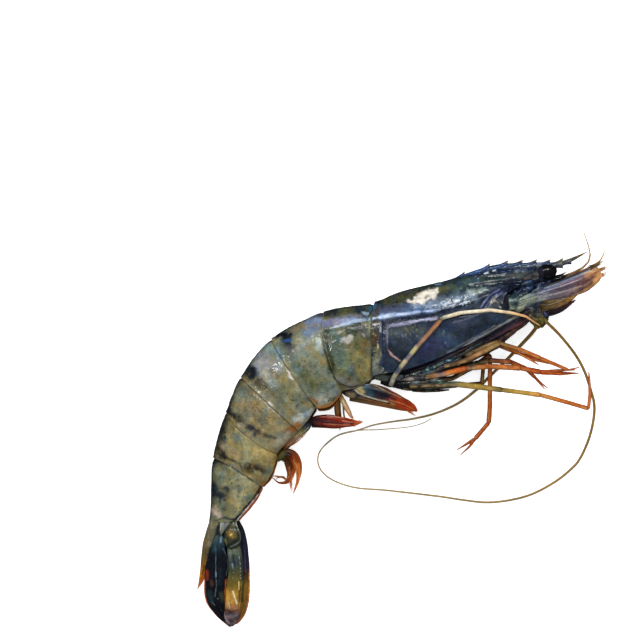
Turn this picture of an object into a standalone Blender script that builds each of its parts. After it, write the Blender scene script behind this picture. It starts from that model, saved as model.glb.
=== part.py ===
"""Raw tiger prawn lying on its left side, the way it lies on a counter.

The body is curled: the head points to +X, the back to +Y, and the tail hangs towards -Y.
The right flank faces up (+Z) and the left flank rests on the plane Z = 0, where it is pressed flat.
Each shell plate, limb, feeler, eye and tail blade is its own object.
All the tables are in millimetres.
"""

import math

import bmesh
import bpy
import numpy as np
from mathutils import Matrix, Vector

MM = 0.001
GAP = 0.3  # clearance between neighbouring pieces
ROLL = math.radians(9.0)  # the belly is turned up a little, so the far edge shows below the near one
BACK_POWER = 2.1  # superellipse powers of the body's section: a round back and a squarer belly
BELLY_POWER = 2.7
SECTION_POINTS = 24

# Stations of the carapace from its rear edge to the eyes:
# back x, back y, belly x, belly y, half width, height of the middle plane, how far the belly is turned up
CARAPACE = [
    (-8.8, 44.8, -9.4, 17.5, 9.0, 8.8, 0.00),
    (-0.3, 48.5, -0.3, 18.8, 9.6, 9.3, 0.03),
    (10.1, 51.1, 10.1, 21.8, 9.8, 9.5, 0.09),
    (20.6, 53.7, 20.6, 26.3, 9.3, 9.5, 0.14),
    (29.4, 56.0, 30.1, 30.9, 8.2, 9.3, 0.16),
    (36.4, 56.9, 37.4, 35.2, 6.8, 9.0, 0.18),
    (42.3, 57.1, 43.0, 39.0, 5.4, 8.7, 0.18),
]
# Its front margin, in stations: hollow at the antennae, drawn out over the eyes and at the lower corner
FRONT_HOLLOW = 5.2
FRONT_OVER_EYES = 1.45
FRONT_AT_CORNER = 0.65
# Stations of the abdomen at the joints between its plates, from the carapace to the tail fan
ABDOMEN = [
    (-9.4, 44.4, -9.8, 17.5, 9.0, 8.8, 0.0),
    (-26.6, 41.6, -20.3, 13.4, 9.2, 8.9, 0.0),
    (-45.1, 32.2, -29.0, 7.4, 9.0, 8.7, 0.0),
    (-56.0, 18.9, -35.3, -0.4, 8.3, 8.0, 0.0),
    (-61.2, 6.6, -42.8, -8.4, 7.2, 6.9, 0.0),
    (-65.8, -9.4, -48.2, -19.7, 6.0, 5.7, 0.0),
    (-67.0, -32.6, -57.0, -31.8, 3.6, 4.2, 0.0),
]
JOINT_BULGE = [0.0, 0.16, 0.05, 0.02, 0.14, -0.04, 0.0]  # how far each joint bows to the rear on the flanks
PLATE_TUCK = 0.7  # a plate's front slides this far under the plate before it
TUCK_LENGTH = 0.22  # share of a plate over which it comes back to full size
LOBE_DEPTHS = [0.7, 0.9, 0.9, 0.8, 0.8, 0.2]  # each side plate hangs below the joints in a round lobe

STERNUM_DEPTHS = [(0.25, 1.0), (0.9, 3.2), (1.4, 4.6), (2.1, 4.4), (2.7, 3.0), (3.1, 1.4)]  # station, depth
STERNUM_HALF_WIDTH = 3.2

# Rostrum: the toothed spine that runs on from the carapace's keel
ROSTRUM_TOP = [(12.0, 50.6), (21.3, 54.3), (29.7, 57.1), (36.4, 58.3), (46.5, 58.7), (55.6, 59.1), (65.5, 62.6)]
ROSTRUM_LOWER = [(60.0, 59.0), (54.2, 56.6), (46.0, 55.6), (36.0, 54.4), (24.0, 51.4), (12.0, 47.6)]
UPPER_TEETH = [21.8, 30.6, 36.9, 42.1, 47.0, 51.8, 56.2]  # x of each tooth's tip
LOWER_TEETH = [56.4, 59.4]
TOOTH_LENGTH = 2.6
TOOTH_HEIGHT = 1.2
ROSTRUM_HALF_THICKNESS = 1.1
ROSTRUM_TIP_SHARE = 0.3  # thickness left at the tip
HEAD_MIDDLE = (46.0, 9.2)  # y and height of a point of the head's middle plane

EYE_SIZE = (3.6, 2.5, 2.8)  # half length, half width in the plane, half height
EYE_TILT = math.radians(7.0)
EYES = {  # centre, then the points of the stalk with its radius
    "eye_near": ((51.0, 55.5, 12.8), [(43.2, 53.0, 11.8, 1.1), (46.0, 54.2, 12.4, 1.3), (49.5, 55.2, 12.8, 1.5)]),
    "eye_far": ((51.0, 54.9, 3.5), [(43.2, 52.4, 5.2, 1.1), (46.0, 53.8, 4.2, 1.3), (49.5, 54.8, 3.5, 1.5)]),
}

# Limbs: the points of each centre line with its radius there: x, y, z, radius
LEGS = {
    "leg_near_1": [(22.4, 26.0, 13.4, 0.95), (28.0, 28.6, 13.0, 0.95), (33.8, 30.9, 12.2, 0.9), (38.9, 28.2, 12.0, 0.75),
                   (44.0, 25.4, 12.6, 0.6), (48.1, 22.8, 13.6, 0.15)],
    "leg_near_2": [(15.0, 22.4, 15.1, 1.05), (22.4, 24.3, 15.3, 1.0), (29.0, 27.6, 15.0, 0.95),
                   (34.5, 30.4, 14.6, 0.95), (41.7, 28.2, 14.0, 0.9), (48.7, 25.2, 13.6, 0.9),
                   (55.7, 22.2, 13.2, 0.8), (58.5, 21.0, 13.0, 0.6), (62.3, 22.0, 12.8, 0.15)],
    "leg_near_3": [(8.5, 18.6, 15.3, 1.1), (14.0, 19.4, 15.0, 1.05), (22.6, 21.6, 14.2, 1.0), (30.8, 22.3, 13.0, 0.95),
                   (41.7, 21.7, 11.6, 0.95), (48.7, 20.3, 11.0, 0.95), (55.7, 19.8, 10.9, 0.8),
                   (62.3, 19.9, 10.8, 0.15)],
    "leg_near_4": [(3.0, 15.5, 14.7, 1.2), (10.0, 15.8, 14.7, 1.2), (19.5, 16.1, 14.9, 1.1), (35.1, 14.1, 14.2, 0.9),
                   (48.7, 12.3, 12.8, 0.85), (59.2, 9.4, 11.0, 0.8), (65.6, 7.5, 10.0, 0.7), (66.1, 12.3, 9.7, 0.65),
                   (65.9, 18.2, 9.5, 0.4), (65.7, 20.5, 9.4, 0.15)],
    "leg_far_1": [(21.0, 22.8, 3.4, 0.9), (28.0, 26.4, 3.6, 0.9), (34.3, 29.6, 4.6, 0.85), (41.0, 27.0, 5.4, 0.75),
                  (47.0, 24.6, 5.8, 0.6), (53.0, 22.9, 6.0, 0.15)],
    "leg_far_2": [(13.5, 19.6, 4.6, 1.0), (21.0, 22.0, 7.0, 1.0), (30.8, 24.4, 9.2, 0.95), (38.5, 23.8, 8.8, 0.9),
                  (43.6, 21.6, 8.2, 0.8), (47.0, 18.3, 7.8, 0.6), (50.4, 14.2, 7.4, 0.15)],
    "leg_far_3": [(9.0, 17.2, 3.0, 1.0), (18.0, 18.0, 1.9, 0.95), (25.0, 21.8, 2.2, 0.9), (31.2, 26.2, 4.8, 0.85),
                  (31.2, 18.0, 5.4, 0.85), (31.2, 8.0, 4.4, 0.85), (30.8, 2.5, 3.6, 0.85), (26.1, -3.1, 2.6, 0.8),
                  (19.5, -7.2, 1.3, 0.15)],
    "leg_far_4": [(3.0, 15.6, 3.0, 1.1), (12.0, 14.9, 2.0, 0.9), (20.0, 15.6, 2.2, 0.8), (28.4, 16.2, 3.4, 0.8),
                  (28.8, 20.6, 3.2, 0.75), (29.0, 23.4, 1.4, 0.5), (29.2, 25.6, 0.8, 0.15)],
    "leg_far_5": [(-3.0, 15.6, 4.2, 1.0), (2.0, 13.6, 2.2, 0.8), (8.0, 13.0, 1.2, 0.6), (14.0, 13.5, 0.9, 0.4),
                  (19.0, 14.3, 0.8, 0.15)],
    "maxilliped_near": [(25.0, 26.1, 9.9, 1.0), (30.0, 28.5, 9.9, 1.2), (36.0, 32.2, 9.8, 1.3),
                        (40.0, 35.4, 9.6, 1.0), (43.5, 37.0, 9.4, 0.3)],
    "maxilliped_far": [(25.0, 25.1, 6.8, 1.0), (30.0, 27.5, 6.8, 1.2), (36.0, 31.1, 6.8, 1.3),
                       (40.0, 34.2, 6.6, 1.0), (43.5, 36.0, 6.4, 0.3)],
}
# The last near leg is folded up over the flank: x, y, radius. Its height comes from the carapace under it.
FLANK_LEG = [(-3.6, 15.7, 0.95), (-2.6, 18.4, 0.95), (0.0, 22.4, 0.95), (5.2, 28.9, 0.9), (9.8, 34.0, 0.85),
             (14.3, 39.2, 0.8), (20.6, 41.3, 0.7), (31.1, 42.5, 0.6), (38.5, 41.6, 0.5)]
FLANK_LEG_TIP = [(43.4, 39.8, 15.2, 0.4), (48.4, 36.6, 13.8, 0.15)]
FLANK_LEG_ROOT_HEIGHT = 14.2

# Fingers that close a pincer: they fork from the leg of the same name
FINGERS = {
    "leg_near_3": [(48.0, 20.4, 11.0, 0.6), (55.0, 20.9, 11.8, 0.5), (61.0, 21.0, 12.0, 0.15)],
    "leg_far_2": [(46.6, 18.8, 7.8, 0.5), (49.2, 16.3, 7.2, 0.35), (51.4, 14.6, 6.6, 0.15)],
    "leg_far_3": [(26.3, -2.9, 2.6, 0.6), (24.0, -6.0, 2.2, 0.45), (20.9, -8.9, 1.6, 0.15)],
}

ANTENNULES = {
    "antennule_near": [(42.8, 49.5, 10.8, 1.4), (45.6, 50.3, 10.8, 1.6), (50.0, 51.5, 10.6, 1.5), (54.0, 52.8, 10.4, 1.1),
                       (57.4, 53.6, 10.4, 0.8), (61.0, 55.4, 10.4, 0.45), (63.7, 56.9, 10.4, 0.4),
                       (65.6, 58.9, 10.4, 0.36), (66.2, 61.3, 10.4, 0.3), (65.6, 64.4, 10.4, 0.24),
                       (63.9, 69.3, 10.2, 0.15)],
    "antennule_far": [(42.8, 48.4, 6.2, 1.4), (45.6, 49.3, 6.4, 1.6), (50.0, 50.4, 6.7, 1.5), (54.0, 51.6, 6.7, 1.1),
                      (57.4, 52.8, 6.8, 0.8), (61.5, 54.8, 6.8, 0.5), (66.1, 56.9, 6.8, 0.42), (69.4, 58.8, 6.8, 0.34),
                      (70.7, 60.9, 6.8, 0.24), (71.4, 63.0, 6.8, 0.15)],
}
# Long feelers: a stout jointed base, then a whip that sinks to the counter and lies there in loose bends
ANTENNA_BASES = {
    "antenna_near": [(43.2, 41.4, 10.6, 1.5), (46.0, 40.4, 10.8, 2.1), (49.4, 38.8, 10.6, 2.0), (50.9, 37.8, 10.2, 1.2)],
    "antenna_far": [(43.2, 40.2, 6.3, 1.5), (45.8, 39.2, 6.0, 1.8), (48.2, 37.4, 5.4, 1.8), (47.4, 35.9, 5.0, 1.0)],
}
ANTENNA_WHIPS = {
    "antenna_near": [(55.6, 33.2, 8.2), (61.1, 26.4, 5.4), (64.4, 20.5, 3.0), (66.5, 14.4, 1.5), (67.9, 8.8, 0.8),
                     (67.5, 2.7, 0.5), (65.8, -3.8, 0.45), (62.9, -10.1, 0.45), (60.0, -13.6, 0.4), (54.4, -18.1, 0.4),
                     (46.3, -22.5, 0.4), (38.3, -24.7, 0.4), (30.2, -25.5, 0.4), (22.2, -24.7, 0.4), (14.2, -23.5, 0.35),
                     (4.2, -22.3, 0.35), (-5.7, -21.2, 0.3), (-16.0, -20.3, 0.3), (-23.6, -17.8, 0.3), (-28.0, -14.2, 0.3),
                     (-29.1, -10.0, 0.3), (-27.3, -6.2, 0.25), (-22.0, -2.0, 0.25), (-15.2, -0.3, 0.25),
                     (-7.7, 0.0, 0.25), (2.3, 0.9, 0.25), (7.5, 2.2, 0.25), (10.8, 3.9, 0.25)],
    "antenna_far": [(45.1, 32.9, 3.8), (37.1, 24.5, 2.0), (31.1, 18.6, 1.3), (26.9, 14.3, 0.8), (20.4, 9.4, 0.6),
                    (12.4, 5.8, 0.6), (4.3, 3.8, 0.6), (-3.0, 2.8, 0.6), (-10.1, 2.0, 0.7), (-16.6, 0.3, 0.9),
                    (-22.2, -2.8, 1.0), (-25.9, -6.0, 0.95)],
}
WHIP_RADII = {"antenna_near": (0.55, 0.16), "antenna_far": (0.66, 0.18)}  # at the base and at the tip
WHIP_STEP = 4.0  # length of one straight piece of a whip

# Flat pieces: x, y, z of the centre line, half width in the plane, half thickness
BLADES = {
    "antenna_scale_near": [(39.9, 44.4, 12.6, 1.6, 1.5), (41.6, 44.8, 12.9, 2.3, 1.8), (46.0, 46.3, 13.2, 2.1, 1.4),
                           (51.0, 48.0, 13.4, 2.5, 1.2), (56.5, 49.8, 13.4, 2.8, 1.0), (62.5, 52.1, 13.2, 3.1, 0.9),
                           (67.5, 54.7, 13.0, 2.9, 0.7), (70.6, 56.2, 12.8, 2.0, 0.4)],
    "antenna_scale_far": [(41.4, 44.2, 4.4, 1.4, 1.2), (46.0, 43.2, 4.2, 2.1, 1.2), (52.0, 42.7, 4.2, 2.6, 1.1),
                          (58.0, 45.4, 4.3, 2.7, 0.9), (63.0, 49.4, 4.4, 2.5, 0.8), (67.0, 52.8, 4.6, 1.8, 0.6),
                          (69.0, 54.4, 4.8, 0.8, 0.4)],
    "telson": [(-65.4, -33.1, 4.4, 2.0, 2.9), (-66.5, -36.6, 4.3, 1.95, 2.6), (-67.7, -40.4, 4.2, 1.8, 2.2),
               (-68.5, -45.0, 4.1, 1.5, 1.7), (-69.8, -52.0, 3.8, 0.9, 0.9), (-71.3, -55.8, 3.6, 0.15, 0.15)],
    "uropod_base_near": [(-60.0, -32.4, 6.4, 1.8, 1.3), (-59.2, -35.4, 6.9, 2.7, 1.9), (-59.0, -38.6, 6.9, 2.7, 1.9),
                         (-59.6, -41.4, 6.2, 1.8, 1.2)],
    "uropod_base_far": [(-59.6, -32.8, 3.2, 1.5, 0.8), (-59.2, -35.4, 3.2, 2.0, 0.9), (-59.4, -38.2, 3.0, 1.6, 0.8)],
    "uropod_inner_near": [(-62.8, -37.6, 5.6, 0.6, 0.6), (-63.5, -41.0, 6.1, 1.9, 0.6), (-64.0, -45.0, 6.0, 3.0, 0.5),
                          (-64.3, -49.0, 5.4, 3.7, 0.5), (-64.9, -54.0, 4.6, 3.9, 0.5), (-65.0, -59.0, 4.0, 3.7, 0.5),
                          (-63.9, -62.6, 3.6, 3.4, 0.45), (-61.9, -66.2, 3.2, 2.2, 0.4), (-59.6, -69.0, 3.0, 0.4, 0.3)],
    "uropod_outer_near": [(-58.9, -42.4, 6.2, 1.5, 0.8), (-58.3, -46.4, 6.9, 2.3, 0.8), (-58.2, -51.0, 6.7, 2.6, 0.8),
                          (-58.4, -57.0, 6.0, 2.9, 0.8), (-58.8, -62.0, 5.2, 2.9, 0.7), (-59.3, -66.0, 4.6, 2.4, 0.6),
                          (-59.7, -68.6, 4.3, 1.0, 0.4)],
    "uropod_inner_far": [(-60.4, -39.6, 2.2, 0.8, 0.4), (-61.4, -46.0, 2.0, 2.6, 0.4), (-61.8, -55.0, 1.9, 3.0, 0.4),
                         (-61.4, -61.0, 1.8, 2.2, 0.4), (-60.8, -64.6, 1.8, 0.4, 0.3)],
    "uropod_outer_far": [(-57.6, -32.8, 1.5, 0.8, 0.5), (-56.7, -36.4, 0.9, 2.1, 0.5), (-55.8, -43.3, 0.55, 2.4, 0.5),
                         (-55.6, -51.0, 0.55, 2.5, 0.5), (-55.6, -58.0, 0.55, 2.6, 0.5), (-56.0, -63.0, 0.55, 2.1, 0.5),
                         (-57.4, -67.0, 0.55, 1.1, 0.4), (-58.0, -68.4, 0.55, 0.3, 0.3)],
    "swimmeret_near_1": [(-17.6, 11.0, 12.6, 0.9, 1.0), (-13.0, 11.6, 13.0, 2.2, 1.2), (-8.0, 11.9, 13.2, 2.7, 1.2),
                         (-2.0, 10.2, 13.2, 2.3, 1.0), (3.4, 7.7, 12.8, 1.5, 0.7), (6.4, 5.6, 12.4, 0.3, 0.2)],
    "swimmeret_far_1": [(-17.0, 9.6, 5.6, 0.9, 0.8), (-12.0, 10.0, 5.4, 1.8, 1.0), (-6.0, 9.6, 5.2, 2.0, 0.9),
                        (0.0, 7.8, 5.0, 1.2, 0.6), (2.6, 6.6, 4.9, 0.3, 0.2)],
    "swimmeret_near_2": [(-20.6, 10.8, 12.9, 0.9, 0.8), (-19.2, 8.6, 12.7, 0.9, 0.7), (-17.8, 5.8, 12.5, 0.7, 0.5),
                         (-16.5, 3.6, 12.4, 0.2, 0.2)],
    "swimmeret_far_2": [(-22.0, 9.4, 5.6, 1.0, 0.8), (-22.3, 5.8, 5.2, 1.0, 0.7), (-21.8, 2.2, 4.6, 0.8, 0.5),
                        (-21.1, -0.8, 4.2, 0.2, 0.2)],
    "swimmeret_near_3": [(-30.4, 2.9, 10.8, 1.0, 0.8), (-27.4, 3.5, 10.6, 1.8, 0.9), (-24.0, 3.3, 10.4, 2.0, 0.9),
                         (-19.0, 2.5, 10.2, 1.9, 0.7), (-15.4, 2.4, 10.0, 0.9, 0.4), (-12.7, 2.7, 9.8, 0.2, 0.2)],
    "swimmeret_far_3": [(-31.4, 1.6, 6.6, 1.0, 0.8), (-28.0, 2.2, 7.2, 1.5, 0.8), (-22.0, 2.0, 7.4, 1.5, 0.6),
                        (-16.4, 1.8, 7.4, 0.2, 0.2)],
    "swimmeret_near_4": [(-38.4, -6.6, 9.2, 0.8, 0.7), (-36.0, -4.6, 9.4, 1.1, 0.7), (-33.2, -2.4, 9.6, 0.9, 0.5),
                         (-31.2, -1.0, 9.6, 0.2, 0.2)],
    "swimmeret_far_4": [(-38.0, -7.4, 4.4, 0.8, 0.7), (-35.4, -5.2, 4.2, 1.1, 0.7), (-32.6, -3.4, 4.0, 0.9, 0.5),
                        (-30.6, -2.2, 3.8, 0.2, 0.2)],
    "swimmeret_near_5": [(-42.6, -10.6, 8.4, 1.0, 0.8), (-40.6, -8.9, 8.8, 1.9, 0.9), (-37.9, -9.6, 9.0, 2.2, 0.9),
                         (-36.6, -12.6, 8.8, 1.8, 0.7), (-36.2, -16.0, 8.2, 1.3, 0.5), (-36.9, -20.0, 7.4, 0.7, 0.3),
                         (-38.0, -22.8, 6.8, 0.2, 0.2)],
    "swimmeret_far_5": [(-42.4, -11.6, 4.4, 0.8, 0.7), (-40.2, -11.2, 4.6, 1.3, 0.7), (-38.7, -13.8, 4.6, 1.4, 0.6),
                        (-38.9, -16.6, 4.2, 1.2, 0.5), (-40.8, -18.5, 3.8, 0.8, 0.4), (-44.6, -17.0, 3.2, 0.2, 0.2)],
}
BLADE_SIDES = 8
BLADE_STEPS = 2  # rings for each stretch between two points of a blade

# Base colour, roughness
COLOURS = {
    "carapace_shell": ((0.045, 0.062, 0.090), 0.32),
    "abdomen_shell": ((0.235, 0.240, 0.150), 0.38),
    "tail_shell": ((0.012, 0.018, 0.045), 0.30),
    "tail_gold": ((0.230, 0.150, 0.035), 0.30),
    "leg_shell": ((0.420, 0.120, 0.022), 0.35),
    "leg_banded": ((0.440, 0.330, 0.170), 0.35),
    "feeler": ((0.260, 0.160, 0.050), 0.45),
    "scale_shell": ((0.120, 0.085, 0.105), 0.35),
    "swimmeret_shell": ((0.330, 0.065, 0.016), 0.35),
    "eye": ((0.008, 0.007, 0.008), 0.15),
    "sternum_shell": ((0.050, 0.060, 0.062), 0.40),
}


def clear_scene():
    for obj in list(bpy.data.objects):
        bpy.data.objects.remove(obj, do_unlink=True)


def new_collection(name, helper=False):
    collection = bpy.data.collections.new(name)
    collection.hide_render = helper
    bpy.context.scene.collection.children.link(collection)
    return collection


def new_material(name):
    colour, roughness = COLOURS[name]
    material = bpy.data.materials.new(name)
    material.use_nodes = True
    shader = material.node_tree.nodes["Principled BSDF"]
    shader.inputs["Base Color"].default_value = (*colour, 1.0)
    shader.inputs["Roughness"].default_value = roughness
    material.diffuse_color = (*colour, 1.0)
    return material


def spline(points, t):
    """Points of the smooth curve through the given points; t = k is point k."""
    points = np.asarray(points, float)
    t = np.asarray(t, float)
    ends = np.vstack([2 * points[0] - points[1], points, 2 * points[-1] - points[-2]])
    k = np.clip(np.floor(t).astype(int), 0, len(points) - 2)
    f = (t - k)[..., None]
    a, b, c, d = (ends[k + i] for i in range(4))
    return b + 0.5 * f * (c - a + f * (2 * a - 5 * b + 4 * c - d + f * (3 * (b - c) + d - a)))


def body_skin(stations, t, angle, grow=0.0, lobe=0.0):
    """Points of the body's skin. t is the place along the stations and angle goes round the section,
    from the back (0) over the near flank to the belly (pi) and back by the far flank.
    grow moves the skin outwards and lobe lowers its lower edge, both in millimetres."""
    row = spline(stations, t)
    back, belly = row[..., 0:2], row[..., 2:4]
    half_width, middle, flap = row[..., 4], row[..., 5], row[..., 6]
    span = back - belly
    height = np.linalg.norm(span, axis=-1)
    up = span / height[..., None]
    cosine, sine = np.cos(angle), np.sin(angle)
    power = np.where(cosine > 0, 2 / BACK_POWER, 2 / BELLY_POWER)
    along = np.sign(cosine) * np.abs(cosine) ** power * (height / 2 + grow)
    along -= lobe * np.clip(-cosine, 0, 1)
    across = np.sign(sine) * np.abs(sine) ** power * (half_width + grow)
    in_plane = along * math.cos(ROLL) + across * (math.sin(ROLL) + flap * np.clip(-cosine, 0, 1))
    ground = (back + belly) / 2 + up * in_plane[..., None]
    z = middle + across * math.cos(ROLL) - along * math.sin(ROLL)
    return np.concatenate([ground, np.maximum(z, 0.0)[..., None]], axis=-1)


def loft(name, rings, material, collection, end_middle=None):
    """A closed solid through rings of points. Each end is closed by a fan, to the ring's middle or to a point."""
    rings = np.asarray(rings)
    middles = [rings[0].mean(axis=0), rings[-1].mean(axis=0) if end_middle is None else end_middle]
    count, sides = rings.shape[:2]
    mesh = bmesh.new()
    grid = [[mesh.verts.new(point * MM) for point in ring] for ring in rings]
    for i in range(count - 1):
        for j in range(sides):
            k = (j + 1) % sides
            mesh.faces.new((grid[i][j], grid[i][k], grid[i + 1][k], grid[i + 1][j]))
    for ring, point, flip in ((grid[0], middles[0], True), (grid[-1], middles[1], False)):
        middle = mesh.verts.new(point * MM)
        for j in range(sides):
            k = (j + 1) % sides
            mesh.faces.new((ring[k], ring[j], middle) if flip else (ring[j], ring[k], middle))
    bmesh.ops.recalc_face_normals(mesh, faces=mesh.faces)
    data = bpy.data.meshes.new(name)
    mesh.to_mesh(data)
    mesh.free()
    return add_mesh(name, data, material, collection)


def add_mesh(name, data, material, collection):
    data.materials.clear()
    data.materials.append(material)
    data.shade_smooth()
    data.set_sharp_from_angle(angle=math.radians(40))
    obj = bpy.data.objects.new(name, data)
    collection.objects.link(obj)
    return obj


def tube(name, points, material, collection):
    """A round limb through points (x, y, z, radius): a bevelled curve, made a mesh with its caps welded."""
    points = np.asarray(points, float)
    data = bpy.data.curves.new(name, "CURVE")
    data.dimensions = "3D"
    data.bevel_depth = MM
    data.bevel_resolution = 2
    data.use_fill_caps = True
    line = data.splines.new("POLY")
    line.points.add(len(points) - 1)
    for point, (x, y, z, radius) in zip(line.points, points):
        point.co = (x * MM, y * MM, z * MM, 1.0)
        point.radius = radius
    curve = bpy.data.objects.new(name + "_curve", data)
    collection.objects.link(curve)
    bpy.context.view_layer.update()
    made = bpy.data.meshes.new_from_object(curve.evaluated_get(bpy.context.evaluated_depsgraph_get()))
    bpy.data.objects.remove(curve, do_unlink=True)
    mesh = bmesh.new()
    mesh.from_mesh(made)
    bmesh.ops.remove_doubles(mesh, verts=mesh.verts, dist=1e-6)
    bmesh.ops.recalc_face_normals(mesh, faces=mesh.faces)
    mesh.to_mesh(made)
    mesh.free()
    return add_mesh(name, made, material, collection)


def join_solid(obj, helper):
    """Unites a helper solid with the object."""
    helper.hide_render = True
    helper.display_type = "WIRE"
    union = obj.modifiers.new("join_" + helper.name, "BOOLEAN")
    union.operation = "UNION"
    union.object = helper


def blade(name, points, material, collection):
    """A flat leaf: an oval section, wide in the plane and thin across it, carried along a smooth line."""
    points = np.asarray(points, float)
    t = np.linspace(0, len(points) - 1, (len(points) - 1) * BLADE_STEPS + 1)
    row = spline(points, t)
    row[:, 3:5] = np.maximum(row[:, 3:5], 0.12)
    direction = np.gradient(row[:, 0:2], axis=0)
    direction /= np.linalg.norm(direction, axis=1)[:, None]
    side = np.column_stack([-direction[:, 1], direction[:, 0], np.zeros(len(t))])
    angle = np.arange(BLADE_SIDES) * 2 * np.pi / BLADE_SIDES
    wide = np.cos(angle)[None, :, None] * side[:, None, :] * row[:, 3][:, None, None]
    thin = np.sin(angle)[None, :, None] * np.array([0, 0, 1.0]) * row[:, 4][:, None, None]
    rings = row[:, None, 0:3] + wide + thin
    rings[..., 2] = np.maximum(rings[..., 2], 0.0)
    return loft(name, rings, material, collection)


def section_angles():
    return np.arange(SECTION_POINTS) * 2 * np.pi / SECTION_POINTS


def front_margin(angle):
    """Station of the carapace's front margin at each angle of the section."""
    cosine = np.cos(angle)
    over_eyes = FRONT_OVER_EYES * np.clip(cosine, 0, 1) ** 2
    return FRONT_HOLLOW + over_eyes + FRONT_AT_CORNER * np.clip(-cosine, 0, 1) ** 2


def make_carapace(material, collection, helpers):
    """The shell runs from its straight rear edge to the front margin. Its face is hollow."""
    angle = section_angles()[None, :]
    share = np.linspace(0, 1, 14)[:, None]
    skin = body_skin(CARAPACE, share * front_margin(angle), angle + 0 * share)
    deepest = body_skin(CARAPACE, np.full(SECTION_POINTS, FRONT_HOLLOW), section_angles()).mean(axis=0)
    shell = loft("carapace", skin, material, collection, deepest)
    join_solid(shell, make_rostrum(material, helpers))
    return shell


def tooth_points(x, top, rise):
    """The three corners of a rostral tooth whose tip is at x and leans forward."""
    xs = (x - TOOTH_LENGTH, x, x - 0.15)
    ys = np.interp(xs, top[:, 0], top[:, 1])
    return [(xs[0], ys[0]), (xs[1], ys[1] + rise), (xs[2], ys[2])]


def make_rostrum(material, collection):
    """The keel's outline with its teeth, extruded to both sides and thinned towards the tip."""
    top = spline(ROSTRUM_TOP, np.linspace(0, len(ROSTRUM_TOP) - 1, 25))
    low = np.array(ROSTRUM_LOWER[::-1])
    outline = [tuple(top[0])]
    for x in UPPER_TEETH:
        outline += tooth_points(x, top, TOOTH_HEIGHT)
    outline.append(tuple(top[-1]))
    lower = [(x, y, False) for x, y in ROSTRUM_LOWER]
    for x in LOWER_TEETH:
        lower.append((x, float(np.interp(x, low[:, 0], low[:, 1])) - 0.9, True))
    outline += [(x, y) for x, y, _ in sorted(lower, reverse=True)]

    data = bpy.data.curves.new("rostrum_outline", "CURVE")
    data.dimensions = "2D"
    data.fill_mode = "BOTH"
    data.extrude = ROSTRUM_HALF_THICKNESS * MM
    line = data.splines.new("POLY")
    line.points.add(len(outline) - 1)
    line.use_cyclic_u = True
    for point, (x, y) in zip(line.points, outline):
        point.co = (x * MM, y * MM, 0.0, 1.0)
    curve = bpy.data.objects.new("rostrum_curve", data)
    collection.objects.link(curve)
    bpy.context.view_layer.update()
    made = bpy.data.meshes.new_from_object(curve.evaluated_get(bpy.context.evaluated_depsgraph_get()))
    bpy.data.objects.remove(curve, do_unlink=True)

    mesh = bmesh.new()
    mesh.from_mesh(made)
    bmesh.ops.remove_doubles(mesh, verts=mesh.verts, dist=1e-6)
    start, tip = ROSTRUM_TOP[0][0], ROSTRUM_TOP[-1][0]
    for vert in mesh.verts:
        x, y = vert.co.x / MM, vert.co.y / MM
        share = 1 - (1 - ROSTRUM_TIP_SHARE) * (x - start) / (tip - start)
        middle = HEAD_MIDDLE[1] - (y - HEAD_MIDDLE[0]) * math.tan(ROLL)
        vert.co.z = vert.co.z * share + middle * MM
    bmesh.ops.recalc_face_normals(mesh, faces=mesh.faces)
    mesh.to_mesh(made)
    mesh.free()
    return add_mesh("rostrum", made, material, collection)


def make_abdomen(material, collection):
    """Six plates. Each starts a little smaller, under the rear edge of the plate before it."""
    angle = section_angles()[None, :]
    for k in range(len(ABDOMEN) - 1):
        front = k + JOINT_BULGE[k] * np.sin(angle) ** 2
        rear = k + 1 + JOINT_BULGE[k + 1] * np.sin(angle) ** 2
        length = np.linalg.norm(np.diff(np.array(ABDOMEN)[k : k + 2, 0:4], axis=0)[0]) / math.sqrt(2)
        inset = GAP / length
        share = np.array([0.0, 0.10, TUCK_LENGTH, 0.45, 0.70, 0.90, 1.0])[:, None]
        t = (front + inset) * (1 - share) + (rear - inset) * share
        tuck = -PLATE_TUCK * (1 - np.clip(share / TUCK_LENGTH, 0, 1)) + 0 * angle
        lobe = LOBE_DEPTHS[k] * np.sin(np.pi * share) + 0 * angle
        skin = body_skin(ABDOMEN, t, angle + 0 * share, tuck, lobe)
        loft(f"abdomen_{k + 1}", skin, material, collection)


def make_sternum(material, collection):
    """The block of leg roots under the carapace, narrower than the carapace and just clear of it."""
    station = np.array([s for s, _ in STERNUM_DEPTHS])[:, None]
    depth = np.array([d for _, d in STERNUM_DEPTHS])[:, None]
    angle = (np.arange(12) * 2 * np.pi / 12)[None, :]
    row = spline(CARAPACE, station[:, 0])
    span = row[:, 0:2] - row[:, 2:4]
    up = span / np.linalg.norm(span, axis=1)[:, None]
    clear = 2.4 * GAP
    centre = row[:, 2:4] - up * (clear + depth / 2)
    along = np.cos(angle) * depth / 2
    across = np.sin(angle) * STERNUM_HALF_WIDTH * (0.6 + 0.4 * depth / depth.max())
    along = along + across * (math.sin(ROLL) + row[:, 6][:, None])
    ground = centre[:, None, :] + up[:, None, :] * along[..., None]
    z = row[:, 5][:, None] + across
    loft("sternum", np.concatenate([ground, z[..., None]], axis=-1), material, collection)


def flank_height(x, y):
    """Height of the carapace's upper skin above a point of the ground plan."""
    t, angle = np.meshgrid(np.linspace(0, len(CARAPACE) - 1, 240), np.linspace(0.05, np.pi - 0.05, 240))
    skin = body_skin(CARAPACE, t, angle).reshape(-1, 3)
    return skin[np.argmin((skin[:, 0] - x) ** 2 + (skin[:, 1] - y) ** 2), 2]


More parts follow.
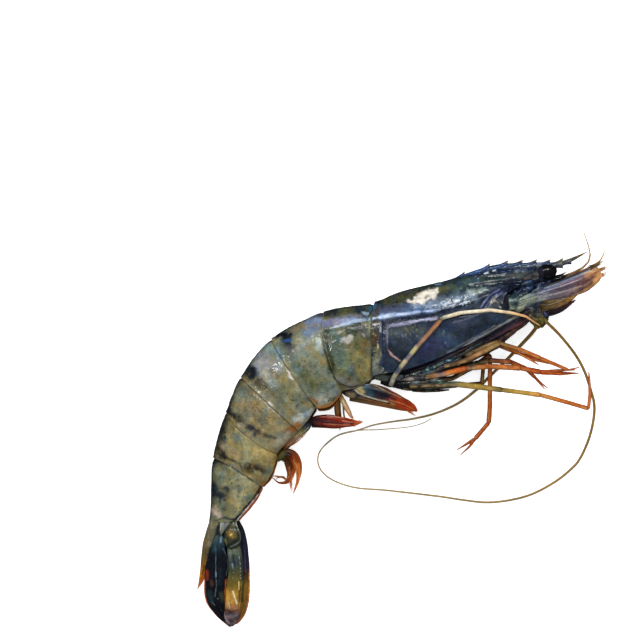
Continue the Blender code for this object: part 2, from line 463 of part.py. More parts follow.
def make_flank_leg(material, collection):
    """The fifth near leg, folded up so that it lies on the carapace."""
    x, y, radius = FLANK_LEG[0]
    points = [(x, y, FLANK_LEG_ROOT_HEIGHT, radius)]
    for x, y, radius in FLANK_LEG[1:]:
        reach = [flank_height(x + dx, y + dy) for dx in (-1, 0, 1) for dy in (-1, 0, 1)]
        points.append((x, y, max(*reach, FLANK_LEG_ROOT_HEIGHT) + radius + GAP / 2, radius))
    points += FLANK_LEG_TIP
    return tube("leg_near_5", points, material, collection)


def make_legs(plain, banded, collection, helpers):
    for name, points in LEGS.items():
        leg = tube(name, points, plain, collection)
        if name in FINGERS:
            join_solid(leg, tube(name + "_finger", FINGERS[name], plain, helpers))
    make_flank_leg(banded, collection)


def whip_points(name):
    """Evenly spaced points of a feeler's whip with a radius that tapers to the tip."""
    root = Vector(ANTENNA_BASES[name][-1][:3])
    root += (Vector(ANTENNA_WHIPS[name][0]) - root).normalized() * GAP
    route = [root, *ANTENNA_WHIPS[name]]
    fine = spline(route, np.linspace(0, len(route) - 1, 600))
    run = np.concatenate([[0], np.cumsum(np.linalg.norm(np.diff(fine, axis=0), axis=1))])
    count = int(round(run[-1] / WHIP_STEP))
    even = np.linspace(0, run[-1], count)
    thick, thin = WHIP_RADII[name]
    radius = thick + (thin - thick) * even / run[-1]
    line = np.column_stack([np.interp(even, run, fine[:, i]) for i in range(3)])
    line[:, 2] = np.maximum(line[:, 2], radius)
    return np.column_stack([line, radius])


def make_feelers(material, collection):
    for name, base in ANTENNA_BASES.items():
        tube(name + "_base", base, material, collection)
        tube(name, whip_points(name), material, collection)
    for name, points in ANTENNULES.items():
        tube(name, points, material, collection)


def make_eyes(material, collection, helpers):
    """An egg-shaped eye on a short stalk, on each side of the rostrum."""
    for name, (centre, stalk) in EYES.items():
        bpy.ops.mesh.primitive_uv_sphere_add(segments=16, ring_count=10, radius=MM)
        ball = bpy.context.object
        ball.name = name
        ball.data.name = name
        size = Matrix.Diagonal((*EYE_SIZE, 1.0))
        ball.data.transform(Matrix.Rotation(EYE_TILT, 4, "Z") @ size)
        ball.location = Vector(centre) * MM
        ball.data.materials.append(material)
        ball.data.shade_smooth()
        for owner in list(ball.users_collection):
            owner.objects.unlink(ball)
        collection.objects.link(ball)
        join_solid(ball, tube(name + "_stalk", stalk, material, helpers))


def blade_material(name, materials):
    if name.startswith("antenna_scale"):
        return materials["scale_shell"]
    if name.startswith("swimmeret"):
        return materials["swimmeret_shell"]
    if name in ("uropod_outer_near", "uropod_base_near", "telson"):
        return materials["tail_gold"]
    return materials["tail_shell"]


def main():
    clear_scene()
    prawn = new_collection("tiger_prawn")
    helpers = new_collection("helpers", helper=True)
    materials = {name: new_material(name) for name in COLOURS}
    make_carapace(materials["carapace_shell"], prawn, helpers)
    make_abdomen(materials["abdomen_shell"], prawn)
    make_sternum(materials["sternum_shell"], prawn)
    make_eyes(materials["eye"], prawn, helpers)
    make_legs(materials["leg_shell"], materials["leg_banded"], prawn, helpers)
    make_feelers(materials["feeler"], prawn)
    for name, points in BLADES.items():
        blade(name, points, blade_material(name, materials), prawn)


main()
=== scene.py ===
import math

import bpy
import numpy as np
from mathutils import Matrix, Vector


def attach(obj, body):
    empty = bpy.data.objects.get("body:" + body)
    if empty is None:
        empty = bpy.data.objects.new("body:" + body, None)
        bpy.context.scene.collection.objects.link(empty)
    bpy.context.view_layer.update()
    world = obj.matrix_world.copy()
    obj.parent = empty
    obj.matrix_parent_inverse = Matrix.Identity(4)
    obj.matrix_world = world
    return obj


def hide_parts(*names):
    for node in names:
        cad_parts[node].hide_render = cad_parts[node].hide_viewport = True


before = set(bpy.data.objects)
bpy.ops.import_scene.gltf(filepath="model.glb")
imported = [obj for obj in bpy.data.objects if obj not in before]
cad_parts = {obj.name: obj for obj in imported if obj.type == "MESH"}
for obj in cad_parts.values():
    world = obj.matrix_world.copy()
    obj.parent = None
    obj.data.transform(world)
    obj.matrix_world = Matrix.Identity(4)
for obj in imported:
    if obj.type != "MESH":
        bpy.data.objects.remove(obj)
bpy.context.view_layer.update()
unit = 0.001  # every table here is in millimetres
scene = bpy.context.scene
scene.view_settings.view_transform = "Standard"

# The camera looks straight down through a long lens, with the animal's back towards the top of the picture.
cameraLook = dict(middle=(-28.35, 38.5, 9), height=3000, viewWidth=224)


def placeCamera(look):
    camera = bpy.data.cameras.new("camera")
    camera.sensor_width = 36.0
    camera.lens = camera.sensor_width * look["height"] / look["viewWidth"]
    camera.clip_start = 0.01
    camera.clip_end = 100.0
    holder = bpy.data.objects.new("camera", camera)
    x, y, z = look["middle"]
    holder.location = (x * unit, y * unit, (z + look["height"]) * unit)
    scene.collection.objects.link(holder)
    scene.camera = holder


placeCamera(cameraLook)


# Shapes and colours: everything below works on whole arrays.

def linear(colour):  # a colour as a screen shows it, 0 to 255, to the linear values a shader takes
    share = np.asarray(colour, float) / 255
    return np.where(share <= 0.04045, share / 12.92, ((share + 0.055) / 1.055) ** 2.4)


def curveAt(points, t):  # the smooth curve through the points, where t = k is point k
    points = np.asarray(points, float)
    t = np.asarray(t, float)
    ends = np.vstack([2 * points[0] - points[1], points, 2 * points[-1] - points[-2]])
    k = np.clip(np.floor(t).astype(int), 0, len(points) - 2)
    f = (t - k)[..., None]
    a, b, c, d = (ends[k + i] for i in range(4))
    return b + 0.5 * f * (c - a + f * (2 * a - 5 * b + 4 * c - d + f * (3 * (b - c) + d - a)))


def ease(value):  # 0 to 1 with a soft start and a soft end
    share = np.clip(value, 0, 1)
    return share * share * (3 - 2 * share)


def grain(points, size, seed, layers=3):
    # random numbers on a lattice with cells of the given size, blended smoothly; each layer is half the size
    table = np.random.default_rng(seed).random(4096) * 2 - 1
    total = np.zeros(points.shape[:-1])
    weight = 1.0
    for layer in range(layers):
        place = points / (size * 0.5 ** layer) + 17.3 * layer
        cell = np.floor(place).astype(np.int64)
        f = place - cell
        f = f * f * (3 - 2 * f)
        for dx in (0, 1):
            for dy in (0, 1):
                for dz in (0, 1):
                    corner = (cell + (dx, dy, dz)) * (73856093, 19349663, 83492791)
                    key = corner[..., 0] ^ corner[..., 1] ^ corner[..., 2]
                    share = np.abs(1 - dx - f[..., 0]) * np.abs(1 - dy - f[..., 1]) * np.abs(1 - dz - f[..., 2])
                    total += weight * share * table[key & 4095]
        weight *= 0.55
    return total


def distanceTo(x, y, line):  # distance in the ground plan to a line of points, or to one point
    line = list(line)
    if len(line) == 1:
        line = line * 2
    best = np.full(np.shape(x), 1e9)
    for (ax, ay), (bx, by) in zip(line[:-1], line[1:]):
        dx, dy = bx - ax, by - ay
        share = np.clip(((x - ax) * dx + (y - ay) * dy) / max(dx * dx + dy * dy, 1e-9), 0, 1)
        best = np.minimum(best, np.hypot(x - ax - share * dx, y - ay - share * dy))
    return best


def blend(tint, colour, cover):  # lays one colour over a tint by a share from 0 to 1
    return tint + (linear(colour) - tint) * cover[..., None]


def limit(tint):  # keeps a tint between nearly black and white
    return np.clip(tint, 0.003, 1)


def brush(points, strokes, tint, ragged=0.8, seed=5):
    # lays strokes of colour over a tint: each is a colour, a half width, a soft edge, a strength and a line
    # in the ground plan; the edge wanders with the grain, and a wide stroke is broken up by a finer one
    x, y = points[..., 0], points[..., 1]
    wander = grain(points, 2.4, seed, 2) * ragged + grain(points, 0.8, seed + 1, 2) * ragged * 0.55
    broken = np.clip(0.95 + 0.60 * grain(points, 1.3, seed + 2, 3), 0.40, 1.0)
    for colour, width, soft, strength, line in strokes:
        wide = min(1.0, width / 0.8)
        away = distanceTo(x, y, line) + wander * min(1.0, width)
        edge = soft * (1 + 0.5 * wide)
        cover = ease((width + edge - away) / (2 * edge)) * strength * (1 + (broken - 1) * wide)
        tint = blend(tint, colour, cover)
    return tint


def mottle(points, tint, seed, bright=0.30, hue=0.24):
    # small clouds: brightness at two sizes, and a warm to cool turn of the colour
    light = 1 + bright * (0.9 * grain(points, 3.6, seed, 3) + 0.5 * grain(points, 0.9, seed + 1, 2))
    turn = hue * (0.9 * grain(points, 3.0, seed + 2, 3) + 0.35 * grain(points, 0.8, seed + 3, 2))
    shift = np.stack([1 + turn, 1 + 0.25 * turn, 1 - 1.1 * turn], axis=-1)
    return tint * np.clip(light, 0.35, 1.7)[..., None] * np.clip(shift, 0.5, 1.6)


def cloudy(colour, points, amount, size, seed, layers=3):  # one colour in lighter and darker clouds
    light = 1 + amount * grain(points, size, seed, layers)
    return np.broadcast_to(linear(colour), points.shape) * light[..., None]


def speckle(points, groups, tint, seed=7):
    # strews specks of colour along a line: each group is a colour, a half width of the strewn zone, a size of
    # speck, a share of cover and a line in the plan
    x, y = points[..., 0], points[..., 1]
    for number, (colour, width, size, share, line) in enumerate(groups):
        zone = ease(1.6 - distanceTo(x, y, line) / width)
        spots = grain(points, size, seed + number, 2)
        cover = ease((spots - 0.95 + share * 1.5 * zone) / 0.22) * ease(zone * 3)
        tint = blend(tint, colour, cover)
    return tint


def carve(points, strokes):
    # height of ridges (+) and grooves (-): a height, a half width and a line in the plan
    total = np.zeros(points.shape[:-1])
    for height, width, line in strokes:
        total += height * np.exp(-(distanceTo(points[..., 0], points[..., 1], line) / width) ** 2)
    return total


def outwards(grid):  # unit normals of a grid of points, pointing away from the middle of each row
    normal = np.cross(np.gradient(grid, axis=0), np.gradient(grid, axis=1))
    normal /= np.maximum(np.linalg.norm(normal, axis=-1, keepdims=True), 1e-9)
    away = (normal * (grid - grid.mean(axis=1, keepdims=True))).sum()
    return normal if away > 0 else -normal


def roundAngles(count):  # even angles all the way round a ring
    return np.linspace(0, 2 * np.pi, count, endpoint=False)


def gridFaces(rows, columns, closed):
    # four-sided faces over a grid; closed joins the last column to the first
    number = np.arange(rows * columns).reshape(rows, columns)
    after = np.roll(number, -1, axis=1)
    last = columns if closed else columns - 1
    corners = (number[:-1, :last], after[:-1, :last], after[1:, :last], number[1:, :last])
    return np.stack(corners, axis=-1).reshape(-1, 4)


def facingOut(vertices, quads, tris):  # turns all faces over if the solid's volume comes out negative
    corners = np.concatenate([quads[:, [0, 1, 2]], quads[:, [0, 2, 3]], tris])
    a, b, c = (vertices[corners[:, i]] for i in range(3))
    if (a * np.cross(b, c)).sum() < 0:
        return quads[:, ::-1], tris[:, ::-1]
    return quads, tris


def makePiece(name, vertices, quads, tris, tint, material, nodes=(), crease=48):
    # one mesh from arrays, with a colour for each vertex in the attribute tint
    quads, tris = facingOut(vertices, quads, tris)
    mesh = bpy.data.meshes.new(name)
    mesh.from_pydata((vertices * unit).tolist(), [], quads.tolist() + tris.tolist())
    mesh.update()
    colour = mesh.attributes.new("tint", "FLOAT_COLOR", "POINT")
    colour.data.foreach_set("color", np.column_stack([tint, np.ones(len(tint))]).astype(np.float32).ravel())
    mesh.materials.append(material)
    mesh.shade_smooth()
    mesh.set_sharp_from_angle(angle=math.radians(crease))
    piece = bpy.data.objects.new(name, mesh)
    scene.collection.objects.link(piece)
    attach(piece, "root")
    if nodes:
        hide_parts(*nodes)


def thickSheet(outer, thickness):
    # a sheet with a wall: the outer grid, the same grid moved in along its normals, and a strip round the edge
    rows, columns = outer.shape[:2]
    inner = outer - outwards(outer) * thickness
    inner[..., 2] = np.maximum(inner[..., 2], 0.02)
    face = gridFaces(rows, columns, False)
    count = rows * columns
    number = np.arange(count).reshape(rows, columns)
    edge = np.concatenate([number[0, :-1], number[:-1, -1], number[-1, :0:-1], number[:0:-1, 0]])
    onward = np.roll(edge, -1)
    strip = np.stack([onward, edge, edge + count, onward + count], axis=-1)
    vertices = np.concatenate([outer.reshape(-1, 3), inner.reshape(-1, 3)])
    return vertices, np.concatenate([face, face[:, ::-1] + count, strip])


def withEnds(rows):  # the rows of a grid in one list, then the middles of its first and last row
    return np.concatenate([rows.reshape(-1, 3), rows[0].mean(axis=0)[None], rows[-1].mean(axis=0)[None]])


def closedRings(rings):  # a solid through rings of points, each end closed by a fan to its middle
    count, sides = rings.shape[:2]
    vertices = withEnds(rings)
    ring = np.arange(sides)
    onward = np.roll(ring, -1)
    base = (count - 1) * sides
    first = np.stack([onward, ring, np.full(sides, count * sides)], axis=-1)
    last = np.stack([ring + base, onward + base, np.full(sides, count * sides + 1)], axis=-1)
    return vertices, gridFaces(count, sides, True), np.concatenate([first, last])


def makeSolid(name, rings, tint, material, nodes=(), crease=60):  # a closed piece through coloured rings
    vertices, quads, tris = closedRings(rings)
    makePiece(name, vertices, quads, tris, withEnds(tint), material, nodes, crease)


def makeShell(name, skin, thickness, tint, innerShade, material, nodes):
    # a sheet with a wall, its inner side in a darker tint
    vertices, quads = thickSheet(skin, thickness)
    flat = limit(tint).reshape(-1, 3)
    both = np.concatenate([flat, flat * innerShade])
    noTris = np.zeros((0, 3), int)
    makePiece(name, vertices, quads, noTris, both, material, nodes, 40)


# Materials. The groups hold what several of them share; each material sets its own values.

def newGroup(name, inputs, outputs):
    group = bpy.data.node_groups.new(name, "ShaderNodeTree")
    for label, kind, value in inputs:
        socket = group.interface.new_socket(label, in_out="INPUT", socket_type=kind)
        socket.default_value = value
    for label, kind in outputs:
        group.interface.new_socket(label, in_out="OUTPUT", socket_type=kind)
    return group, group.nodes.new("NodeGroupInput"), group.nodes.new("NodeGroupOutput")


def addNode(tree, kind, **settings):
    made = tree.nodes.new(kind)
    for label, value in settings.items():
        setattr(made, label, value)
    return made


def wire(tree, source, target):
    tree.links.new(source, target)


def addNoise(tree, place, scale, detail, roughness=0.55):
    # a noise texture read at a place; scale may be a socket
    made = addNode(tree, "ShaderNodeTexNoise")
    made.inputs["Detail"].default_value = detail
    made.inputs["Roughness"].default_value = roughness
    wire(tree, place, made.inputs["Vector"])
    if isinstance(scale, (int, float)):
        made.inputs["Scale"].default_value = scale
    else:
        wire(tree, scale, made.inputs["Scale"])
    return made.outputs["Fac"]


def addMath(tree, operation, first, second=None, third=None):
    made = addNode(tree, "ShaderNodeMath", operation=operation)
    for socket, value in zip(made.inputs, (first, second, third)):
        if value is None:
            continue
        if isinstance(value, (int, float)):
            socket.default_value = value
        else:
            wire(tree, value, socket)
    return made.outputs[0]


def times(tree, first, second):
    return addMath(tree, "MULTIPLY", first, second)


def addRange(tree, value, low, high, outLow=0.0, outHigh=1.0):
    made = addNode(tree, "ShaderNodeMapRange", interpolation_type="SMOOTHSTEP")
    wire(tree, value, made.inputs["Value"])
    for label, number in (("From Min", low), ("From Max", high), ("To Min", outLow), ("To Max", outHigh)):
        made.inputs[label].default_value = number
    return made.outputs["Result"]


def addMix(tree, factor, first, second, blend="MIX"):
    made = addNode(tree, "ShaderNodeMix", data_type="RGBA", blend_type=blend)
    sockets = {socket.identifier: socket for socket in made.inputs}
    for label, value in (("Factor_Float", factor), ("A_Color", first), ("B_Color", second)):
        if hasattr(value, "links"):
            wire(tree, value, sockets[label])
        elif isinstance(value, (int, float)):
            sockets[label].default_value = value
        else:
            sockets[label].default_value = (*value, 1.0)
    return {socket.identifier: socket for socket in made.outputs}["Result_Color"]


# Lights: a long narrow one towards the back of the animal, which makes the sheen along the shells, two small
# ones for glints, and soft ones that only fill. The sky lights everything evenly but hardly shows as a
# reflection, as if shaded, so that the dark shell keeps its depth; little light comes from below.
lightLook = dict(
    sky=(0.95, 0.97, 1), horizon=0.5, overhead=1.05, below=0.22, mirrored=0.14,
    lamps=[  # name, place in millimetres, width, depth, watts, colour, whether it is seen mirrored
        ("backStrip", (-40, 640, 690), 620, 46, 2.6, (1, 0.99, 0.98), True),
        ("backSoft", (-160, 760, 430), 700, 300, 2.6, (1, 1, 1), False),
        ("glintLeft", (-430, 300, 600), 56, 56, 0.9, (1, 1, 1), True),
        ("glintRight", (130, 430, 650), 120, 60, 0.6, (1, 1, 1), True),
        ("frontSoft", (40, -760, 520), 700, 300, 2, (1, 0.98, 0.95), False),
    ],
)


def placeLights(look):
    # sky strength: from the horizon's to the overhead value with the square of the height, less below, and
    # less for mirrored rays
    world = bpy.data.worlds.new("studio")
    world.use_nodes = True
    tree = world.node_tree
    sky = tree.nodes["Background"]
    sky.inputs["Color"].default_value = (*look["sky"], 1.0)
    parts = addNode(tree, "ShaderNodeSeparateXYZ")
    wire(tree, addNode(tree, "ShaderNodeTexCoord").outputs["Generated"], parts.inputs[0])
    height = parts.outputs["Z"]
    square = times(tree, height, height)
    strength = addMath(tree, "MULTIPLY_ADD", square, look["overhead"] - look["horizon"], look["horizon"])
    strength = times(tree, strength, addRange(tree, height, -0.08, 0.04, look["below"], 1.0))
    path = addNode(tree, "ShaderNodeLightPath")
    glossy = addRange(tree, path.outputs["Is Glossy Ray"], 0.0, 1.0, 1.0, look["mirrored"])
    strength = times(tree, strength, glossy)
    strength = addMath(tree, "MAXIMUM", strength, path.outputs["Is Camera Ray"])
    wire(tree, strength, sky.inputs["Strength"])
    scene.world = world
    aim = Vector((0.0, 0.02, 0.01))
    for name, place, width, depth, watts, colour, mirrored in look["lamps"]:
        lamp = bpy.data.lights.new(name, "AREA")
        lamp.shape = "RECTANGLE"
        lamp.size = width * unit
        lamp.size_y = depth * unit
        lamp.energy = watts
        lamp.color = colour
        holder = bpy.data.objects.new(name, lamp)
        holder.location = Vector(place) * unit
        holder.rotation_euler = (aim - holder.location).to_track_quat("-Z", "Y").to_euler()
        holder.visible_camera = False
        holder.visible_glossy = mirrored
        scene.collection.objects.link(holder)


placeLights(lightLook)


def shellMottleGroup():
    # clouds of lighter and darker pigment, a fine grain, a warm and a cool drift, dark pinpoint spots and pale
    # ones that are partly painted glints, all over a tint; Depth is the share of the tint that is kept
    numbers = dict(Size=700.0, Depth=0.75, Clouds=0.5, Grain=0.4, Drift=0.3, Spots=0.4, Pale=0.3)
    inputs = [("Tint", "NodeSocketColor", (0.5, 0.5, 0.5, 1.0))]
    inputs += [(label, "NodeSocketFloat", value) for label, value in numbers.items()]
    group, given, result = newGroup("shellMottle", inputs, [("Color", "NodeSocketColor")])
    place = addNode(group, "ShaderNodeTexCoord").outputs["Object"]
    size = given.outputs["Size"]
    clouds = addMath(group, "SUBTRACT", addNoise(group, place, size, 7.0, 0.66), 0.5)
    fine = addNoise(group, place, times(group, size, 4.2), 3.0, 0.8)
    grainy = addMath(group, "SUBTRACT", fine, 0.5)
    gain = addMath(group, "MULTIPLY_ADD", clouds, times(group, given.outputs["Clouds"], 3.2), 1.0)
    gain = addMath(group, "MULTIPLY_ADD", grainy, times(group, given.outputs["Grain"], 3.2), gain)
    gain = times(group, addMath(group, "MAXIMUM", gain, 0.15), given.outputs["Depth"])
    scaled = addNode(group, "ShaderNodeVectorMath", operation="SCALE")
    wire(group, given.outputs["Tint"], scaled.inputs[0])
    wire(group, gain, scaled.inputs["Scale"])
    drift = addNoise(group, place, times(group, size, 0.55), 4.0)
    warm = times(group, addRange(group, drift, 0.52, 0.70), given.outputs["Drift"])
    cool = times(group, addRange(group, drift, 0.48, 0.30), given.outputs["Drift"])
    colour = addMix(group, warm, scaled.outputs[0], (1.22, 0.98, 0.62), "MULTIPLY")
    colour = addMix(group, cool, colour, (0.76, 0.98, 1.20), "MULTIPLY")
    dots = addNode(group, "ShaderNodeTexVoronoi")
    wire(group, place, dots.inputs["Vector"])
    wire(group, times(group, size, 2.3), dots.inputs["Scale"])
    where = addNoise(group, place, times(group, size, 0.9), 2.0)
    dark = times(group, addRange(group, dots.outputs["Distance"], 0.34, 0.16),
                   addRange(group, where, 0.50, 0.60))
    spots = times(group, dark, given.outputs["Spots"])
    colour = addMix(group, spots, colour, (0.30, 0.32, 0.36), "MULTIPLY")
    # pale pinpoint spots: partly real pale flecks, partly painted glints
    pale = times(group, addRange(group, dots.outputs["Distance"], 0.30, 0.14),
                   addRange(group, where, 0.47, 0.38))
    colour = addMix(group, times(group, pale, given.outputs["Pale"]), colour, (0.42, 0.46, 0.46))
    wire(group, colour, result.inputs["Color"])
    return group


def wetReliefGroup():
    # height of soft dents, fine pits and hair-thin wrinkles
    group, given, result = newGroup(
        "wetRelief",
        [("Size", "NodeSocketFloat", 700.0), ("Dents", "NodeSocketFloat", 1.0),
         ("Pits", "NodeSocketFloat", 0.5)],
        [("Height", "NodeSocketFloat")])
    place = addNode(group, "ShaderNodeTexCoord").outputs["Object"]
    size = given.outputs["Size"]
    dents = times(group, addNoise(group, place, size, 3.0), given.outputs["Dents"])
    pits = addNode(group, "ShaderNodeTexVoronoi", feature="SMOOTH_F1")
    wire(group, place, pits.inputs["Vector"])
    wire(group, times(group, size, 2.6), pits.inputs["Scale"])
    fine = times(group, addRange(group, pits.outputs["Distance"], 0.05, 0.45), given.outputs["Pits"])
    wire(group, addMath(group, "ADD", dents, fine), result.inputs["Height"])
    return group


def wetFilmGroup():
    # roughness of a wet surface: a glossy film with duller patches where it has drained off
    group, given, result = newGroup(
        "wetFilm",
        [("Size", "NodeSocketFloat", 500.0), ("Wet", "NodeSocketFloat", 0.16), ("Dry", "NodeSocketFloat", 0.4)],
        [("Roughness", "NodeSocketFloat")])
    place = addNode(group, "ShaderNodeTexCoord").outputs["Object"]
    patches = addRange(group, addNoise(group, place, given.outputs["Size"], 5.0, 0.6), 0.42, 0.62)
    span = addMath(group, "SUBTRACT", given.outputs["Dry"], given.outputs["Wet"])
    wire(group, addMath(group, "MULTIPLY_ADD", patches, span, given.outputs["Wet"]), result.inputs["Roughness"])
    return group


groups = dict(mottle=shellMottleGroup(), relief=wetReliefGroup(), film=wetFilmGroup())

# Size is in features a metre. Bump is in millimetres.
finishes = dict(
    carapaceFinish=dict(
        size=640, depth=0.76, clouds=0.42, grain=0.36, drift=0.22, spots=0.25, pale=0.08, dents=1.3,
        pits=0.35, bump=0.1, wet=0.12, dry=0.3, coat=0.4, specular=0.25,
    ),
    abdomenFinish=dict(
        size=620, depth=0.76, clouds=0.4, grain=0.42, drift=0.34, spots=0.36, pale=0.08, dents=1.2, pits=0.35,
        bump=0.1, wet=0.2, dry=0.42, coat=0.22, specular=0.25,
    ),
    tailFinish=dict(
        size=640, depth=0.74, clouds=0.4, grain=0.34, drift=0.24, spots=0.3, pale=0.05, dents=1, pits=0.4,
        bump=0.09, wet=0.12, dry=0.3, coat=0.35, specular=0.22,
    ),
    legFinish=dict(
        size=900, depth=0.74, clouds=0.34, grain=0.34, drift=0.16, spots=0.25, pale=0, dents=0.8, pits=0.2,
        bump=0.04, wet=0.24, dry=0.44, coat=0.1, specular=0.12,
    ),
    feelerFinish=dict(
        size=1100, depth=0.72, clouds=0.26, grain=0.3, drift=0.16, spots=0.2, pale=0, dents=0.6, pits=0.2,
        bump=0.02, wet=0.3, dry=0.5, coat=0.05, specular=0.12,
    ),
    headFinish=dict(
        size=800, depth=0.76, clouds=0.5, grain=0.4, drift=0.2, spots=0.35, pale=0.08, dents=1.4, pits=0.4,
        bump=0.14, wet=0.1, dry=0.28, coat=0.45, specular=0.25,
    ),
    fleshFinish=dict(
        size=420, depth=0.7, clouds=0.4, grain=0.2, drift=0.25, spots=0.2, pale=0.05, dents=1, pits=0.2,
        bump=0.15, wet=0.24, dry=0.44, coat=0.2, specular=0.2,
    ),
    hairFinish=dict(
        size=900, depth=0.76, clouds=0.26, grain=0.2, drift=0.14, spots=0, pale=0, dents=0.3, pits=0.1,
        bump=0.01, wet=0.34, dry=0.5, coat=0, specular=0.1,
    ),
    eyeFinish=dict(
        size=1500, depth=0.72, clouds=0.2, grain=0.2, drift=0.1, spots=0.1, pale=0, dents=0.2, pits=0.6,
        bump=0.02, wet=0.14, dry=0.22, coat=0.3, specular=0.3,
    ),
)


def makeFinish(name, look):
    material = bpy.data.materials.new(name)
    material.use_nodes = True
    tree = material.node_tree
    shader = tree.nodes["Principled BSDF"]
    tint = addNode(tree, "ShaderNodeAttribute", attribute_name="tint")
    mottle = addNode(tree, "ShaderNodeGroup", node_tree=groups["mottle"])
    wire(tree, tint.outputs["Color"], mottle.inputs["Tint"])
    for label in ("Size", "Depth", "Clouds", "Grain", "Drift", "Spots", "Pale"):
        mottle.inputs[label].default_value = look[label.lower()]
    wire(tree, mottle.outputs["Color"], shader.inputs["Base Color"])
    relief = addNode(tree, "ShaderNodeGroup", node_tree=groups["relief"])
    for label in ("Size", "Dents", "Pits"):
        relief.inputs[label].default_value = look[label.lower()]
    bump = addNode(tree, "ShaderNodeBump")
    bump.inputs["Strength"].default_value = 1.0
    bump.inputs["Distance"].default_value = look["bump"] * unit
    wire(tree, relief.outputs["Height"], bump.inputs["Height"])
    wire(tree, bump.outputs["Normal"], shader.inputs["Normal"])
    film = addNode(tree, "ShaderNodeGroup", node_tree=groups["film"])
    for label, value in (("Size", look["size"] * 0.6), ("Wet", look["wet"]), ("Dry", look["dry"])):
        film.inputs[label].default_value = value
    wire(tree, film.outputs["Roughness"], shader.inputs["Roughness"])
    shader.inputs["Coat Weight"].default_value = look["coat"]
    shader.inputs["Coat Roughness"].default_value = look["wet"] * 0.5
    shader.inputs["Specular IOR Level"].default_value = look["specular"]
    return material


finish = {name: makeFinish(name, look) for name, look in finishes.items()}
print("materials:", len(finish))


# The body. A row of a station table: back x, back y, belly x, belly y, half width, height of the middle plane,
# how far the belly is turned up.
bodyForm = dict(roll=math.radians(9), backPower=2.1, bellyPower=2.7)


def bodySkin(stations, t, angle, grow=0.0, lobe=0.0):
    # points of the skin: t is the place along the stations, angle goes round from the back (0) over the upper
    # flank to the belly (pi); the section is an oval with a squarer belly, rolled a little; grow moves it out
    # and lobe lowers its lower edge; nothing goes below the ground
    row = curveAt(stations, t)
    back, belly = row[..., 0:2], row[..., 2:4]
    halfWidth, middle, flap = row[..., 4], row[..., 5], row[..., 6]
    span = back - belly
    height = np.linalg.norm(span, axis=-1)
    up = span / height[..., None]
    cosine, sine = np.cos(angle), np.sin(angle)
    power = np.where(cosine > 0, 2 / bodyForm["backPower"], 2 / bodyForm["bellyPower"])
    along = np.sign(cosine) * np.abs(cosine) ** power * (height / 2 + grow) - lobe * np.clip(-cosine, 0, 1)
    across = np.sign(sine) * np.abs(sine) ** power * (halfWidth + grow)
    roll = bodyForm["roll"]
    inPlane = along * math.cos(roll) + across * (math.sin(roll) + flap * np.clip(-cosine, 0, 1))
    ground = (back + belly) / 2 + up * inPlane[..., None]
    z = middle + across * math.cos(roll) - along * math.sin(roll)
    return np.concatenate([ground, np.maximum(z, 0.0)[..., None]], axis=-1)


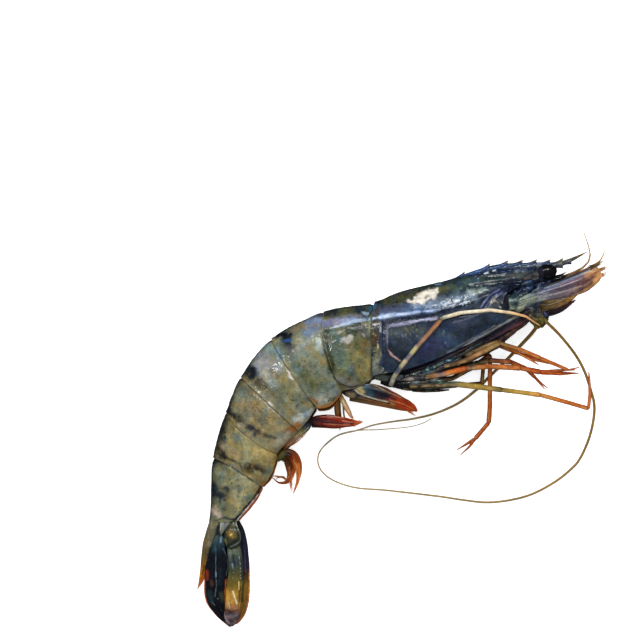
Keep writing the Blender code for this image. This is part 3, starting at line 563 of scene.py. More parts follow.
carapaceLook = dict(
    stations=[
        (-8.8, 44.8, -9.4, 17.5, 9, 8.8, 0), (-0.3, 48.5, -0.3, 18.8, 9.6, 9.3, 0.03),
        (10.1, 51.1, 10.1, 21.8, 9.8, 9.5, 0.09), (20.6, 53.7, 20.6, 26.3, 9.3, 9.5, 0.14),
        (29.4, 56, 30.1, 30.9, 8.2, 9.3, 0.16), (36.4, 56.9, 37.4, 35.2, 6.8, 9, 0.18),
        (42.3, 57.1, 43, 39, 5.4, 8.7, 0.18),
    ],
    rows=170, nearColumns=190, farColumns=56, lowerEdge=154, thickness=0.5,
    frontMargin=[  # y and x of the front margin, from the corner below up round the feelers to over the eye
        (36, 45.6), (38.2, 43.4), (39.6, 41.4), (41.2, 38.6), (43, 36.4), (45, 35.6), (47, 36.2), (49, 38.2),
        (50.6, 40.8), (52, 43.8), (53.4, 45.6), (55, 46.4), (58, 47),
    ],
    rearSpread=0.13, rearFlare=0.18, base=(42, 54, 72),
    ridges=[  # height, half width, line in the plan
        (0.4, 0.9, [(-11, 38.6), (-4, 40), (4.4, 40.7), (15.6, 42.4), (24.7, 45), (33, 48.2)]),
        (0.22, 0.6, [(-4, 36), (7.5, 38.1), (18.2, 38.6), (31.9, 41.7)]),
        (0.32, 0.55, [(12.2, 23.6), (20, 28), (26.2, 32), (32.6, 35.4), (40.6, 39.9)]),
        (0.2, 0.5, [(20, 29.4), (27.8, 33.6), (33, 36.6)]),
        (-0.25, 0.5, [(20, 28.6), (27.8, 33), (33, 35.9)]),
        (-0.45, 0.6, [(28.9, 42.6), (31.9, 46.8), (35.2, 48.9), (40, 50.2)]),
        (0.25, 0.4, [(28.2, 43), (31.1, 47.3), (34.5, 49.3)]),
        (-0.3, 0.45, [(-6.9, 44), (-7, 32), (-6.8, 22)]),
        (0.18, 0.35, [(-4.9, 36), (-4.9, 28.2), (-3.2, 26.2), (-0.4, 24.2)]),
        (-0.45, 0.8, [(24, 50.4), (34, 51.5), (46, 52.6)]), (0.25, 0.9, [(26, 54), (36, 55.2), (46, 55.8)]),
        (-0.25, 0.5, [(14, 51.6), (26, 53), (36, 54)]),
    ],
    paint=[  # colour, half width, soft edge, strength, line in the plan
        (
            (16, 22, 30), 1, 0.8, 0.92,
            [(-9, 45.1), (1.4, 50), (10.2, 52.7), (20.7, 55.2), (30, 57), (46, 57.8)],
        ),
        # the band along the back: olive, then green and teal towards the head
        ((72, 74, 34), 1.9, 1.2, 0.95, [(-4.4, 44.6), (0.8, 46.4), (4.6, 48.2)]),
        ((40, 52, 34), 1.1, 0.9, 0.85, [(4, 49.4), (11.4, 50.6)]),
        ((94, 92, 42), 1.1, 0.8, 0.85, [(12.6, 48.4), (18, 50.4)]),
        ((52, 76, 68), 1.7, 1.4, 0.75, [(18.4, 49.4), (27, 51.6), (34, 53.4)]),
        ((30, 44, 48), 0.8, 0.8, 0.7, [(22, 47.6), (27, 49.6)]),
        ((110, 124, 118), 0.9, 0.8, 0.75, [(25.6, 48.4), (29.4, 49.4)]),
        ((52, 70, 76), 1, 0.8, 0.75, [(21.4, 51), (26, 51.8)]),
        ((24, 32, 38), 0.9, 0.7, 0.85, [(-8, 44.2), (-6.8, 42.4)]),
        ((20, 30, 44), 0.8, 0.6, 0.9, [(18, 52.6), (26, 53.6), (33, 54.2)]),
        ((40, 54, 56), 0.8, 0.7, 0.85, [(14.6, 51.3), (19, 51.8)]),
        # a short painted highlight on the back band
        ((120, 146, 166), 0.22, 0.22, 0.7, [(12, 50.9), (13.8, 51.1)]),
        # blue-grey band above the ridge, with the pale cluster of painted glints
        ((86, 94, 126), 1.4, 1, 0.85, [(-8.4, 41.2), (-2, 42), (3, 43)]),
        ((72, 104, 138), 1.2, 0.9, 0.85, [(0.6, 42.2), (7.6, 43)]),
        ((150, 166, 190), 1.1, 0.8, 0.8, [(4.6, 43.9), (10, 43.4)]),
        ((124, 142, 160), 1.9, 1.3, 0.85, [(12.6, 43.4), (18, 45.2), (24, 46)]),
        # the ridge: a pale line of painted highlight over a dark one, then a second painted highlight line
        # lower down
        (
            (120, 144, 184), 0.95, 0.6, 0.75,
            [(-11.2, 38.7), (-4.7, 39.9), (0.9, 40.6), (6, 41.2), (11.2, 41.8)],
        ),
        (
            (190, 210, 240), 0.45, 0.35, 0.95,
            [(-11.2, 38.9), (-4.7, 40), (0.9, 40.6), (6, 41.3), (11.2, 41.9)],
        ),
        ((132, 150, 184), 0.36, 0.3, 0.85, [(11.2, 41.9), (15.6, 42.6), (20, 43.8)]),
        ((15, 22, 38), 0.65, 0.45, 0.95, [(-7.4, 37.4), (-0.4, 38.9), (10.6, 40.3), (14.6, 41.2)]),
        ((18, 26, 46), 0.75, 0.5, 0.92, [(14, 41.4), (18.5, 42.9), (24.7, 44.4)]),
        ((146, 150, 184), 0.4, 0.32, 0.9, [(-4.6, 36.4), (0.7, 37.2), (7.5, 38.5), (12.1, 39.3)]),
        ((120, 120, 142), 0.28, 0.26, 0.8, [(18.2, 37.6), (23.1, 38.9), (27.2, 40.7), (31.9, 41.7)]),
        ((226, 230, 238), 0.26, 0.2, 0.95, [(-4.7, 35.9)]),
        # the flank, with a painted blue sheen, and a pale line along the lower margin that is partly a painted
        # highlight
        ((80, 86, 80), 1.4, 1.2, 0.7, [(-3, 33.8), (2, 34.4), (7, 34.6)]),
        ((60, 86, 112), 1.6, 1.4, 0.7, [(14, 32.6), (19.6, 30.6)]),
        ((66, 80, 100), 1, 0.9, 0.6, [(20, 36.6), (27, 38)]),
        ((18, 28, 40), 1.9, 1.4, 0.8, [(-4, 28.4), (0, 26)]),
        ((46, 44, 86), 1.8, 1.6, 0.7, [(7.4, 27.2), (14, 31.4)]),
        ((30, 40, 66), 1.6, 1.5, 0.6, [(13, 35), (24, 37.6)]),
        ((60, 84, 94), 0.9, 0.9, 0.55, [(13.6, 33.6), (16.8, 33.2)]),
        ((26, 34, 46), 1.6, 1.2, 0.7, [(20, 32.6), (28, 36.6)]),
        (
            (146, 150, 150), 0.36, 0.28, 0.95,
            [(4, 20.4), (12.2, 23.6), (20, 28), (26.2, 32), (32.6, 35.4), (40.6, 39.9)],
        ),
        ((110, 120, 132), 0.28, 0.24, 0.85, [(16, 27.2), (20, 29.3), (27.8, 33.6), (33, 36.5)]),
        ((22, 25, 32), 0.8, 0.5, 0.85, [(0, 18.6), (8, 20.6), (18, 25.6), (28, 31.4), (36, 36)]),
        # rear rim: olive brown, then grey green below, with the joint line behind it
        ((66, 58, 32), 1.4, 0.6, 0.95, [(-9.4, 42.6), (-9.4, 36), (-9.2, 28)]),
        ((112, 112, 82), 1.4, 0.6, 0.92, [(-8.8, 27.6), (-8.6, 24)]),
        ((134, 140, 124), 1.5, 0.6, 0.92, [(-8.8, 23.6), (-8.6, 21), (-8.4, 18)]),
        ((112, 116, 108), 0.8, 0.5, 0.8, [(-7.6, 20), (-5.4, 19.4)]),
        ((26, 30, 50), 0.9, 0.8, 0.85, [(-6.3, 37), (-6, 30), (-5.6, 24)]),
        ((70, 34, 20), 0.45, 0.4, 0.85, [(-8.8, 32.4), (-8.4, 30.6)]),
        # a painted glint on the rear rim
        ((196, 184, 140), 0.18, 0.16, 0.9, [(-8.2, 30.2), (-8.1, 28.8)]),
        ((160, 148, 104), 0.16, 0.16, 0.8, [(-7.2, 27.4), (-7, 26)]),
        ((40, 34, 30), 0.3, 0.3, 0.85, [(-10.6, 38), (-10.6, 28), (-10.4, 18)]),
        ((52, 104, 140), 0.9, 0.6, 0.85, [(-11, 42.4), (-9.8, 43.8)]),
        # the pale dotted line and the pink vein
        ((122, 124, 148), 0.22, 0.2, 0.75, [(-4.9, 35.6), (-4.9, 28.6)]),
        ((182, 146, 144), 0.24, 0.2, 0.92, [(-4.8, 28.4), (-3.2, 26.2), (-0.4, 24.2)]),
        # cheek: violet stripes beside the groove, a freckled patch, the dark margin
        ((18, 22, 44), 1.2, 0.6, 0.9, [(28.4, 42.4), (31.6, 46.6), (35.6, 49), (40, 50.4)]),
        ((104, 114, 160), 0.28, 0.22, 0.92, [(27.9, 42.9), (30.8, 47), (34.3, 49.2)]),
        ((84, 96, 144), 0.24, 0.22, 0.86, [(29.1, 42.7), (32, 46.4), (35.5, 48.4)]),
        ((92, 92, 92), 1.3, 0.7, 0.8, [(32.2, 44.8), (34.2, 44.2)]),
        ((60, 66, 78), 0.9, 0.7, 0.7, [(32, 42), (36, 40.6)]),
        ((14, 20, 38), 0.9, 0.5, 0.92, [(42, 51.4), (38.6, 49.4), (36.2, 46.8), (35.4, 44), (36.4, 42.4)]),
        ((122, 116, 92), 0.6, 0.5, 0.75, [(37.4, 40.8), (40.8, 39.6)]),
        ((78, 100, 66), 1, 0.9, 0.75, [(22.6, 52), (28, 52.7)]),
        ((146, 162, 150), 0.8, 0.7, 0.8, [(23.6, 48.6), (29, 49.2)]),
        # round the eye: a dark groove, a grey olive field above it with a painted blue-grey sheen
        ((12, 20, 40), 1.1, 0.6, 0.95, [(24, 50.6), (34, 51.5), (41, 52.2), (46.4, 52.8)]),
        ((74, 80, 72), 1, 0.7, 0.85, [(36, 53.8), (41, 54.2), (46, 55)]),
        ((150, 168, 186), 0.5, 0.4, 0.8, [(39.8, 55.8), (43.6, 56.2)]),
        ((40, 52, 56), 1.2, 1, 0.8, [(26, 53), (33, 53.8)]),
        ((18, 32, 66), 0.6, 0.5, 0.88, [(24, 54.6), (32, 55.6), (46, 56.4)]),
        ((60, 84, 100), 0.5, 0.5, 0.7, [(20, 51.6), (27, 52.4)]),
    ],
    marks=[  # laid last: the cream scar, then fine marks
        ((240, 232, 216), 0.78, 0.3, 1, [(4.4, 45), (7.2, 46.4), (10.6, 48)]),
        ((240, 232, 216), 0.78, 0.3, 1, [(5, 46.2), (7.6, 47.6), (10, 48.6), (12.2, 48.9)]),
        ((236, 226, 208), 0.55, 0.3, 1, [(2.9, 45), (5, 44.8)]),
        ((236, 228, 214), 0.7, 0.3, 1, [(6.4, 45.3), (8.9, 45.4), (11.6, 47.4)]),
        ((176, 152, 130), 0.2, 0.25, 0.6, [(5.2, 47.4), (8.6, 49), (10, 49.7)]),
        ((196, 176, 150), 0.16, 0.2, 0.6, [(6, 45.9), (8.4, 46.4), (9.6, 47.4)]),
        # the pale cluster: painted glints
        ((232, 240, 248), 0.42, 0.25, 0.95, [(15.2, 43.9), (17.2, 44.5)]),
        ((232, 240, 248), 0.3, 0.22, 0.92, [(18.4, 44.9), (20.2, 45.4)]),
        ((216, 228, 240), 0.24, 0.22, 0.9, [(14.4, 45), (16.4, 45.8)]),
        ((206, 220, 236), 0.22, 0.22, 0.85, [(20.8, 44.2), (22.8, 44.8)]),
        ((226, 236, 244), 0.26, 0.2, 0.92, [(16.8, 43.4), (18.6, 43.9)]),
        # painted highlight at the rear end of the ridge
        ((180, 204, 232), 0.34, 0.3, 0.85, [(-11.6, 38.8), (-9.4, 39.1)]),
        ((150, 158, 168), 0.22, 0.2, 0.6, [(-7.2, 36.6), (-7, 34.6)]),
        # painted glints and a painted blue highlight at the root of the rostrum
        ((232, 240, 248), 0.24, 0.18, 0.95, [(29.3, 54.8), (30.3, 55.1)]),
        ((236, 242, 250), 0.22, 0.16, 0.95, [(32.2, 55.6), (33, 55.9)]),
        ((60, 108, 176), 0.24, 0.24, 0.8, [(25, 54.6), (30, 56.4)]),
    ],
    specks=[  # colour, half width of the zone, size of speck, cover, line in the plan
        # the first three groups are painted glints of the pale cluster
        ((206, 216, 224), 1.7, 0.5, 0.4, [(14, 43.6), (19, 45), (22, 45.2)]),
        ((176, 186, 200), 1.3, 0.5, 0.3, [(5, 43.6), (12, 43.8)]),
        ((222, 230, 236), 0.6, 0.5, 0.5, [(22.4, 44.6), (24.6, 45)]),
        ((14, 20, 34), 1.5, 0.8, 0.34, [(16, 44), (24, 46.4)]),
        ((104, 112, 118), 2.6, 0.8, 0.26, [(-3, 33), (6, 34)]),
        ((84, 108, 116), 2.2, 0.7, 0.24, [(13, 33.4), (19, 30)]),
        ((60, 66, 104), 3, 0.9, 0.22, [(8, 28), (24, 36)]),
        ((150, 154, 148), 1, 0.7, 0.36, [(-7.6, 21.6), (-5, 19.2)]),
        ((170, 166, 150), 1.2, 0.6, 0.4, [(32.4, 45), (34.4, 44)]),
        ((20, 24, 26), 2, 0.8, 0.3, [(-4, 44.8), (6, 48.6), (16, 50.6)]),
        ((120, 132, 120), 1.6, 0.7, 0.28, [(20, 48.6), (32, 52)]),
        # painted blue highlights along the top towards the rostrum
        ((132, 148, 170), 1, 0.6, 0.3, [(26, 54), (42, 55.4)]),
        ((24, 22, 16), 1.3, 0.8, 0.34, [(-9.2, 40), (-9, 24)]),
        ((150, 138, 92), 1.2, 0.5, 0.2, [(-9, 36), (-8.8, 22)]),
        ((96, 98, 84), 2.4, 0.9, 0.24, [(-3.6, 34.6), (6, 34.2)]),
    ],
)


def marginStation(look, angle):
    # station of the front margin for each angle: it is corrected until the skin's x meets the drawn margin
    margin = np.array(look["frontMargin"])
    first, lowest, highest = 5.6, 4.4, 6.9
    perStation, rounds = 6.2, 14  # the skin's advance in x for one station, and how often it is corrected
    t = np.full(angle.shape, first)
    for _ in range(rounds):
        place = bodySkin(look["stations"], t, np.abs(angle))
        missing = np.interp(place[..., 1], margin[:, 0], margin[:, 1]) - place[..., 0]
        t = np.clip(t + 0.7 * missing / perStation, lowest, highest)
    kernel = np.array([1, 2, 3, 2, 1]) / 9
    flat = np.convolve(np.pad(t.ravel(), 2, mode="edge"), kernel, "valid")
    return flat.reshape(t.shape)


def makeCarapace(look):
    # the shield: the body's skin from the rear edge to the front margin, open below, with ridges and a wall
    edge = math.radians(look["lowerEdge"])
    far = np.linspace(-edge, 0, look["farColumns"], endpoint=False)
    near = np.linspace(0, edge, look["nearColumns"])
    angle = np.concatenate([far, near])[None, :]
    share = np.linspace(0, 1, look["rows"])[:, None]
    rear = -look["rearSpread"] * np.clip(np.abs(np.sin(angle)) * 1.3, 0, 1)
    t = rear + share * (marginStation(look, angle) - rear)
    flare = look["rearFlare"] * ease(1 - share / 0.06)
    skin = bodySkin(look["stations"], t, angle + 0 * share, flare + 0 * angle)
    rim = np.exp(-((edge - np.abs(angle)) / 0.03) ** 2) * 0.20 + 0 * share
    lip, groove = np.exp(-(share / 0.010) ** 2), np.exp(-((share - 0.045) / 0.016) ** 2)
    rearRim = lip * 0.12 - groove * 0.10 + 0 * angle
    frontRim = np.exp(-((1 - share) / 0.010) ** 2) * 0.25 + 0 * angle
    height = carve(skin, look["ridges"]) + rim + rearRim + frontRim
    height = height + 0.10 * grain(skin, 5.0, 11, 3) + 0.02 * grain(skin, 0.9, 12, 2)
    keep = np.clip(skin[..., 2] / 1.0, 0, 1)
    skin = skin + outwards(skin) * (height * keep)[..., None]
    skin[..., 2] = np.maximum(skin[..., 2], 0.0)
    tint = np.broadcast_to(linear(look["base"]), skin.shape)
    tint = mottle(skin, tint, 21, 0.42, 0.16)
    tint = brush(skin, look["paint"], tint)
    tint = speckle(skin, look["specks"], tint, 23)
    tint = mottle(skin, tint, 27, 0.22, 0.10)
    tint = brush(skin, look["marks"], tint, 0.9, 9)
    makeShell("carapaceShield", skin, look["thickness"], tint, 0.6, finish["carapaceFinish"],
              ["carapace"])


makeCarapace(carapaceLook)


headFleshLook = dict(shrink=-1, start=0, end=5.1, rows=60, columns=64, colour=(34, 30, 44))


def makeHeadFlesh(look):
    # the flesh inside the shield, which shows below and in front of it
    angle = roundAngles(look["columns"])[None, :]
    t = np.linspace(look["start"], look["end"], look["rows"])[:, None]
    rings = bodySkin(carapaceLook["stations"], t + 0 * angle, angle + 0 * t, look["shrink"])
    rings[..., 2] = np.maximum(rings[..., 2], 0.6)
    rings = rings + outwards(rings) * (0.18 * grain(rings, 2.5, 31, 3))[..., None]
    tint = cloudy(look["colour"], rings, 0.5, 2.4, 32)
    makeSolid("headFlesh", rings, limit(tint), finish["fleshFinish"], crease=48)


makeHeadFlesh(headFleshLook)


rostrumLook = dict(
    top=[(12, 50.6), (21.3, 54.3), (29.7, 57.1), (36.4, 58.3), (46.5, 58.7), (55.6, 59.1), (65.5, 62.6)],
    low=[(12, 47.6), (24, 51.4), (36, 54.4), (46, 55.6), (54.2, 56.6), (60, 59), (65.5, 62.4)],
    upperTeeth=[21.8, 30.6, 36.9, 42.1, 47, 51.8, 56.2], lowerTeeth=[56.4, 59.4], toothLength=2.8,
    toothHeight=1.25, lean=0.75, halfThickness=1.15, tipShare=0.3, middle=(46, 9.2), columns=36,
    base=(36, 50, 74),
    paint=[
        ((30, 40, 58), 0.9, 0.7, 0.9, [(14, 51), (30, 56.6), (46, 58.3), (56, 58.9)]),
        ((46, 84, 132), 0.45, 0.5, 0.8, [(20, 53.6), (29, 56.4), (40, 57.6), (52, 58.2)]),
        ((92, 100, 62), 0.8, 0.7, 0.9, [(28, 53.4), (38, 55.6), (47, 56.8)]),
        ((150, 160, 176), 0.25, 0.25, 0.8, [(44.6, 57.4), (49, 58)]),
        # blue streaks and white dabs: painted highlights and glints
        ((60, 110, 180), 0.22, 0.22, 0.85, [(26, 55.6), (30.2, 57.6)]),
        ((66, 108, 170), 0.2, 0.22, 0.8, [(31.6, 56.4), (36.6, 58.2)]),
        ((232, 240, 248), 0.22, 0.18, 0.95, [(29.3, 54.9), (30.3, 55.2)]),
        ((236, 242, 250), 0.2, 0.16, 0.95, [(32.2, 55.7), (33, 56)]),
        ((106, 98, 72), 1, 1, 0.85, [(55, 58.2), (60, 60.2), (66, 62.8)]),
        ((168, 120, 66), 0.6, 0.6, 0.8, [(62, 61.4), (66, 62.9)]),
    ],
    toothTip=(176, 150, 104),
)


def toothRise(x, tips, length):  # 0 to 1 up each tooth's long side, falling off steeply past its tip
    rise = np.zeros_like(x)
    for tip in tips:
        up = np.clip((x - tip + length) / length, 0, 1) ** 1.6
        rise = np.maximum(rise, np.where(x <= tip, up, np.clip(1 - (x - tip) / 0.35, 0, 1)))
    return rise


def makeRostrum(look):
    # a toothed blade: for each x a lens-shaped section between the lower and the upper outline; a tooth
    # raises the upper edge and shears it forward
    tips = np.array(look["upperTeeth"] + look["lowerTeeth"])
    x = np.unique(np.concatenate([np.arange(12.0, 65.5, 0.3), tips, tips + 0.36, tips - 0.12, [65.5]]))
    top = curveAt(look["top"], np.linspace(0, len(look["top"]) - 1, 200))
    low = curveAt(look["low"], np.linspace(0, len(look["low"]) - 1, 200))
    upper = toothRise(x, look["upperTeeth"], look["toothLength"])
    lower = toothRise(x, look["lowerTeeth"], 2.0)
    topY = np.interp(x, top[:, 0], top[:, 1]) + upper * look["toothHeight"]
    lowY = np.interp(x, low[:, 0], low[:, 1]) - lower * 0.8
    share = (x - x[0]) / (x[-1] - x[0])
    thick = look["halfThickness"] * (1 - (1 - look["tipShare"]) * share)
    angle = roundAngles(look["columns"])[None, :]
    height = 0.5 + 0.5 * np.sign(np.cos(angle)) * np.abs(np.cos(angle)) ** 0.8
    y = lowY[:, None] + (topY - lowY)[:, None] * height
    side = np.sign(np.sin(angle)) * np.abs(np.sin(angle)) ** 0.75 * thick[:, None]
    keel = 0.35 * np.exp(-((height - 0.42) / 0.09) ** 2) - 0.28 * np.exp(-((height - 0.62) / 0.08) ** 2)
    side = side * (1 + keel)
    middle = look["middle"][1] - (y - look["middle"][0]) * math.tan(bodyForm["roll"])
    upperLean = look["lean"] * upper[:, None] * height ** 3
    xs = x[:, None] + upperLean + look["lean"] * 0.5 * lower[:, None] * (1 - height) ** 3
    rings = np.stack([xs + 0 * angle, y, middle + side], axis=-1)
    tint = cloudy(look["base"], rings, 0.4, 1.6, 41, 4)
    tint = brush(rings, look["paint"], tint, 0.5)
    point = ease((upper[:, None] - 0.45) / 0.5) * ease((height - 0.82) / 0.15)
    tint = blend(tint, look["toothTip"], 0.85 * point)
    makeSolid("rostrum", rings, tint, finish["headFinish"])


makeRostrum(rostrumLook)


abdomenLook = dict(
    stations=[
        (-9.4, 44.4, -9.8, 17.5, 9, 8.8, 0), (-26.6, 41.6, -20.3, 13.4, 9.2, 8.9, 0),
        (-45.1, 32.2, -29, 7.4, 9, 8.7, 0), (-56, 18.9, -35.3, -0.4, 8.3, 8, 0),
        (-61.2, 6.6, -42.8, -8.4, 7.2, 6.9, 0), (-65.8, -9.4, -48.2, -19.7, 6, 5.7, 0),
        (-67, -32.6, -57, -31.8, 3.6, 4.2, 0),
    ],
    bulge=[0, 0.16, 0.05, 0.02, 0.14, -0.04, 0], lobes=[0.7, 0.9, 0.6, 0.4, 0.8, 0.2],
    lowerEdge=[166, 166, 166, 166, 166, 172], under=0.09, over=0.02, hidden=0.9, tuck=0.48, tuckLength=0.1,
    flare=0.1, hang=[0.75, 2.1, 0.15, 0.1, 0.75, 0.75], rows=64, nearColumns=160, farColumns=44,
    thickness=0.36,
    base=[(92, 92, 66), (112, 116, 94), (124, 122, 96), (128, 120, 88), (130, 122, 84), (124, 122, 90)],
    rims=[
        ((130, 118, 104), 0.05), ((176, 112, 52), 0.09), ((126, 116, 88), 0.05), ((160, 104, 54), 0.06),
        ((170, 106, 44), 0.06), ((190, 98, 68), 0.07),
    ],
    # colour and width in radians of a dark band along the back: partly pigment, partly painted shade
    backTintsAndShade=[
        ((20, 28, 38), 0.5), ((44, 52, 60), 0.36), ((46, 54, 50), 0.44), ((36, 44, 36), 0.56),
        ((32, 40, 34), 0.66), ((28, 36, 38), 0.66),
    ],
    # the joint colour also stands for painted shade under each overlapping plate
    rearColour=(150, 138, 104), jointLineAndShadeColour=(38, 34, 24),
    ridges=[
        (0.34, 0.9, [(-10.5, 38.9), (-18, 37.4), (-27, 35.4)]),
        (-0.18, 0.8, [(-40, 2), (-32, 10), (-20, 22)]), (-0.35, 0.35, [(-15.2, 42.4), (-11.8, 38.8)]),
        (-0.2, 0.5, [(-25, 34), (-25.4, 27), (-23.6, 21)]),
    ],
)
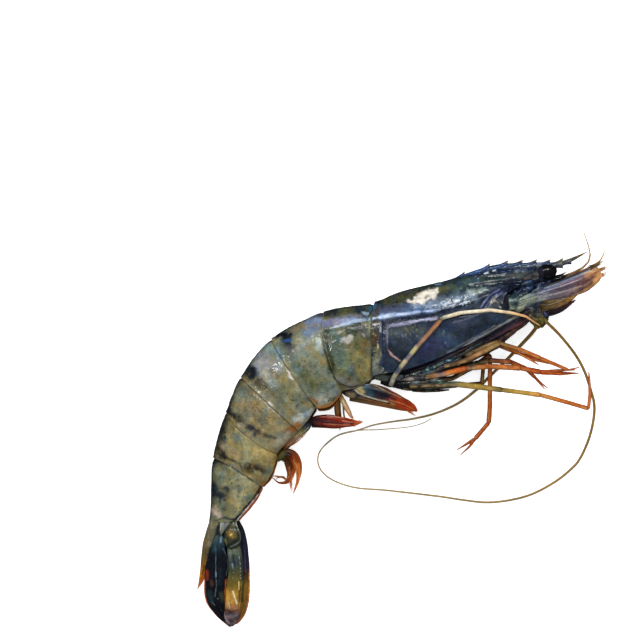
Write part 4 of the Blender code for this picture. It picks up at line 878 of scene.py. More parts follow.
abdomenLook["paint"] = [
    # first plate: a dark back with a blue wedge, a pale sheen, teal and olive below
    ((38, 50, 44), 1.3, 0.8, 0.85, [(-16, 42.4), (-23, 41.4)]),
    ((84, 90, 62), 0.6, 0.5, 0.7, [(-17.6, 42.4), (-21.4, 41.8)]),
    ((16, 26, 50), 1, 0.7, 0.9, [(-23.4, 40.7), (-28.4, 39.8)]),
    ((118, 124, 154), 1.2, 0.8, 0.9, [(-13.8, 39.5), (-19.6, 38.3), (-27, 37)]),
    ((104, 104, 150), 0.6, 0.6, 0.75, [(-24.8, 37.8), (-27.2, 36.8)]),
    ((166, 164, 184), 0.7, 0.6, 0.75, [(-18.8, 38.2), (-22.4, 37.4)]),
    ((26, 44, 54), 1.3, 0.6, 0.92, [(-15.2, 42), (-12, 41.4)]),
    ((40, 92, 116), 0.5, 0.5, 0.85, [(-10.8, 42), (-9.8, 43.4)]),
    ((26, 48, 28), 0.9, 0.7, 0.85, [(-18.4, 36), (-15, 36.6)]),
    ((52, 42, 36), 0.9, 0.6, 0.8, [(-13.6, 36.4), (-11.8, 32.4)]),
    ((54, 88, 86), 1.5, 1.2, 0.8, [(-24.4, 34), (-21, 31)]),
    ((30, 50, 30), 0.8, 0.6, 0.9, [(-26.6, 34.4), (-26.6, 28), (-24.8, 20.6)]),
    ((70, 64, 30), 0.9, 0.6, 0.75, [(-25.6, 26.4), (-24.2, 22)]),
    ((94, 84, 44), 2, 1.3, 0.85, [(-17.4, 30.6), (-14, 31.6), (-13.4, 26.4)]),
    ((66, 80, 44), 1, 0.8, 0.7, [(-17, 33.6), (-15, 29)]),
    ((88, 104, 82), 2.4, 1.6, 0.7, [(-22.4, 26), (-20.4, 20.6)]),
    ((100, 92, 52), 1.2, 0.8, 0.75, [(-15.6, 22), (-13, 18.6)]),
    ((134, 122, 74), 0.5, 0.5, 0.7, [(-11.4, 27), (-11.2, 18.6)]),
    ((56, 68, 74), 0.9, 0.8, 0.75, [(-18.2, 23), (-17.2, 20)]),
    ((126, 124, 118), 0.9, 0.8, 0.75, [(-22.6, 18.2), (-19, 16.4), (-15.4, 16.2)]),
    ((160, 152, 104), 0.6, 0.5, 0.8, [(-13.6, 17.4), (-11.2, 17.6)]),
    ((16, 34, 16), 0.9, 0.5, 0.95, [(-19.2, 35.2), (-16, 34.9), (-13.8, 35.4)]),
    ((24, 44, 24), 0.6, 0.5, 0.85, [(-18.6, 33.8), (-16.6, 33.2)]),
    ((44, 44, 36), 0.9, 0.6, 0.9, [(-13.9, 36.4), (-13.2, 33.8)]),
    ((34, 38, 12), 0.9, 0.5, 0.92, [(-26, 28.6), (-25, 24.5), (-24, 20.6)]),
    ((40, 62, 54), 0.8, 0.6, 0.9, [(-26.2, 31.6), (-25.7, 28)]),
    ((92, 72, 26), 1.1, 0.9, 0.7, [(-12.8, 30.6), (-12.6, 27.4)]),
    ((138, 130, 80), 1.4, 1, 0.75, [(-15.2, 25.8), (-13.4, 22.6), (-13.4, 19.8)]),
    ((112, 126, 96), 1.4, 1.1, 0.6, [(-19.4, 26), (-19, 22)]),
    # second plate: grey back that is partly painted sheen, navy patch, olive band across, blue grey below
    ((126, 146, 180), 1.1, 0.8, 0.88, [(-28.4, 38.3), (-32.4, 37.4)]),
    ((130, 130, 146), 1.3, 1, 0.8, [(-30, 37), (-33, 36)]),
    ((118, 102, 86), 1, 0.9, 0.7, [(-35.2, 36.4), (-37.4, 35)]),
    ((144, 152, 148), 2.2, 1.5, 0.8, [(-29.8, 31.6), (-35.6, 29.4)]),
    ((104, 128, 164), 1.3, 0.9, 0.85, [(-30.2, 35.2), (-33.6, 33.8)]),
    ((172, 194, 190), 0.8, 0.6, 0.85, [(-28.6, 31.4), (-29.2, 28.6)]),
    ((16, 20, 34), 2, 0.6, 0.97, [(-42.6, 33.6), (-39.8, 32.6)]),
    ((30, 34, 46), 1.1, 0.7, 0.9, [(-40.6, 31.4), (-38.4, 29.6)]),
    ((76, 74, 74), 0.9, 0.8, 0.75, [(-39.8, 28.8), (-38.2, 26.4)]),
    ((62, 92, 90), 0.8, 0.7, 0.75, [(-37.6, 25.4), (-36.2, 22.6)]),
    ((126, 116, 66), 1.5, 1.1, 0.85, [(-32, 29), (-28.6, 25.6), (-27, 23.6)]),
    ((134, 108, 62), 0.5, 0.5, 0.65, [(-28.8, 25), (-27, 23.6)]),
    ((112, 118, 100), 2, 1.4, 0.75, [(-35, 25.6), (-31.6, 20.4)]),
    ((150, 156, 148), 0.5, 0.5, 0.75, [(-29.2, 30.4), (-27.8, 27.4)]),
    ((68, 78, 42), 1.5, 1, 0.8, [(-33.8, 19.2), (-31.4, 16.4), (-30.2, 14)]),
    ((70, 88, 70), 1.1, 0.9, 0.75, [(-27.6, 15.6), (-25.8, 14)]),
    ((126, 138, 136), 1.3, 1, 0.8, [(-29.4, 12.6), (-25.4, 11.8), (-22.8, 12.6)]),
    ((34, 34, 26), 0.7, 0.5, 0.9, [(-24.8, 10.4), (-22.2, 10.4)]),
    ((158, 152, 132), 1.1, 0.9, 0.85, [(-28.4, 10.6), (-25.4, 10.4)]),
    ((168, 134, 98), 0.8, 0.6, 0.75, [(-29, 8), (-26, 7.2)]),
    ((140, 84, 34), 0.4, 0.4, 0.8, [(-32, 11.6), (-29.6, 9.8)]),
    # third plate: its pale grey top is partly painted sheen
    ((118, 148, 152), 1.6, 1.2, 0.85, [(-47, 29.2), (-43, 26.8)]),
    ((142, 146, 156), 2.2, 1.3, 0.8, [(-49, 25.4), (-46.6, 22.4), (-43.4, 21.6)]),
    ((150, 158, 172), 1.4, 1, 0.85, [(-50.4, 22.8), (-48.6, 20.2)]),
    ((156, 166, 164), 1.5, 1.1, 0.8, [(-47.2, 18.9), (-44.6, 16.6)]),
    ((166, 166, 122), 1.4, 1.1, 0.75, [(-41.8, 22.4), (-39.4, 19.8)]),
    ((18, 24, 38), 1.9, 0.8, 0.96, [(-55, 22), (-52.6, 19.6)]),
    ((34, 42, 54), 1.1, 0.9, 0.88, [(-52.4, 18.6), (-49.6, 17.4)]),
    ((58, 64, 58), 1, 0.9, 0.8, [(-50, 16.6), (-47.6, 15)]),
    ((128, 118, 72), 1.8, 1.3, 0.8, [(-44.2, 20.4), (-39.6, 17)]),
    ((82, 80, 40), 0.6, 0.6, 0.5, [(-47.4, 14.8), (-43, 11), (-40.6, 9)]),
    ((102, 100, 64), 2, 1.4, 0.7, [(-42, 14), (-36.4, 12.4)]),
    ((118, 116, 86), 1.6, 1.2, 0.7, [(-36.6, 10), (-33, 8)]),
    ((68, 64, 44), 1, 0.8, 0.85, [(-50.4, 16.4), (-47.4, 15)]),
    ((124, 108, 66), 1, 0.9, 0.6, [(-40, 8.4), (-37, 5.8)]),
    ((176, 182, 178), 1.1, 0.7, 0.88, [(-37, 3.7), (-33.6, 5.2), (-31, 6.4)]),
    # fourth plate
    ((40, 44, 44), 1.1, 0.9, 0.85, [(-60.2, 14), (-59.4, 9.6)]),
    ((84, 92, 84), 1.4, 1, 0.7, [(-56.8, 15), (-54.8, 12.4)]),
    ((134, 130, 110), 0.6, 0.5, 0.6, [(-54, 17), (-48, 11.6), (-42, 4.6)]),
    ((122, 130, 112), 1.4, 1.1, 0.7, [(-56.2, 12.4), (-53.6, 11)]),
    ((150, 130, 98), 1.4, 1.1, 0.65, [(-53.8, 9), (-49.8, 6.6)]),
    ((160, 142, 92), 1.3, 1, 0.65, [(-46.4, 3.4), (-43, 1)]),
    ((52, 52, 38), 1, 0.8, 0.85, [(-58, 4.2), (-55.2, 3.2)]),
    ((50, 44, 42), 0.9, 0.7, 0.88, [(-52.6, 0.7), (-50, -0.8)]),
    ((24, 26, 32), 0.8, 0.6, 0.9, [(-62, 8.4), (-59, 5.2), (-57, 3.6)]),
    ((52, 48, 42), 0.6, 0.6, 0.75, [(-57, 3.6), (-54.6, 2.2)]),
    ((40, 38, 48), 0.7, 0.5, 0.9, [(-54, 1.8), (-51.6, 0.2), (-51, -1.6)]),
    ((46, 46, 30), 0.5, 0.5, 0.8, [(-47.8, -1.6), (-44, -2.8)]),
    ((140, 84, 18), 0.9, 0.6, 0.92, [(-40.2, -0.6), (-37.8, 0.9), (-36.8, 1.6)]),
    ((150, 144, 128), 0.9, 0.8, 0.8, [(-44.6, -5), (-41.6, -4), (-40, -1.4)]),
    # fifth plate
    ((30, 38, 34), 1.4, 0.9, 0.92, [(-63.4, 4), (-62.6, -1), (-62.4, -3.4)]),
    ((78, 80, 58), 0.9, 0.8, 0.75, [(-60.2, 1), (-58.6, 0.4)]),
    ((34, 34, 30), 1, 0.7, 0.92, [(-64, -6), (-62.2, -8.6)]),
    ((90, 98, 96), 1.2, 1, 0.65, [(-60.2, -1), (-57.8, -3.2)]),
    ((146, 132, 108), 1.3, 1, 0.8, [(-61.8, -6), (-58.6, -7.8), (-57, -8.8)]),
    ((172, 158, 106), 2.2, 1.5, 0.72, [(-54, -6), (-47.6, -7.6)]),
    ((82, 84, 60), 0.3, 0.4, 0.5, [(-55.6, -5), (-55.6, -11)]),
    ((22, 22, 22), 0.35, 0.4, 0.92, [(-64.6, -8), (-60.4, -10), (-56.2, -11.8), (-55.4, -14.6)]),
    ((70, 60, 46), 0.8, 0.8, 0.8, [(-54.4, -12.4), (-50.4, -13), (-48.4, -13.2)]),
    ((40, 30, 10), 0.9, 0.6, 0.92, [(-52.6, -13), (-50, -13.3), (-48, -14.4)]),
    ((126, 98, 48), 1.2, 0.9, 0.8, [(-50.6, -16.4), (-48.4, -18.4), (-48.2, -19.6)]),
    # sixth plate
    ((36, 42, 46), 1.1, 0.7, 0.85, [(-64.6, -11), (-62.4, -12.2)]),
    ((104, 104, 104), 0.4, 0.4, 0.75, [(-59.4, -12), (-56.6, -13.8)]),
    ((156, 152, 116), 2, 1.3, 0.7, [(-56.4, -17.2), (-52.4, -18.6)]),
    ((56, 42, 14), 0.9, 0.7, 0.85, [(-54.6, -13.9), (-51.8, -14.6)]),
    ((24, 34, 46), 1.2, 0.6, 0.95, [(-67.2, -18.4), (-65.6, -19.6)]),
    ((24, 34, 46), 1.3, 0.6, 0.95, [(-65.8, -22), (-63.2, -23), (-60.6, -22.6)]),
    ((24, 34, 46), 0.4, 0.35, 0.88, [(-61, -20.4), (-60.2, -22)]),
    ((24, 34, 46), 0.35, 0.35, 0.85, [(-66.6, -24.2), (-65.6, -22.6)]),
    ((24, 34, 46), 0.35, 0.35, 0.85, [(-63.4, -25), (-63, -23)]),
    ((52, 66, 74), 0.6, 0.5, 0.75, [(-64, -20.4), (-62.4, -20.8)]),
    ((34, 40, 36), 0.4, 0.4, 0.75, [(-62.6, -27.4), (-61.6, -28)]),
    ((200, 172, 150), 0.9, 0.8, 0.85, [(-65.2, -28.4), (-63.8, -30.2)]),
    ((182, 172, 128), 1.5, 1.1, 0.8, [(-58.4, -22.6), (-56.6, -26.4), (-57.2, -28.6)]),
    ((18, 28, 34), 0.45, 0.35, 0.95, [(-48.8, -20.4), (-52.2, -25.2), (-57.4, -31.2)]),
    (
        (18, 34, 42), 0.4, 0.3, 0.92,
        [(-66.6, -32), (-63.8, -31.4), (-61.6, -30.6), (-59.4, -31.4), (-57, -31.4)],
    ),
]
abdomenLook["marks"] = [  # laid last: chips and fine lines
    ((14, 17, 28), 0.78, 0.4, 0.95, [(-43.8, 33.6), (-41.2, 33.2), (-39.4, 32.4)]),
    ((14, 17, 28), 0.6, 0.4, 0.92, [(-41.4, 31.6), (-39.6, 30.6)]),
    ((18, 20, 22), 0.78, 0.4, 0.92, [(-54.6, 22.4), (-52.4, 21.8), (-51.4, 20.6)]),
    ((16, 18, 24), 0.55, 0.4, 0.88, [(-53.6, 19.6), (-52, 19)]),
    ((20, 22, 24), 0.5, 0.4, 0.85, [(-61.8, 6.6), (-60, 5.6)]),
    # the next two pale lines are a painted sheen highlight on the first plate
    ((150, 178, 214), 0.6, 0.45, 0.8, [(-11.4, 38.9), (-15, 38.4), (-20, 37.2)]),
    ((196, 204, 222), 0.26, 0.28, 0.8, [(-13.8, 38.9), (-18.9, 37.5), (-24.6, 35.6)]),
    ((150, 176, 200), 0.5, 0.35, 0.9, [(-13.6, 40.9), (-11.8, 40.6)]),
    ((12, 20, 30), 0.24, 0.2, 0.92, [(-15.3, 42.3), (-11.9, 38.7), (-9.2, 43.6)]),
    # a painted glint
    ((176, 160, 158), 0.26, 0.25, 0.8, [(-13.6, 33.8), (-12.8, 32.8)]),
    ((176, 172, 164), 1.05, 0.3, 0.97, [(-20.4, 31.8), (-18.8, 31.4), (-18.4, 32.4)]),
    ((176, 172, 164), 0.5, 0.25, 0.95, [(-21.4, 31), (-20.4, 31)]),
    # a painted glint
    ((206, 214, 210), 0.18, 0.16, 0.9, [(-24, 30.8), (-22.8, 31.4)]),
    ((34, 26, 28), 0.26, 0.25, 0.85, [(-23.8, 18.8), (-21.5, 16.2), (-17.5, 15), (-14.5, 15.6)]),
    # a painted blue highlight on the navy patch
    ((40, 84, 140), 0.4, 0.4, 0.8, [(-41.6, 31.2), (-39, 31.4)]),
    # the next two dabs are painted glints
    ((222, 212, 206), 0.3, 0.25, 0.95, [(-39.6, 20.8), (-39, 20.2)]),
    ((222, 212, 206), 0.32, 0.25, 0.95, [(-38.8, 18.6), (-37.8, 17.8)]),
    ((26, 28, 22), 0.22, 0.2, 0.85, [(-54.2, 9.8)]), ((26, 28, 22), 0.26, 0.2, 0.85, [(-51.8, 7.9)]),
    ((26, 28, 22), 0.22, 0.2, 0.85, [(-50.4, 8)]),
    # the next three dabs are painted glints
    ((216, 206, 200), 0.3, 0.25, 0.92, [(-46, 9.6), (-45.2, 8.8)]),
    ((206, 196, 188), 0.22, 0.2, 0.85, [(-46.6, 7.6), (-46.2, 7.2)]),
    ((206, 200, 190), 0.2, 0.2, 0.85, [(-48.4, 0.2)]),
    ((160, 104, 64), 0.2, 0.2, 0.8, [(-57.4, -12.6), (-56.4, -13.4)]),
    ((216, 208, 176), 0.22, 0.2, 0.85, [(-56.4, -16.4)]),
    (
        (14, 22, 28), 0.42, 0.3, 0.95,
        [(-48.8, -20), (-51.6, -24), (-54.2, -26.8), (-56.2, -29.2), (-58.5, -31.7)],
    ),
    ((182, 92, 64), 0.5, 0.3, 0.95, [(-50.4, -23.4), (-52.8, -26.8), (-54.6, -29.2), (-56.6, -31.8)]),
    ((244, 240, 230), 0.17, 0.16, 0.97, [(-50, -22.6), (-53.4, -26.9), (-55.5, -29.3), (-57.8, -32.2)]),
    ((30, 52, 30), 0.75, 0.4, 0.92, [(-19, 35.1), (-16.6, 34.9)]),
    ((46, 44, 38), 0.6, 0.4, 0.85, [(-14, 35.6), (-13.6, 34.2)]),
    ((44, 50, 24), 0.7, 0.5, 0.85, [(-25.5, 28.6), (-25, 25), (-24.3, 21.4)]),
    ((30, 44, 44), 0.5, 0.4, 0.8, [(-26.4, 33.6), (-26, 30)]),
    ((22, 28, 28), 0.7, 0.4, 0.92, [(-62.4, 0.4), (-61.8, -2.6)]),
    ((24, 24, 22), 0.7, 0.4, 0.92, [(-63.6, -6.6), (-62.2, -8.4)]),
    ((56, 40, 14), 0.6, 0.5, 0.85, [(-49.6, -13.5), (-48.2, -14.6)]),
    ((30, 40, 46), 0.6, 0.4, 0.85, [(-61.4, -20.2), (-60, -20.8)]),
    ((20, 24, 28), 0.6, 0.4, 0.85, [(-52.8, 22.2), (-51.6, 21.2)]),
    ((178, 168, 120), 0.7, 0.6, 0.7, [(-55.6, -22.6), (-56.8, -26)]),
    ((150, 92, 36), 0.55, 0.5, 0.8, [(-28.6, 7.6), (-25.4, 8.6), (-22.8, 10)]),
    ((40, 46, 40), 0.5, 0.4, 0.85, [(-24.6, 10.6), (-22, 11.6)]),
]
abdomenLook["specks"] = [  # colour, half width of the zone, size of speck, cover, line in the plan
    ((130, 136, 122), 3.4, 0.7, 0.2, [(-22, 28), (-20, 20)]),
    ((44, 50, 30), 3.4, 0.7, 0.24, [(-18, 31), (-16, 20)]),
    ((170, 176, 174), 2.2, 0.7, 0.22, [(-30, 34), (-33, 31)]),
    ((62, 70, 48), 4, 0.7, 0.24, [(-33, 22), (-27, 13)]),
    ((40, 44, 36), 0.9, 0.6, 0.36, [(-38.6, 26.6), (-38, 23.4)]),
    ((164, 162, 164), 3, 0.7, 0.22, [(-49, 25), (-43, 20)]),
    ((78, 80, 52), 3.4, 0.7, 0.24, [(-43, 15), (-35, 8)]),
    ((166, 160, 140), 0.8, 0.6, 0.28, [(-54, 16.6), (-42, 4)]),
    ((112, 92, 70), 2.6, 0.7, 0.24, [(-54, 8.6), (-45, 3)]),
    ((70, 72, 54), 3.6, 0.7, 0.24, [(-57, 12), (-47, 2)]),
    ((150, 144, 112), 3.2, 0.7, 0.2, [(-58, -2), (-49, -8)]),
    ((46, 40, 30), 1, 0.6, 0.34, [(-54, -12.4), (-48, -13.4)]),
    ((72, 76, 58), 3.4, 0.7, 0.22, [(-60, -15), (-55, -26)]),
    ((24, 34, 46), 2, 0.7, 0.28, [(-66, -21), (-61, -23.6)]),
    ((160, 156, 124), 3, 0.7, 0.2, [(-56, -17), (-57, -27)]),
    ((28, 32, 26), 0.8, 0.6, 0.36, [(-64, -10), (-57, -13)]),
]


def makePlates(look):
    # six plates: each is the body's skin between two joints, its front tucked under the plate before it, its
    # lower edge hanging in a round lobe, its rear edge raised a little
    for k in range(6):
        edge = math.radians(look["lowerEdge"][k])
        angle = np.concatenate([np.linspace(-edge, 0, look["farColumns"], endpoint=False),
                                np.linspace(0, edge, look["nearColumns"])])[None, :]
        share = np.linspace(0, 1, look["rows"])[:, None]
        front = k + look["bulge"][k] * np.sin(angle) ** 2
        rear = k + 1 + look["bulge"][k + 1] * np.sin(angle) ** 2 + (look["over"] if k < 5 else 0.0)
        covered = 0.08  # share of a plate's length that lies under the plate before it
        t = np.where(share < covered, front - look["under"] * (1 - share / covered),
                     front + (rear - front) * (share - covered) / (1 - covered))
        inside = (share - covered) / (1 - covered)
        tuck = -look["hidden"] + (look["hidden"] - look["tuck"]) * ease(share / covered)
        tuck = tuck + look["tuck"] * ease(inside / look["tuckLength"])
        tuck = tuck + look["flare"] * ease((inside - 0.8) / 0.2)
        nearEdge = ease((np.abs(angle) - edge + 0.5) / 0.5)
        swell = np.sin(np.pi * np.clip(inside, 0, 1))
        lobe = look["lobes"][k] * swell + look["hang"][k] * nearEdge * swell ** 0.5
        skin = bodySkin(look["stations"], t, angle + 0 * share, tuck + 0 * angle, lobe)
        rearRim = 0.06 * np.exp(-((inside - 0.975) / 0.02) ** 2)
        rearRim = rearRim - 0.05 * np.exp(-((inside - 0.90) / 0.03) ** 2)
        lowRim = 0.08 * np.exp(-((edge - np.abs(angle)) / 0.04) ** 2)
        height = carve(skin, look["ridges"]) * (k < 4) + rearRim + lowRim
        height = height + 0.14 * grain(skin, 4.5, 51 + k, 3) + 0.02 * grain(skin, 0.9, 61 + k, 2)
        keep = np.clip(skin[..., 2] / 1.0, 0, 1)
        skin = skin + outwards(skin) * (height * keep)[..., None]
        skin[..., 2] = np.maximum(skin[..., 2], 0.0)
        tint = np.broadcast_to(linear(look["base"][k]), skin.shape)
        tint = mottle(skin, tint, 71 + 5 * k, 0.26, 0.26)
        wander = 0.12 * grain(skin, 3.0, 91 + k, 3)
        # a dark band along the back: partly pigment, partly painted shade where the back turns away from the
        # light
        colour, width = look["backTintsAndShade"][k]
        back = ease(1.5 - (np.abs(angle) + wander) / width) * 0.85
        tint = blend(tint, colour, back)
        tint = brush(skin, look["paint"], tint)
        tint = speckle(skin, look["specks"], tint, 33)
        tint = mottle(skin, tint, 111, 0.24, 0.20)
        tint = brush(skin, look["marks"], tint, 0.9, 13)
        colour, width = look["rims"][k]
        lowEdge = ease(1.4 - (edge - np.abs(angle) + 0.3 * wander) / width) * ease(share / 0.2) * 0.85
        tint = blend(tint, colour, lowEdge)
        uneven = np.clip(0.32 + 0.4 * grain(skin, 2.0, 95, 2), 0, 0.8)
        rearLine = np.exp(-((inside - 0.992) / 0.012) ** 2) * uneven
        tint = blend(tint, look["rearColour"], rearLine)
        # a dark band at the front of each plate, where it comes out from under the plate before: a dark joint
        # line with painted shade from the overlap
        depth = 0.024 + 0.055 * np.clip(grain(skin, 4.0, 97, 3), 0, 1)
        jointLineAndShade = ease(1 - (inside - 0.010) / depth) * np.clip(0.66 + 0.5 * grain(skin, 2.2, 96, 2), 0.2, 0.95)
        tint = blend(tint, look["jointLineAndShadeColour"], jointLineAndShade)
        makeShell(f"plate{k + 1}", skin, look["thickness"], tint, 0.9, finish["abdomenFinish"],
                  [f"abdomen_{k + 1}"])


makePlates(abdomenLook)


tailFleshLook = dict(shrink=-1, rows=110, columns=64, colour=(120, 96, 62), seamColour=(190, 124, 60))


def makeTailFlesh(look):
    # the flesh under the plates, seen at the belly, with a soft fold across it at each joint
    angle = roundAngles(look["columns"])[None, :]
    t = np.linspace(0.02, 5.93, look["rows"])[:, None]
    fold = 0.35 * np.cos(2 * np.pi * t) * ease(-np.cos(angle) * 2 - 0.6)
    rings = bodySkin(abdomenLook["stations"], t + 0 * angle, angle + 0 * t, look["shrink"] + fold)
    rings[..., 2] = np.maximum(rings[..., 2], 0.5)
    seam = ease(np.cos(2 * np.pi * t) * 2) + 0 * angle
    tint = linear(look["colour"]) + (linear(look["seamColour"]) - linear(look["colour"])) * seam[..., None]
    tint = tint * (1 + 0.3 * grain(rings, 2.4, 81, 3))[..., None]
    makeSolid("tailFlesh", rings, tint, finish["fleshFinish"], crease=48)


makeTailFlesh(tailFleshLook)
print("body done")


# Limbs: tubes along smooth lines. A row: x, y, z, radius.

def evenLine(points, step, loose=True):  # the smooth or straight line through the points, read at even steps
    fine = curveAt(points, np.linspace(0, len(points) - 1, 60 * len(points)))
    if not loose:
        t = np.linspace(0, len(points) - 1, 60 * len(points))
        fine = np.column_stack([np.interp(t, np.arange(len(points)), np.asarray(points, float)[:, i])
                                for i in range(len(points[0]))])
    run = np.concatenate([[0], np.cumsum(np.linalg.norm(np.diff(fine[:, :3], axis=0), axis=1))])
    even = np.linspace(0, run[-1], max(4, int(round(run[-1] / step))))
    return np.column_stack([np.interp(even, run, fine[:, i]) for i in range(fine.shape[1])]), even


def lineFrame(line):  # direction, side and upward vectors along a line
    along = np.gradient(line[:, :3], axis=0)
    along /= np.linalg.norm(along, axis=1)[:, None]
    side = np.cross(along, np.array([0, 0, 1.0]))
    side /= np.maximum(np.linalg.norm(side, axis=1)[:, None], 1e-6)
    return along, side, np.cross(side, along)


def limbRings(line, radius, sides, flat=1.0):
    # round rings across a line, flattened upwards by the given share
    _, side, up = lineFrame(line)
    angle = roundAngles(sides)
    wide = np.cos(angle)[None, :, None] * side[:, None, :] * radius[:, None, None]
    high = np.sin(angle)[None, :, None] * up[:, None, :] * radius[:, None, None] * flat
    rings = line[:, None, :3] + wide + high
    rings[..., 2] = np.maximum(rings[..., 2], 0.0)
    return rings


def stopTint(stops, share):  # colours between stops along a limb
    places = [place for place, _ in stops]
    colours = np.array([linear(colour) for _, colour in stops])
    return np.stack([np.interp(share, places, colours[:, i]) for i in range(3)], axis=-1)


def segmentSwell(even, knots):  # each segment of a limb widens to its far end and is pinched at its joint
    swell = np.ones_like(even)
    for start, end in zip(knots[:-1], knots[1:]):
        share = np.clip((even - start) / max(end - start, 1e-6), 0, 1)
        inside = (even >= start) & (even <= end)
        swell = np.where(inside, 0.92 + 0.16 * share ** 3, swell)
    for knot in knots[1:-1]:
        swell = swell - 0.20 * np.exp(-((even - knot) / 0.28) ** 2)
    return swell


